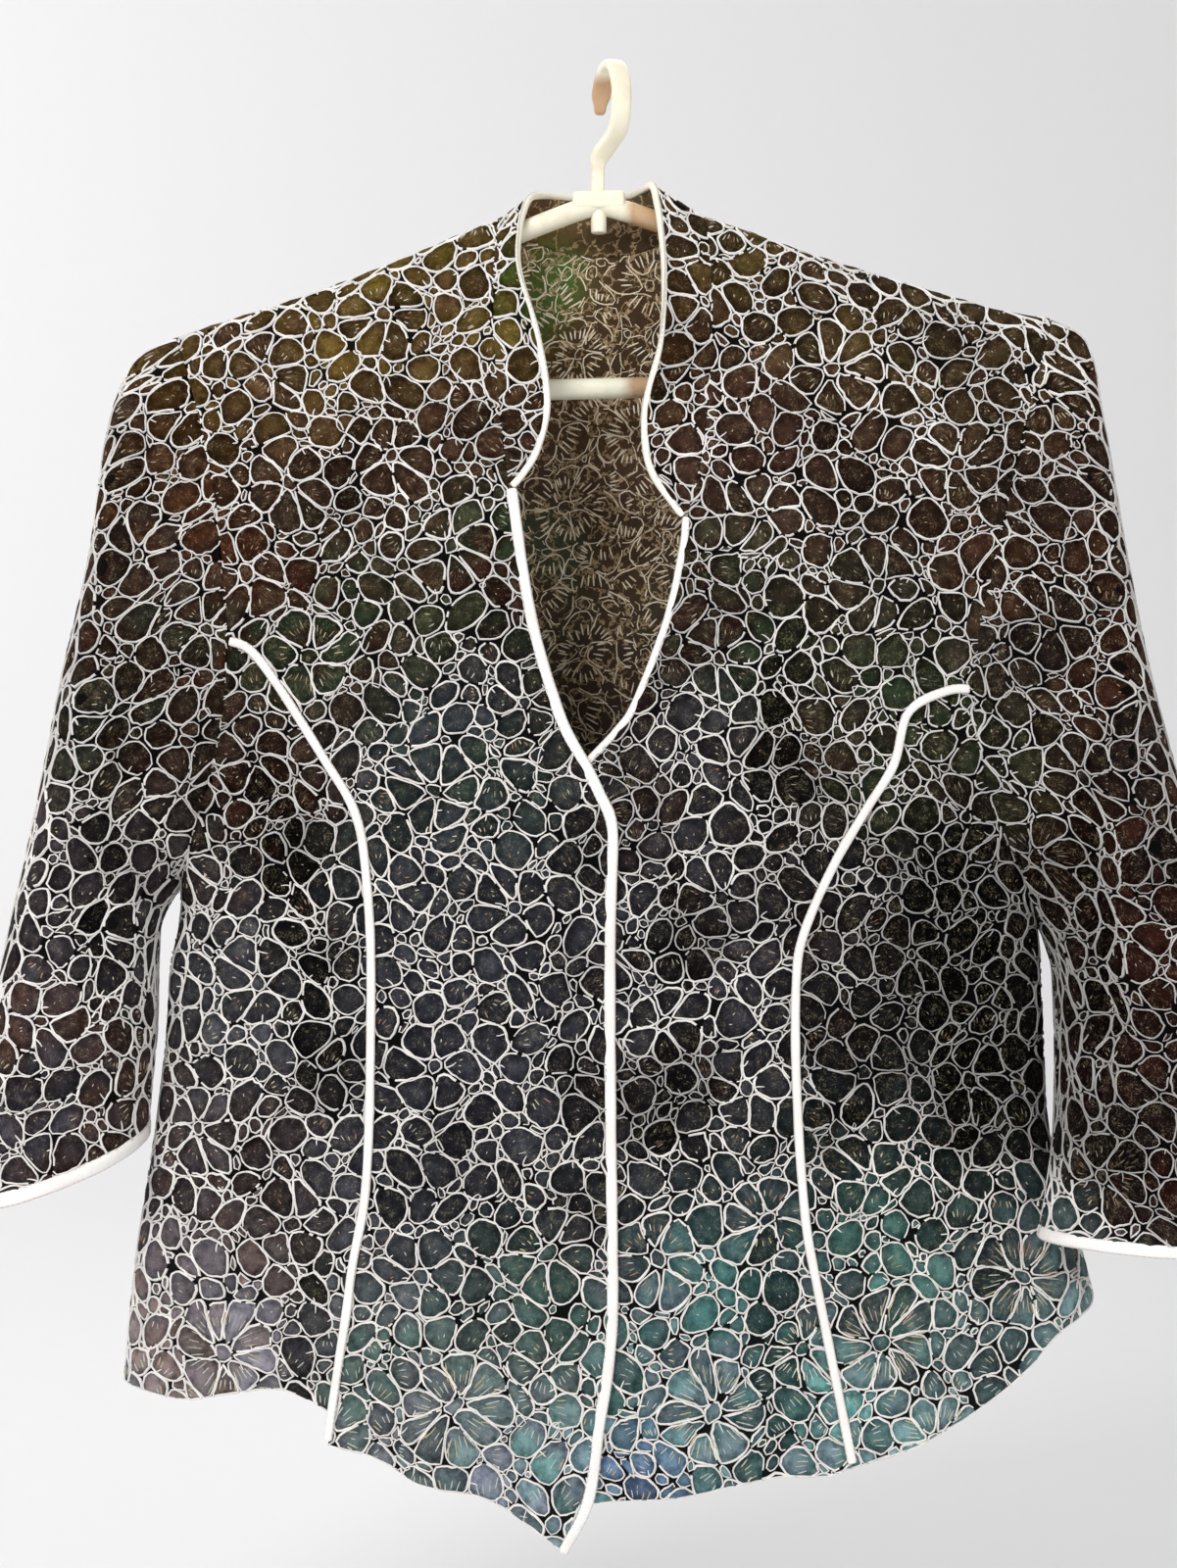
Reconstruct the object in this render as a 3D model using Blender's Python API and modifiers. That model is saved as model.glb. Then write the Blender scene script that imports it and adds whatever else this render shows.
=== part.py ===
"""A lace top with a notched stand collar, a V neck and princess seams, hung on a plastic tube hanger.

Run with: blender --background --python part.py

The origin is where the hook rests on its rail, +Z is up and the front faces -Y. "Right" and "left"
are the wearer's, so the right side is at -X. The cloth is one smooth skin given by its levels: the
outline seen from the front, how far the front and the back stand off the hanger, the line of the
shoulders over the hanger's arms, and the folds. Each panel is a patch of that skin between its
seams, as a closed wall. The sleeves run from the armholes to the cuffs through slanted rings.
"""

import math
from collections import namedtuple

import bpy
from mathutils import Matrix, Vector

# Lengths and places are in millimetres, and each mesh is written in metres.
MM = 0.001

# Cloth and the gaps between pieces
CLOTH = 1.5
HALF_CLOTH = CLOTH / 2
SEAM_HALF_GAP = 0.16
COLLAR_HALF_GAP = 0.25
PIECE_GAP = 0.32
CURVE_ALLOWANCE = 0.3
RIDGE_DROP = 0.012
SIDE_HALF_ANGLE = math.radians(0.35)

# The skin over the hanger's arms: the radius of the fold at the top, and how fast it opens below
RIDGE_RADIUS = 7.0
OPENING_RATE = 0.2
OUTLINE_POWER = 2.5

# The right front lies on the left one, each moved by half of the lap
LAP_LIFT = 1.65
LAP_WIDTH = 45.0
LAP_TOP = (-285.0, -322.0)
LAP_CENTRE_X = -4.0

# Bound edges and corded seams: width along the cloth and thickness
Binding = namedtuple("Binding", "width thickness")
FRONT_BINDING = {"right": Binding(5.4, 2.8), "left": Binding(3.6, 2.5)}
COLLAR_BINDING = Binding(3.6, 2.5)
PRINCESS_BINDING = Binding(4.3, 2.4)
CUFF_BINDING = {"right": Binding(7.4, 3.0), "left": Binding(6.2, 3.0)}

# How far a princess cord stops short of its seam's ends, in parts of a step
PRINCESS_START = 0.12
PRINCESS_END = 0.04

# Rows and columns of the panels
PRINCESS_STEPS = 20
ARMHOLE_UPPER = 8
ARMHOLE_STEPS = {"right": 15, "left": 14}
NECKLINE_STEPS = 9
EDGE_STEPS = 10
CENTRE_COLUMNS = 10
SIDE_COLUMNS = 7
SHOULDER_COLUMNS = 7
SLEEVE_STEPS = 13
SIDE_CORNER = 4.0

Level = namedtuple("Level", "z right left front back")
BODY_LEVELS = (
    Level(-690, -236, 236, 60, 45),
    Level(-600, -229, 232, 56, 41),
    Level(-563, -225, 224, 53, 38),
    Level(-530, -220, 214, 50, 36),
    Level(-500, -215.5, 207.5, 47, 34),
    Level(-461, -211, 205.5, 46, 33),
    Level(-424, -208.5, 204, 47, 33),
    Level(-395, -203.5, 202.5, 50, 35),
    Level(-330, -216, 217, 52, 37),
    Level(-270, -225, 226, 49, 36),
    Level(-200, -233, 233, 44, 33),
    Level(-130, -239, 240, 38, 28),
    Level(-60, -243, 243, 34, 24),
)

ShoulderPoint = namedtuple("ShoulderPoint", "x z")
SHOULDER_LINE = (
    ShoulderPoint(-239, -148),
    ShoulderPoint(-221, -134.5),
    ShoulderPoint(-202, -126.5),
    ShoulderPoint(-142, -107),
    ShoulderPoint(-94, -88.5),
    ShoulderPoint(-52, -71.5),
    ShoulderPoint(-4, -62),
    ShoulderPoint(43, -70),
    ShoulderPoint(96, -88.5),
    ShoulderPoint(142, -102.5),
    ShoulderPoint(191, -116.5),
    ShoulderPoint(218, -122),
    ShoulderPoint(243, -148),
)

ArmholePoint = namedtuple("ArmholePoint", "z front back")
ARMHOLE = {
    "right": (
        ArmholePoint(-390, -204.4, -204.4),
        ArmholePoint(-360, -195, -199),
        ArmholePoint(-320, -183, -192),
        ArmholePoint(-270, -179, -190),
        ArmholePoint(-215, -184, -192),
        ArmholePoint(-165, -194, -198),
        ArmholePoint(-128, -206, -206),
    ),
    "left": (
        ArmholePoint(-408, 202.9, 202.9),
        ArmholePoint(-385, 194, 198),
        ArmholePoint(-345, 176, 193),
        ArmholePoint(-297, 168, 189),
        ArmholePoint(-265, 172, 189),
        ArmholePoint(-215, 184, 193),
        ArmholePoint(-160, 197, 201),
        ArmholePoint(-120, 209, 209),
    ),
}

# Lines of the front as (x, z)
PRINCESS_LINE = {
    "right": (
        (-179, -269.3), (-167, -278), (-153, -296), (-132.5, -328), (-117.5, -354),
        (-112.4, -385), (-110.5, -431), (-112.4, -521), (-119, -565), (-129.7, -643.2),
    ),
    "left": (
        (168, -296.8), (155, -297), (137, -307), (130, -331), (117, -352), (101.7, -378),
        (88.6, -408), (85, -430), (85, -476), (88.4, -534), (95, -574), (110.3, -652.3),
    ),
}
NECKLINE = {
    "right": (
        (-46.1, -204.2), (-42.4, -231), (-38.8, -254), (-33.6, -277), (-22.8, -311), (-12.1, -331),
    ),
    "left": (
        (34.6, -217.5), (33.2, -231), (25.4, -265.4), (10.9, -303), (2.8, -315.2), (-12.1, -331),
    ),
}
FRONT_EDGE = {
    "right": (
        (-12.1, -331), (-5.3, -345), (0.3, -360), (-0.4, -394), (-0.8, -430), (-0.4, -498),
        (0.4, -577), (-1.8, -608), (-5.4, -630), (-10.7, -666), (-21.9, -687.9),
    ),
    "left": ((-12.1, -331), (-14, -360), (-14.5, -430), (-14.5, -560), (-14, -620), (-13, -668)),
}
CENTRE_HEM = {
    "right": ((-129.7, -643.2), (-105, -649), (-87, -659), (-60, -664), (-33, -680), (-21.9, -687.9)),
    "left": ((110.3, -652.3), (101, -655.7), (74, -657.4), (47, -661.5), (16, -665.8), (-13, -668)),
}
SIDE_HEM = {
    "right": ((-232.6, -622.7), (-217, -624.4), (-197, -625.6), (-160, -618), (-141, -623.6), (-130.2, -629)),
    "left": ((231.5, -580), (225.5, -587), (204, -600), (184, -620), (156, -635), (128, -647.6), (110.3, -652.3)),
}
BACK_HEM = ((-232.6, -622.7), (-150, -636), (-60, -648), (40, -650), (150, -628), (231.5, -580))

# From the right notch round the neck to the left one: the seam, and the middle of the bound free edge
CollarStation = namedtuple("CollarStation", "face seam_x seam_z free_x free_z free_y")
COLLAR = (
    CollarStation("front", -47.8, -199.5, -45.2, -201, None),
    CollarStation("front", -48.4, -194.5, -41, -196, None),
    CollarStation("front", -49.8, -183, -34.4, -184.5, None),
    CollarStation("front", -52.3, -160, -29.8, -163, None),
    CollarStation("front", -54.7, -131, -34.2, -131.5, None),
    CollarStation("front", -55, -100, -43, -98, None),
    CollarStation("front", -54, -84, -43, -78, None),
    CollarStation("front", -53, -75.5, -41, -67, -5),
    CollarStation("ridge", -52, -71.5, -38, -60.5, -1),
    CollarStation("back", -41, -78, -31, -57, 12),
    CollarStation("back", -22, -84, -17, -56.5, 20),
    CollarStation("back", -4, -86, -3, -56.5, 22.5),
    CollarStation("back", 14, -84, 9, -55.5, 20),
    CollarStation("back", 32, -77, 16, -54, 12),
    CollarStation("ridge", 43, -70, 20, -55, -0.5),
    CollarStation("front", 44.5, -73.5, 22, -64, -6),
    CollarStation("front", 46, -84, 23.5, -76, None),
    CollarStation("front", 47.5, -105, 25, -100, None),
    CollarStation("front", 47, -135, 23.5, -133, None),
    CollarStation("front", 44.6, -168, 15.9, -166, None),
    CollarStation("front", 40.5, -196, 17.8, -192.5, None),
    CollarStation("front", 36.6, -211, 29, -210.4, None),
    CollarStation("front", 36, -213.6, 32.6, -214.8, None),
)
NOTCH = {"right": (-46.1, -204.2), "left": (34.6, -217.5)}
COLLAR_COLUMNS = 3

# Folds: a line on the skin, its half width, how far it stands out (a trough is negative), and
# whether it runs off at the hem
Fold = namedtuple("Fold", "face x_top z_top x_low z_low half_width rise to_hem")
FOLDS = (
    Fold("front", -164, -300, -127, -500, 14, -7, False),
    Fold("front", -184, -330, -180, -560, 15, 4, False),
    Fold("front", -75, -290, -62, -470, 20, 3, False),
    Fold("front", -34, -380, -30, -640, 12, 3.5, True),
    Fold("front", 84, -240, 70, -400, 13, -5, False),
    Fold("front", 34, -350, 22, -545, 12, -4, False),
    Fold("front", 60, -370, 52, -540, 12, 3, False),
    Fold("front", 168, -330, 160, -540, 18, -7, False),
    Fold("front", 130, -420, 126, -560, 14, 4, False),
    Fold("front", -100, -140, -130, -235, 18, -3, False),
    Fold("front", 95, -135, 120, -230, 18, -3, False),
    Fold("front", -185, -500, -178, -690, 20, 5, True),
    Fold("front", -140, -520, -146, -690, 16, -5, True),
    Fold("front", -82, -520, -74, -690, 20, 5, True),
    Fold("front", 22, -540, 34, -690, 16, 5, True),
    Fold("front", 72, -520, 76, -690, 14, -5, True),
    Fold("front", 128, -540, 142, -690, 18, 6, True),
    Fold("front", 176, -500, 186, -690, 16, -4, True),
    Fold("back", -130, -160, -150, -300, 22, -4, False),
    Fold("back", 118, -150, 150, -290, 20, -4, False),
    Fold("back", -20, -200, -32, -430, 24, 3, False),
    Fold("back", -150, -330, -120, -520, 16, -6, False),
    Fold("back", 148, -350, 128, -540, 17, -6, False),
    Fold("back", 48, -300, 40, -500, 15, -4, False),
    Fold("back", -170, -480, -176, -690, 20, 5, True),
    Fold("back", -92, -500, -88, -690, 18, -5, True),
    Fold("back", -30, -480, -22, -690, 20, 6, True),
    Fold("back", 52, -520, 60, -690, 17, -5, True),
    Fold("back", 120, -500, 134, -690, 20, 6, True),
)

# Rings of a sleeve from the armhole to the cuff. dip is how much lower a ring's front lies
SleeveRing = namedtuple("SleeveRing", "outer_x outer_z inner_x inner_z front back centre_y dip")
SLEEVE = {
    "right": (
        SleeveRing(-206, -128, -204.4, -390, 36, 30, 0, 0),
        SleeveRing(-226.5, -140, -211, -399, 43, 36, 0, 0),
        SleeveRing(-237.5, -170, -216, -411, 47, 40, -1, 0),
        SleeveRing(-245.5, -228, -217, -427, 49, 43, -2, 0),
        SleeveRing(-258, -284, -217, -442, 50, 45, -3, 0),
        SleeveRing(-269, -340, -217, -458, 48, 45, -4, 1),
        SleeveRing(-285, -415, -218, -476, 45, 42, -7, 3),
        SleeveRing(-300, -482, -219, -493, 40, 39, -10, 6),
        SleeveRing(-313, -537, -219, -507, 37, 36, -12, 9),
    ),
    "left": (
        SleeveRing(209, -120, 202.9, -408, 36, 30, 0, 0),
        SleeveRing(226, -131, 208.5, -419, 43, 36, 0, 0),
        SleeveRing(233, -168, 212, -433, 47, 40, -2, 0),
        SleeveRing(242.5, -228, 212.5, -448, 49, 43, -5, 0),
        SleeveRing(252.5, -284, 212, -463, 50, 45, -10, 0),
        SleeveRing(265, -340, 210, -483, 48, 45, -20, 0),
        SleeveRing(281, -415, 207, -506, 44, 42, -30, 0),
        SleeveRing(298, -490, 202, -529, 40, 39, -40, 0),
        SleeveRing(311.5, -556, 197, -549, 37, 37, -46, 0),
    ),
}
# Creases of a sleeve: where each runs along it (0 armhole, 1 cuff) and round it (degrees from the
# outer edge over the front), its half width and how far it stands out
Crease = namedtuple("Crease", "along_start round_start along_end round_end half_width rise")
SLEEVE_CREASES = {
    "right": (
        Crease(0.10, 100, 0.85, 118, 12, -4),
        Crease(0.30, 60, 0.95, 55, 15, 3),
        Crease(0.35, 150, 0.70, 92, 9, -3),
        Crease(0.15, 262, 0.90, 248, 13, -4),
        Crease(0.35, 305, 0.95, 312, 14, 3),
    ),
    "left": (
        Crease(0.12, 112, 0.80, 124, 11, -5),
        Crease(0.28, 66, 0.92, 62, 15, 3),
        Crease(0.45, 152, 0.75, 96, 9, -3),
        Crease(0.15, 252, 0.90, 262, 13, -4),
        Crease(0.35, 300, 0.95, 296, 14, 3),
    ),
}
CREASE_LENGTH = 330.0
CREASE_PER_DEGREE = 0.75
SLEEVE_HEAD = 0.32
SLEEVE_SEAM_GAP = 0.4
UNDERARM_CLEAR = 2.1

# The hanger, in its own frame: x and z from the top of its arms, turned by the tilt
HANGER_TOP = Vector((-5.6, 0, -62.0))
HANGER_TILT = math.radians(1.3)
TUBE_RADIUS = 5.0
ARM_LINE = ((0, -1.5), (12, -5.0), (36, -13.6), (68, -25.6), (100, -37.2), (138, -50.0), (175, -61.0), (194, -66.2))
BAR_DROP = 89.5
ARM_STEPS = 12
BEND_STEPS = 7
TUBE_SIDES_RESOLUTION = 3
BOSS_SIZE = (25.0, 10.5, 8.6)
BOSS_TOP = 4.0
BOSS_BEVEL = 1.6
STUB_RADIUS = 3.7
STUB_SIDES = 14
STUB_TOP = -3.6
STUB_BOTTOM = -15.6

# The hook: a flat bar bent in an upright plane that is turned away from the front
HOOK_WIDTH = 9.4
HOOK_THICKNESS = 4.9
STEM_WIDTH = 6.2
HOOK_INNER_RADIUS = 17.0
HOOK_YAW = math.radians(-75)
HOOK_START_ANGLE = -48
HOOK_END_ANGLE = 172
HOOK_ANGLE_STEP = 15.5
STEM_X = -6.0
STEM_FOOT = 6.0
STEM_BEND = ((0.2, -46.0), (2.6, -41.0), (7.6, -36.2))
STEM_POINTS = 3
LEAN_TOP = -30.0
LEAN_LENGTH = 14.0
TIP_WIDTH = 5.6

Finish = namedtuple("Finish", "colour roughness metallic")
LACE = Finish((0.075, 0.062, 0.058, 1), 0.85, 0.0)
BINDING = Finish((0.88, 0.86, 0.84, 1), 0.45, 0.0)
PLASTIC = Finish((0.86, 0.83, 0.68, 1), 0.35, 0.0)

SIGN = {"right": -1, "left": 1}


def read_table(rows, key, column, at):
    """Smoothly reads a column of a table whose rows rise in the key column."""
    keys = [getattr(row, key) for row in rows]
    values = [getattr(row, column) for row in rows]
    if at <= keys[0]:
        return values[0]
    if at >= keys[-1]:
        return values[-1]
    low = max(i for i, value in enumerate(keys) if value <= at)

    def slope(i):
        before, after = max(i - 1, 0), min(i + 1, len(keys) - 1)
        return (values[after] - values[before]) / (keys[after] - keys[before])

    span = keys[low + 1] - keys[low]
    t = (at - keys[low]) / span
    start, end = slope(low) * span, slope(low + 1) * span
    return (
        (2 * t**3 - 3 * t**2 + 1) * values[low]
        + (t**3 - 2 * t**2 + t) * start
        + (3 * t**2 - 2 * t**3) * values[low + 1]
        + (t**3 - t**2) * end
    )


def smooth_step(value):
    """Goes smoothly from 0 to 1 as the value does."""
    value = min(1.0, max(0.0, value))
    return value * value * (3 - 2 * value)


def smooth_curve(points, per_span=12):
    """Returns a fine Catmull-Rom curve through the points."""
    points = [Vector(point) for point in points]
    padded = [2 * points[0] - points[1]] + points + [2 * points[-1] - points[-2]]
    fine = []
    for i in range(1, len(padded) - 2):
        a, b, c, d = padded[i - 1:i + 3]
        for step in range(per_span):
            t = step / per_span
            fine.append(
                0.5 * (2 * b + (c - a) * t + (2 * a - 5 * b + 4 * c - d) * t**2 + (3 * b - 3 * c + d - a) * t**3)
            )
    fine.append(points[-1])
    return fine


def even_points(points, steps):
    """Places steps + 1 points evenly along the smooth curve through the given ones."""
    fine = smooth_curve(points)
    lengths = [0.0]
    for before, after in zip(fine, fine[1:]):
        lengths.append(lengths[-1] + (after - before).length)
    result = []
    i = 0
    for step in range(steps + 1):
        wanted = lengths[-1] * step / steps
        while i < len(fine) - 2 and lengths[i + 1] < wanted:
            i += 1
        part = (wanted - lengths[i]) / (lengths[i + 1] - lengths[i])
        result.append(fine[i].lerp(fine[i + 1], min(1.0, part)))
    return result


def moved_aside(points, distance):
    """Moves a line of (x, z) points to the left of its direction by a distance."""
    moved = []
    for i, point in enumerate(points):
        along = points[min(i + 1, len(points) - 1)] - points[max(i - 1, 0)]
        along.normalize()
        moved.append(point + distance * Vector((-along.y, along.x)))
    return moved


def outline(z):
    """Returns the middle and the half width of the skin at a height."""
    right = read_table(BODY_LEVELS, "z", "right", z)
    left = read_table(BODY_LEVELS, "z", "left", z)
    return (left + right) / 2, (left - right) / 2


def angle_of(x, z):
    """Returns the angle round the skin of a place on the front."""
    middle, half = outline(z)
    return math.asin(max(-1.0, min(1.0, (x - middle) / half)))


def fold_rise(x, z, face):
    """Returns how far the folds push the skin out at a place."""
    place = Vector((x, z))
    total = 0.0
    for fold in FOLDS:
        if fold.face != face:
            continue
        top = Vector((fold.x_top, fold.z_top))
        run = Vector((fold.x_low, fold.z_low)) - top
        along = (place - top).dot(run) / run.length_squared
        across = (place - top - along * run).length / fold.half_width
        fade = smooth_step(along / 0.3)
        if not fold.to_hem:
            fade *= smooth_step((1 - along) / 0.3)
        total += fold.rise * fade * math.exp(-across**2)
    return total


def skin_depth(x, z, face):
    """Returns how far the skin stands from the hanger's plane at a place."""
    middle, half = outline(z)
    across = min(1.0, abs(x - middle) / half)
    roundness = math.sqrt(max(0.0, 1 - across**OUTLINE_POWER))
    drop = read_table(SHOULDER_LINE, "x", "z", x) - z
    if drop <= 0 or roundness < 1e-6:
        return 0.0
    full = read_table(BODY_LEVELS, "z", face, z) * roundness
    opened = math.sqrt(2 * RIDGE_RADIUS * drop + (OPENING_RATE * drop) ** 2)
    depth = full * math.tanh(opened / full)
    return depth + fold_rise(x, z, face) * roundness * smooth_step(drop / 60)


def lap_lift(x, z, lap):
    """Returns how far a front is moved out where the two lie on each other."""
    near = 1 - smooth_step(abs(x - LAP_CENTRE_X) / LAP_WIDTH)
    below = smooth_step((LAP_TOP[0] - z) / (LAP_TOP[0] - LAP_TOP[1]))
    return lap * LAP_LIFT * near * below


def skin_y(x, z, face, lap=0):
    """Returns the y of the middle of the cloth; lap is 1 on the outer front and -1 on the inner."""
    depth = skin_depth(x, z, face) + lap_lift(x, z, lap)
    return -depth if face == "front" else depth


def skin_normal(x, z, face, lap=0):
    """Returns the outward direction of the skin."""
    step = 0.05
    slope_x = (skin_y(x + step, z, face, lap) - skin_y(x - step, z, face, lap)) / (2 * step)
    slope_z = (skin_y(x, z + step, face, lap) - skin_y(x, z - step, face, lap)) / (2 * step)
    outward = -1 if face == "front" else 1
    return Vector((-outward * slope_x, outward, -outward * slope_z)).normalized()


def skin_point(x, z, face, lap=0):
    """Returns the place on the middle of the cloth."""
    return Vector((x, skin_y(x, z, face, lap), z))


def armhole_samples(side):
    """Returns the heights of the armhole's points, close together at its two ends."""
    rows = ARMHOLE[side]
    top, bottom = rows[-1].z, rows[0].z
    steps = ARMHOLE_STEPS[side]
    return [top + (bottom - top) * (1 - math.cos(math.pi * i / steps)) / 2 for i in range(steps + 1)]


def armhole_line(side, face):
    """Returns the armhole as (x, z) points from the shoulder to the underarm."""
    return [Vector((read_table(ARMHOLE[side], "z", face, z), z)) for z in armhole_samples(side)]


def princess_points(side):
    """Returns the princess seam from its start on the armhole to the hem."""
    start = armhole_line(side, "front")[ARMHOLE_UPPER]
    return even_points([start, *PRINCESS_LINE[side][1:]], PRINCESS_STEPS)


def side_seam(side, hem_z, steps):
    """Returns the side seam from the underarm to the hem."""
    top = ARMHOLE[side][0].z
    heights = [top + (hem_z - top) * i / steps for i in range(steps + 1)]
    return [Vector((outline(z)[0] + SIGN[side] * outline(z)[1], z)) for z in heights]


def neck_seam(side):
    """Returns the seam under the collar from the shoulder to the notch."""
    stations = [s for s in COLLAR if s.face != "back" and s.seam_x * SIGN[side] > 0]
    points = [Vector((s.seam_x, s.seam_z)) for s in stations]
    if side == "right":
        points.reverse()
    return points + [Vector(NOTCH[side])]


def on_ridge(x):
    """Returns the place on the shoulder seam above an x, just below the ridge."""
    return Vector((x, read_table(SHOULDER_LINE, "x", "z", x) - RIDGE_DROP))


def shoulder_seam(start_x, end_x, steps):
    """Returns the shoulder seam between two places."""
    return [on_ridge(start_x + (end_x - start_x) * i / steps) for i in range(steps + 1)]


def to_angles(line):
    """Turns (x, z) points into (angle, z) ones."""
    angles = [Vector((angle_of(*point), point.y)) for point in line]
    limit = math.pi / 2 - SIDE_HALF_ANGLE
    for point in angles:
        point.x = max(-limit, min(limit, point.x))
    return angles


def patch(start, end, top, bottom):
    """Fills the space between four border lines with a grid of (x, z) points."""
    start, end, top, bottom = (to_angles(line) for line in (start, end, top, bottom))
    rows, columns = len(start) - 1, len(top) - 1
    grid = []
    for i in range(rows + 1):
        v = i / rows
        row = []
        for j in range(columns + 1):
            u = j / columns
            corners = (1 - v) * ((1 - u) * top[0] + u * top[-1]) + v * ((1 - u) * bottom[0] + u * bottom[-1])
            sides = (1 - u) * start[i] + u * end[i]
            place = (1 - v) * top[j] + v * bottom[j] + sides - corners
            middle, half = outline(place.y)
            row.append((middle + half * math.sin(place.x), place.y))
        grid.append(row)
    return grid


def spaced(line, steps):
    """Places points along a line with even steps of the angle round the skin."""
    fine = smooth_curve(line)
    angles = [angle_of(*point) for point in fine]
    result = []
    for step in range(steps + 1):
        wanted = angles[0] + (angles[-1] - angles[0]) * step / steps
        nearest = min(range(len(fine)), key=lambda i: abs(angles[i] - wanted))
        result.append(fine[nearest])
    result[0], result[-1] = fine[0], fine[-1]
    return result


def material(name, finish):
    """Returns a plain material, made once."""
    found = bpy.data.materials.get(name)
    if found:
        return found
    made = bpy.data.materials.new(name)
    made.use_nodes = True
    shader = made.node_tree.nodes["Principled BSDF"]
    shader.inputs["Base Color"].default_value = finish.colour
    shader.inputs["Roughness"].default_value = finish.roughness
    shader.inputs["Metallic"].default_value = finish.metallic
    made.diffuse_color = finish.colour
    return made


def signed_volume(points, triangles):
    """Returns the volume inside a closed mesh, negative if it is inside out."""
    return sum(points[a].dot(points[b].cross(points[c])) for a, b, c in triangles) / 6


def add_mesh(name, points, triangles, finish, collection):
    """Makes an object of a closed mesh with its faces pointing out."""
    if signed_volume(points, triangles) < 0:
        triangles = [(a, c, b) for a, b, c in triangles]
    mesh = bpy.data.meshes.new(name)
    mesh.from_pydata([tuple(point * MM) for point in points], [], triangles)
    mesh.materials.append(material(f"{name}_finish", finish))
    mesh.shade_smooth()
    mesh.set_sharp_from_angle(angle=math.radians(50))
    thing = bpy.data.objects.new(name, mesh)
    collection.objects.link(thing)
    return thing


def add_wall(name, points, normals, collection, closed=False):
    """Makes a wall of cloth from a grid of points; closed joins the last column to the first."""
    rows, columns = len(points), len(points[0])
    count = rows * columns
    outer = [points[i][j] + normals[i][j] * HALF_CLOTH for i in range(rows) for j in range(columns)]
    inner = [points[i][j] - normals[i][j] * HALF_CLOTH for i in range(rows) for j in range(columns)]
    triangles = []

    def quad(a, b, c, d):
        triangles.extend(((a, b, c), (a, c, d)))

    def at(i, j):
        return i * columns + j % columns

    for i in range(rows - 1):
        for j in range(columns if closed else columns - 1):
            a, b, c, d = at(i, j), at(i, j + 1), at(i + 1, j + 1), at(i + 1, j)
            quad(a, b, c, d)
            triangles.extend(((a + count, c + count, b + count), (a + count, d + count, c + count)))
    for j in range(columns if closed else columns - 1):
        for i, turn in ((0, False), (rows - 1, True)):
            a, b = at(i, j), at(i, j + 1)
            quad(*((a, b, b + count, a + count) if turn else (b, a, a + count, b + count)))
    if not closed:
        for i in range(rows - 1):
            for j, turn in ((0, False), (columns - 1, True)):
                a, b = at(i, j), at(i + 1, j)
                quad(*((b, a, a + count, b + count) if turn else (a, b, b + count, a + count)))
    return add_mesh(name, outer + inner, triangles, LACE, collection)


def directions(points, closed):
    """Returns the direction of travel at each point of a path."""
    count = len(points)
    result = []
    for i in range(count):
        after = points[(i + 1) % count] if closed else points[min(i + 1, count - 1)]
        before = points[i - 1] if closed or i else points[0]
        result.append((after - before).normalized())
    return result


def add_bar(name, path, normals, widths, thickness, finish, collection, closed=False, sides=6):
    """Makes a flattened round bar along a path, its width across the path and its normals."""
    count = len(path)
    points = []
    for place, along, normal, width in zip(path, directions(path, closed), normals, widths):
        across = along.cross(normal).normalized()
        upward = across.cross(along).normalized()
        for k in range(sides):
            angle = 2 * math.pi * (k + 0.5 * (sides % 4 == 0)) / sides
            points.append(place + across * width / 2 * math.cos(angle) + upward * thickness / 2 * math.sin(angle))
    triangles = []
    for i in range(count if closed else count - 1):
        for k in range(sides):
            a, b = i * sides + k, i * sides + (k + 1) % sides
            c, d = ((i + 1) % count) * sides + (k + 1) % sides, ((i + 1) % count) * sides + k
            triangles.extend(((a, b, c), (a, c, d)))
    if not closed:
        last = (count - 1) * sides
        for k in range(1, sides - 1):
            triangles.append((0, k + 1, k))
            triangles.append((last, last + k, last + k + 1))
    return add_mesh(name, points, triangles, finish, collection)


def add_panel(name, grid, face, lap, collection):
    """Makes a panel from a grid of (x, z) places on the skin."""
    points = [[skin_point(x, z, face, lap) for x, z in row] for row in grid]
    normals = [[skin_normal(x, z, face, lap) for x, z in row] for row in grid]
    return add_wall(name, points, normals, collection)


def inner_border(side):
    """Returns the border of a front's centre panel from the shoulder to the hem."""
    sign = SIGN[side]
    seam = moved_aside(neck_seam(side), sign * COLLAR_HALF_GAP)
    back_off = sign * (FRONT_BINDING[side].width / 2 + PIECE_GAP + CURVE_ALLOWANCE)
    edge = even_points(NECKLINE[side], NECKLINE_STEPS) + even_points(FRONT_EDGE[side], EDGE_STEPS)[1:]
    edge = moved_aside(edge, back_off)
    return [on_ridge(seam[0].x)] + seam[1:-1] + edge


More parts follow.
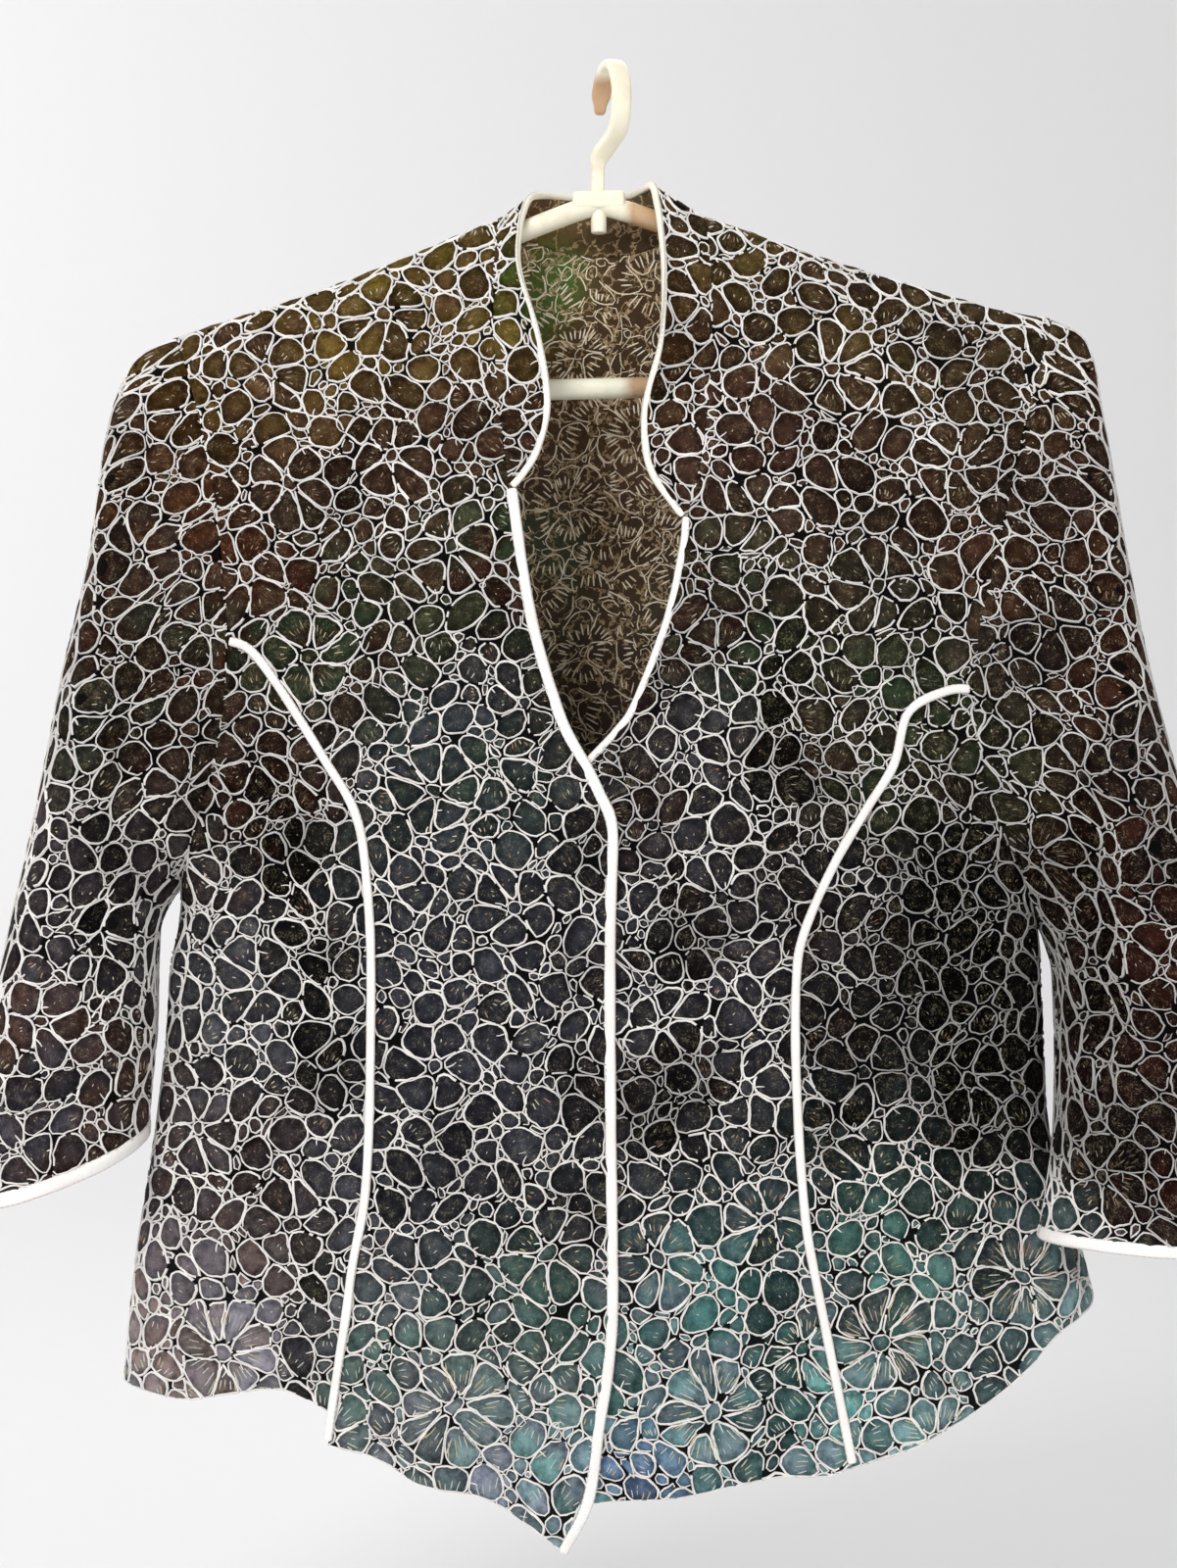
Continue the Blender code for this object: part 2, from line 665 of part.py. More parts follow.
def build_fronts(side, lap, collection):
    """Makes the centre and side panels of one front."""
    sign = SIGN[side]
    armhole = armhole_line(side, "front")
    princess = princess_points(side)
    inner = inner_border(side)

    outer = moved_aside(armhole[:ARMHOLE_UPPER] + princess, -sign * SEAM_HALF_GAP)
    outer[0] = on_ridge(outer[0].x)
    top = shoulder_seam(outer[0].x, inner[0].x, CENTRE_COLUMNS)
    hem = spaced([outer[-1]] + [Vector(p) for p in CENTRE_HEM[side][1:-1]] + [inner[-1]], CENTRE_COLUMNS)
    add_panel(f"front_centre_{side}", patch(outer, inner, top, hem), "front", lap, collection)

    hem_z = SIDE_HEM[side][0][1]
    lower = armhole[ARMHOLE_UPPER:]
    lower[0] = Vector((read_table(ARMHOLE[side], "z", "front", lower[0].y - SIDE_CORNER), lower[0].y - SIDE_CORNER))
    seam = side_seam(side, hem_z, PRINCESS_STEPS - (len(lower) - 1))
    border = moved_aside(lower[:-1], -sign * SEAM_HALF_GAP) + seam
    corner = princess[0] + (princess[1] - princess[0]).normalized() * SIDE_CORNER
    inside = moved_aside([corner] + princess[1:], sign * SEAM_HALF_GAP)
    inside[-1] = inside[-2] + (inside[-1] - inside[-2]) * (
        (SIDE_HEM[side][-1][1] - inside[-2].y) / (inside[-1].y - inside[-2].y)
    )
    top = [border[0].lerp(inside[0], i / SIDE_COLUMNS) for i in range(SIDE_COLUMNS + 1)]
    hem = spaced([border[-1]] + [Vector(p) for p in SIDE_HEM[side][1:-1]] + [inside[-1]], SIDE_COLUMNS)
    add_panel(f"front_side_{side}", patch(border, inside, top, hem), "front", 0, collection)


def build_back(collection):
    """Makes the back in one panel, from armhole to armhole and from the neck to the hem."""
    borders = {}
    for side in SIGN:
        armhole = armhole_line(side, "back")
        hem_z = SIDE_HEM[side][0][1]
        steps = ARMHOLE_UPPER + PRINCESS_STEPS - ARMHOLE_STEPS[side]
        border = moved_aside(armhole[:-1], -SIGN[side] * SEAM_HALF_GAP) + side_seam(side, hem_z, steps)
        border[0] = on_ridge(border[0].x)
        borders[side] = border
    neck = [Vector((s.seam_x, s.seam_z)) for s in COLLAR if s.face in ("ridge", "back")]
    neck = moved_aside(neck, -COLLAR_HALF_GAP)
    right = shoulder_seam(borders["right"][0].x, neck[0].x, SHOULDER_COLUMNS)
    left = shoulder_seam(neck[-1].x, borders["left"][0].x, SHOULDER_COLUMNS)
    top = right + neck[1:-1] + left
    hem = [borders["right"][-1]] + [Vector(p) for p in BACK_HEM[1:-1]] + [borders["left"][-1]]
    grid = patch(borders["right"], borders["left"], top, spaced(hem, len(top) - 1))
    add_panel("back", grid, "back", 0, collection)


def collar_edge_point(station):
    """Returns the middle of the collar's bound edge at a station."""
    if station.free_y is None:
        return skin_point(station.free_x, station.free_z, "front")
    return Vector((station.free_x, station.free_y, station.free_z))


def collar_seam_point(station):
    """Returns the collar's seam at a station."""
    if station.face == "ridge":
        return Vector((station.seam_x, 0, station.seam_z))
    return skin_point(station.seam_x, station.seam_z, station.face)


def collar_frame():
    """Returns the collar's seam points, edge points and outward directions, station by station."""
    seams = [collar_seam_point(station) for station in COLLAR]
    edges = [collar_edge_point(station) for station in COLLAR]
    along = directions([(a + b) / 2 for a, b in zip(seams, edges)], False)
    outward = [(edge - seam).cross(way).normalized() for seam, edge, way in zip(seams, edges, along)]
    return seams, edges, outward


def build_collar(collection):
    """Makes the stand collar and the binding along its free edge."""
    seams, edges, outward = collar_frame()
    points, normals = [], []
    for seam, edge, way, run in zip(seams, edges, outward, directions(edges, False)):
        across = (edge - seam).normalized()
        start = seam + across * COLLAR_HALF_GAP
        end = edge - across * (COLLAR_BINDING.width / 2 + PIECE_GAP) / across.cross(run).length
        points.append([start.lerp(end, j / COLLAR_COLUMNS) for j in range(COLLAR_COLUMNS + 1)])
        normals.append([way] * (COLLAR_COLUMNS + 1))
    ends = slice(1, -1)
    add_wall("collar", points[ends], normals[ends], collection)

    path = even_points(edges, 2 * len(edges))
    ways = even_points(outward, 2 * len(edges))
    widths = [COLLAR_BINDING.width] * len(path)
    add_bar("collar_piping", path, ways, widths, COLLAR_BINDING.thickness, BINDING, collection)


def build_front_piping(side, lap, collection):
    """Makes the binding of one front, from the notch down its neckline and edge to the hem."""
    binding = FRONT_BINDING[side]
    line = even_points(NECKLINE[side], 2 * NECKLINE_STEPS) + even_points(FRONT_EDGE[side], 2 * EDGE_STEPS)[1:]
    path = [skin_point(x, z, "front", lap) for x, z in line]
    normals = [skin_normal(x, z, "front", lap) for x, z in line]
    add_bar(
        f"front_piping_{side}", path, normals, [binding.width] * len(path), binding.thickness, BINDING, collection
    )


def build_princess_piping(side, lap, collection):
    """Makes the cord that lies on a princess seam."""
    lift = HALF_CLOTH + PIECE_GAP + PRINCESS_BINDING.thickness / 2
    line = princess_points(side)
    line[0] = line[0].lerp(line[1], PRINCESS_START)
    line[-1] = line[-1].lerp(line[-2], PRINCESS_END)
    fine = even_points(line, 2 * PRINCESS_STEPS)
    normals = [skin_normal(x, z, "front") for x, z in fine]
    path = [skin_point(x, z, "front", lap) + normal * lift for (x, z), normal in zip(fine, normals)]
    widths = [PRINCESS_BINDING.width] * len(path)
    add_bar(f"princess_piping_{side}", path, normals, widths, PRINCESS_BINDING.thickness, BINDING, collection)


def sleeve_ring(side, along):
    """Returns the sizes of a sleeve's ring at a part of its length, from 0 to 1."""
    rows = SLEEVE[side]
    keyed = namedtuple("Keyed", ("key",) + SleeveRing._fields)
    table = [keyed(i / (len(rows) - 1), *row) for i, row in enumerate(rows)]
    return SleeveRing(*(read_table(table, "key", column, along) for column in SleeveRing._fields))


def ring_point(ring, turn):
    """Returns a point of a plain oval ring, at an angle from its outer edge over the front."""
    outer = Vector((ring.outer_x, ring.centre_y, ring.outer_z))
    inner = Vector((ring.inner_x, ring.centre_y, ring.inner_z))
    depth = ring.front if math.sin(turn) > 0 else ring.back
    point = (outer + inner) / 2 + (outer - inner) / 2 * math.cos(turn)
    point.y -= depth * math.sin(turn)
    point.z -= ring.dip * math.sin(turn)
    return point


def sleeve_turns(side):
    """Returns the angles of a ring's points, which match the armhole's points."""
    steps = ARMHOLE_STEPS[side]
    return [math.pi * i / steps for i in range(2 * steps)]


def armhole_ring(side):
    """Returns the armhole as a ring of points on the skin, from the shoulder over the front."""
    front = [skin_point(x, z, "front") for x, z in armhole_line(side, "front")]
    back = [skin_point(x, z, "back") for x, z in armhole_line(side, "back")]
    return front + back[-2:0:-1]


def crease_rise(side, along, turn):
    """Returns how far the creases push a sleeve out."""
    total = 0.0
    for crease in SLEEVE_CREASES[side]:
        start = Vector((crease.along_start * CREASE_LENGTH, crease.round_start * CREASE_PER_DEGREE))
        end = Vector((crease.along_end * CREASE_LENGTH, crease.round_end * CREASE_PER_DEGREE))
        run = end - start
        place = Vector((along * CREASE_LENGTH, math.degrees(turn) * CREASE_PER_DEGREE)) - start
        part = place.dot(run) / run.length_squared
        across = (place - part * run).length / crease.half_width
        fade = smooth_step(part / 0.3) * smooth_step((1 - part) / 0.3)
        total += crease.rise * fade * math.exp(-across**2)
    return total


def sleeve_point(side, along, turn, seam):
    """Returns a point of a sleeve: a ring's, held to the armhole's seam near the top."""
    held = 1 - smooth_step(along / SLEEVE_HEAD)
    under = ((1 - math.cos(turn)) / 2) ** 5
    clear = SLEEVE_SEAM_GAP + (UNDERARM_CLEAR - SLEEVE_SEAM_GAP) * under
    point = ring_point(sleeve_ring(side, along), turn) + held * (seam - ring_point(sleeve_ring(side, 0), turn))
    point.x += SIGN[side] * clear * held
    return point


def sleeve_grid(side, parts, short):
    """Returns the points and normals of a sleeve's rings, the last one short of the cuff's end."""
    points = []
    columns = list(zip(sleeve_turns(side), armhole_ring(side)))
    cuff = [sleeve_point(side, 1, *column) for column in columns]
    ends = []
    for column, place, way in zip(columns, cuff, directions(cuff, True)):
        run = (place - sleeve_point(side, 0.98, *column)) / 0.02
        ends.append(1 - short / (run - way * run.dot(way)).length)
    for part in parts:
        points.append([sleeve_point(side, part * end, *column) for column, end in zip(columns, ends)])
    normals = grid_normals(points)
    for part, row, ways in zip(parts, points, normals):
        for i, (turn, _) in enumerate(columns):
            row[i] = row[i] + ways[i] * crease_rise(side, part * ends[i], turn)
    return points, grid_normals(points)


def grid_normals(points):
    """Returns outward directions for a grid of rings."""
    rows, columns = len(points), len(points[0])
    normals = []
    for i in range(rows):
        middle = sum(points[i], Vector()) / columns
        row = []
        for j in range(columns):
            down = points[min(i + 1, rows - 1)][j] - points[max(i - 1, 0)][j]
            round_ = points[i][(j + 1) % columns] - points[i][j - 1]
            normal = down.cross(round_).normalized()
            if normal.dot(points[i][j] - middle) < 0:
                normal.negate()
            row.append(normal)
        normals.append(row)
    return normals


def build_sleeve(side, collection):
    """Makes a sleeve and the binding round its cuff."""
    cuff = CUFF_BINDING[side]
    parts = [(i / SLEEVE_STEPS) ** 1.15 for i in range(SLEEVE_STEPS + 1)]
    points, normals = sleeve_grid(side, parts, cuff.width + PIECE_GAP)
    add_wall(f"sleeve_{side}", points, normals, collection, closed=True)

    points, normals = sleeve_grid(side, (0.97, 1), cuff.width / 2)
    widths = [cuff.width] * len(points[1])
    add_bar(
        f"cuff_piping_{side}", points[1], normals[1], widths, cuff.thickness, BINDING, collection, closed=True
    )


def hanger_place(x, z):
    """Turns a place in the hanger's own frame into the part's frame."""
    turned = Matrix.Rotation(-HANGER_TILT, 3, "Y") @ Vector((x, 0, z))
    return HANGER_TOP + turned


def tube_path():
    """Returns the hanger's closed line: up the right arm, down the left and back along the bar."""
    arm = even_points(ARM_LINE, ARM_STEPS)
    end_x, end_z = arm[-1]
    radius = (end_z + BAR_DROP) / 2
    bend = []
    for i in range(1, BEND_STEPS + 1):
        angle = math.pi / 2 - math.pi * i / BEND_STEPS
        bend.append(Vector((end_x + radius * math.cos(angle), end_z - radius + radius * math.sin(angle))))
    half = arm + bend
    mirrored = [Vector((-x, z)) for x, z in reversed(half[1:])]
    return [hanger_place(x, z) for x, z in mirrored + half]


def add_guide(thing, guides):
    """Moves an object into the guides' collection and keeps it out of the model."""
    for collection in thing.users_collection:
        collection.objects.unlink(thing)
    guides.objects.link(thing)
    thing.hide_render = True
    thing.display_type = "WIRE"


def mesh_of_curve(name, path, radius, collection):
    """Makes a closed round tube along a path and returns it as a mesh object."""
    curve = bpy.data.curves.new(f"{name}_line", "CURVE")
    curve.dimensions = "3D"
    curve.bevel_depth = radius * MM
    curve.bevel_resolution = TUBE_SIDES_RESOLUTION
    spline = curve.splines.new("POLY")
    spline.points.add(len(path) - 1)
    for point, place in zip(spline.points, path):
        point.co = (*(place * MM), 1)
    spline.use_cyclic_u = True
    line = bpy.data.objects.new(f"{name}_line", curve)
    collection.objects.link(line)
    bpy.context.view_layer.update()
    evaluated = line.evaluated_get(bpy.context.evaluated_depsgraph_get())
    mesh = bpy.data.meshes.new_from_object(evaluated)
    mesh.name = name
    thing = bpy.data.objects.new(name, mesh)
    collection.objects.link(thing)
    bpy.data.objects.remove(line)
    return thing


def build_hanger(collection, guides):
    """Makes the hanger: its tube, with the boss and the stub that hold the hook."""
    hanger = mesh_of_curve("hanger_frame", tube_path(), TUBE_RADIUS, collection)
    hanger.data.materials.append(material("hanger_plastic", PLASTIC))

    middle = HANGER_TOP + Vector((0, 0, BOSS_TOP - BOSS_SIZE[2] / 2))
    bpy.ops.mesh.primitive_cube_add(size=1, location=middle * MM, rotation=(0, -HANGER_TILT, 0))
    boss = bpy.context.active_object
    boss.name = "hanger_boss_guide"
    boss.scale = [size * MM for size in BOSS_SIZE]
    bpy.ops.object.transform_apply(location=False, rotation=False, scale=True)
    bevel = boss.modifiers.new("Rounding", "BEVEL")
    bevel.width = BOSS_BEVEL * MM
    bevel.segments = 2
    add_guide(boss, guides)

    stub_middle = HANGER_TOP + Vector((0, 0, (STUB_TOP + STUB_BOTTOM) / 2))
    bpy.ops.mesh.primitive_cylinder_add(
        vertices=STUB_SIDES,
        radius=STUB_RADIUS * MM,
        depth=(STUB_TOP - STUB_BOTTOM) * MM,
        location=stub_middle * MM,
    )
    stub = bpy.context.active_object
    stub.name = "hanger_stub_guide"
    add_guide(stub, guides)

    for guide in (boss, stub):
        joined = hanger.modifiers.new(guide.name, "BOOLEAN")
        joined.operation = "UNION"
        joined.object = guide


def hook_place(reach, z):
    """Turns a place in the hook's plane into the part's frame; the stem leans to meet the boss."""
    lean = STEM_X * smooth_step((LEAN_TOP - z) / LEAN_LENGTH)
    return Vector((reach * math.cos(HOOK_YAW) + lean, reach * math.sin(HOOK_YAW), z))


def build_hook(collection):
    """Makes the swivel hook, a flat bar from the boss up and over the rail."""
    radius = HOOK_INNER_RADIUS + HOOK_THICKNESS / 2
    centre_z = -HOOK_INNER_RADIUS
    stem_foot = HANGER_TOP.z + BOSS_TOP + PIECE_GAP
    route = [(0, stem_foot), (0, stem_foot + STEM_FOOT), *STEM_BEND]
    steps = round((HOOK_END_ANGLE - HOOK_START_ANGLE) / HOOK_ANGLE_STEP)
    for i in range(steps + 1):
        angle = math.radians(HOOK_START_ANGLE + (HOOK_END_ANGLE - HOOK_START_ANGLE) * i / steps)
        route.append((radius * math.cos(angle), centre_z + radius * math.sin(angle)))
    path = [hook_place(reach, z) for reach, z in route]
    plane_side = Vector((-math.sin(HOOK_YAW), math.cos(HOOK_YAW), 0))
    normals = [way.cross(plane_side).normalized() for way in directions(path, False)]
    widths = [STEM_WIDTH] * STEM_POINTS + [HOOK_WIDTH] * (len(path) - STEM_POINTS)
    widths[-1] = TIP_WIDTH
    add_bar("hook", path, normals, widths, HOOK_THICKNESS, PLASTIC, collection, sides=8)


def new_collection(name):
    """Adds a collection to the scene."""
    collection = bpy.data.collections.new(name)
    bpy.context.scene.collection.children.link(collection)
    return collection


def main():
    """Clears the scene and builds the top and its hanger."""
    for thing in list(bpy.data.objects):
        bpy.data.objects.remove(thing)
    parts = new_collection("Lace top on a hanger")
    guides = new_collection("Guides")

    laps = {"right": 1, "left": -1}
    for side, lap in laps.items():
        build_fronts(side, lap, parts)
        build_front_piping(side, lap, parts)
        build_princess_piping(side, lap, parts)
        build_sleeve(side, parts)
    build_back(parts)
    build_collar(parts)
    build_hanger(parts, guides)
    build_hook(parts)


main()
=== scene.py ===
"""Dresses the lace top and its hanger: shaped cloth, raised lace, satin bindings, plastic and the studio.

Lengths and places are in millimetres until a mesh is made. "Right" and "left" are the wearer's, so the
right side is at -X. The front faces -Y and +Z is up.
"""

import logging
import math
import random
from dataclasses import dataclass, field, replace
from enum import Enum
from typing import Any, Iterable, NamedTuple, Optional, Sequence, Union

import bpy
import numpy as np
from mathutils import Matrix, Vector
from mathutils.kdtree import KDTree


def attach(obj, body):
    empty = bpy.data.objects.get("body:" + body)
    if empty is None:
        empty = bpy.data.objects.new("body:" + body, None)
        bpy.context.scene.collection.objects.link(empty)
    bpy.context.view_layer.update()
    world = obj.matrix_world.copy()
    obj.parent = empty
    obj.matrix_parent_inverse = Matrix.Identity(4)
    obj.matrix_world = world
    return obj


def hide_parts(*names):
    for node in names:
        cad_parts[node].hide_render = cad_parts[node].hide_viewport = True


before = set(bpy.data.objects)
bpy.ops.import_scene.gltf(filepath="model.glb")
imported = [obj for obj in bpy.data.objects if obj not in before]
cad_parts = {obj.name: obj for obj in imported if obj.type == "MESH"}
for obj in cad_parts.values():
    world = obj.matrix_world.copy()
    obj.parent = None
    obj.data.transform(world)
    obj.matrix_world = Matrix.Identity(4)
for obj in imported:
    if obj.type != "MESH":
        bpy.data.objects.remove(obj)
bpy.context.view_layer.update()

LOG = logging.getLogger("lace_top")
MM = 0.001
MM_PER_CM = 10
BODY = "root"


class Side(Enum):
    """A side of the wearer."""

    RIGHT = "right"
    LEFT = "left"

    @property
    def sign(self) -> int:
        """Returns -1 on the right and 1 on the left."""
        return -1 if self is Side.RIGHT else 1


class Face(Enum):
    """Where a line or a panel lies."""

    FRONT = "front"
    BACK = "back"
    RIDGE = "ridge"


class Slot(Enum):
    """The record's material slots."""

    CLOTH = "lace_cloth"
    CORD = "lace_cord"
    BINDING = "binding"
    HANGER = "hanger_plastic"
    HOOK = "hook_plastic"


class Level(NamedTuple):
    """The outline and the depth of the hung body at a height."""

    z: float
    right: float
    left: float
    front: float
    back: float


class ShoulderPoint(NamedTuple):
    """A point of the shoulder line."""

    x: float
    z: float


class ArmholePoint(NamedTuple):
    """The armhole's x in front and behind at a height."""

    z: float
    front: float
    back: float


class CollarStation(NamedTuple):
    """The collar's seam and its free edge at one place round the neck."""

    face: Face
    seam_x: float
    seam_z: float
    free_x: float
    free_z: float
    free_y: Optional[float]


class Fold(NamedTuple):
    """A trough or ridge of the hung cloth along a line."""

    face: Face
    x_top: float
    z_top: float
    x_low: float
    z_low: float
    half_width: float
    rise: float
    to_hem: bool


class SleeveRing(NamedTuple):
    """A ring of a sleeve: its outer and inner edge, its depth, and how its front dips."""

    outer_x: float
    outer_z: float
    inner_x: float
    inner_z: float
    front: float
    back: float
    centre_y: float
    dip: float


class Crease(NamedTuple):
    """A crease of a sleeve: along it (0 to 1), round it (degrees), its half width and its rise."""

    along_start: float
    round_start: float
    along_end: float
    round_end: float
    half_width: float
    rise: float


class Binding(NamedTuple):
    """The width and thickness of a bound edge or a corded seam."""

    width: float
    thickness: float


BODY_LEVELS = (
    Level(-690, -236, 236, 60, 45),
    Level(-600, -229, 232, 56, 41),
    Level(-563, -225, 224, 53, 38),
    Level(-530, -220, 214, 50, 36),
    Level(-500, -215.5, 207.5, 47, 34),
    Level(-461, -211, 205.5, 46, 33),
    Level(-424, -208.5, 204, 47, 33),
    Level(-395, -203.5, 202.5, 50, 35),
    Level(-330, -216, 217, 52, 37),
    Level(-270, -225, 226, 49, 36),
    Level(-200, -233, 233, 44, 33),
    Level(-130, -239, 240, 38, 28),
    Level(-60, -243, 243, 34, 24),
)
SHOULDER_LINE = tuple(
    ShoulderPoint(*row)
    for row in (
        (-239, -148), (-221, -134.5), (-202, -126.5), (-142, -107), (-94, -88.5), (-52, -71.5), (-4, -62),
        (43, -70), (96, -88.5), (142, -102.5), (191, -116.5), (218, -122), (243, -148),
    )
)
ARMHOLE = {
    Side.RIGHT: (
        ArmholePoint(-390, -204.4, -204.4),
        ArmholePoint(-360, -195, -199),
        ArmholePoint(-320, -183, -192),
        ArmholePoint(-270, -179, -190),
        ArmholePoint(-215, -184, -192),
        ArmholePoint(-165, -194, -198),
        ArmholePoint(-128, -206, -206),
    ),
    Side.LEFT: (
        ArmholePoint(-408, 202.9, 202.9),
        ArmholePoint(-385, 194, 198),
        ArmholePoint(-345, 176, 193),
        ArmholePoint(-297, 168, 189),
        ArmholePoint(-265, 172, 189),
        ArmholePoint(-215, 184, 193),
        ArmholePoint(-160, 197, 201),
        ArmholePoint(-120, 209, 209),
    ),
}
PRINCESS_LINE = {
    Side.RIGHT: (
        (-179, -269.3), (-167, -278), (-153, -296), (-132.5, -328), (-117.5, -354),
        (-112.4, -385), (-110.5, -431), (-112.4, -521), (-119, -565), (-129.7, -643.2),
    ),
    Side.LEFT: (
        (168, -296.8), (155, -297), (137, -307), (130, -331), (117, -352), (101.7, -378),
        (88.6, -408), (85, -430), (85, -476), (88.4, -534), (95, -574), (110.3, -652.3),
    ),
}
NECKLINE = {
    Side.RIGHT: ((-46.1, -204.2), (-42.4, -231), (-38.8, -254), (-33.6, -277), (-22.8, -311), (-12.1, -331)),
    Side.LEFT: ((34.6, -217.5), (33.2, -231), (25.4, -265.4), (10.9, -303), (2.8, -315.2), (-12.1, -331)),
}
FRONT_EDGE = {
    Side.RIGHT: (
        (-12.1, -331), (-5.3, -345), (0.3, -360), (-0.4, -394), (-0.8, -430), (-0.4, -498),
        (0.4, -577), (-1.8, -608), (-5.4, -630), (-10.7, -666), (-21.9, -687.9),
    ),
    Side.LEFT: ((-12.1, -331), (-14, -360), (-14.5, -430), (-14.5, -560), (-14, -620), (-13, -668)),
}
CENTRE_HEM = {
    Side.RIGHT: ((-129.7, -643.2), (-105, -649), (-87, -659), (-60, -664), (-33, -680), (-21.9, -687.9)),
    Side.LEFT: ((110.3, -652.3), (101, -655.7), (74, -657.4), (47, -661.5), (16, -665.8), (-13, -668)),
}
SIDE_HEM = {
    Side.RIGHT: ((-232.6, -622.7), (-217, -624.4), (-197, -625.6), (-160, -618), (-141, -623.6), (-130.2, -629)),
    Side.LEFT: (
        (231.5, -580), (225.5, -587), (204, -600), (184, -620), (156, -635), (128, -647.6), (110.3, -652.3),
    ),
}
BACK_HEM = ((-232.6, -622.7), (-150, -636), (-60, -648), (40, -650), (150, -628), (231.5, -580))
COLLAR = tuple(
    CollarStation(*row)
    for row in (
        (Face.FRONT, -47.8, -199.5, -45.2, -201, None),
        (Face.FRONT, -48.4, -194.5, -41, -196, None),
        (Face.FRONT, -49.8, -183, -34.4, -184.5, None),
        (Face.FRONT, -52.3, -160, -29.8, -163, None),
        (Face.FRONT, -54.7, -131, -34.2, -131.5, None),
        (Face.FRONT, -55, -100, -43, -98, None),
        (Face.FRONT, -54, -84, -43, -78, None),
        (Face.FRONT, -53, -75.5, -41, -67, -5),
        (Face.RIDGE, -52, -71.5, -38, -60.5, -1),
        (Face.BACK, -41, -78, -31, -57, 12),
        (Face.BACK, -22, -84, -17, -56.5, 20),
        (Face.BACK, -4, -86, -3, -56.5, 22.5),
        (Face.BACK, 14, -84, 9, -55.5, 20),
        (Face.BACK, 32, -77, 16, -54, 12),
        (Face.RIDGE, 43, -70, 20, -55, -0.5),
        (Face.FRONT, 44.5, -73.5, 22, -64, -6),
        (Face.FRONT, 46, -84, 23.5, -76, None),
        (Face.FRONT, 47.5, -105, 25, -100, None),
        (Face.FRONT, 47, -135, 23.5, -133, None),
        (Face.FRONT, 44.6, -168, 15.9, -166, None),
        (Face.FRONT, 40.5, -196, 17.8, -192.5, None),
        (Face.FRONT, 36.6, -211, 29, -210.4, None),
        (Face.FRONT, 36, -213.6, 32.6, -214.8, None),
    )
)
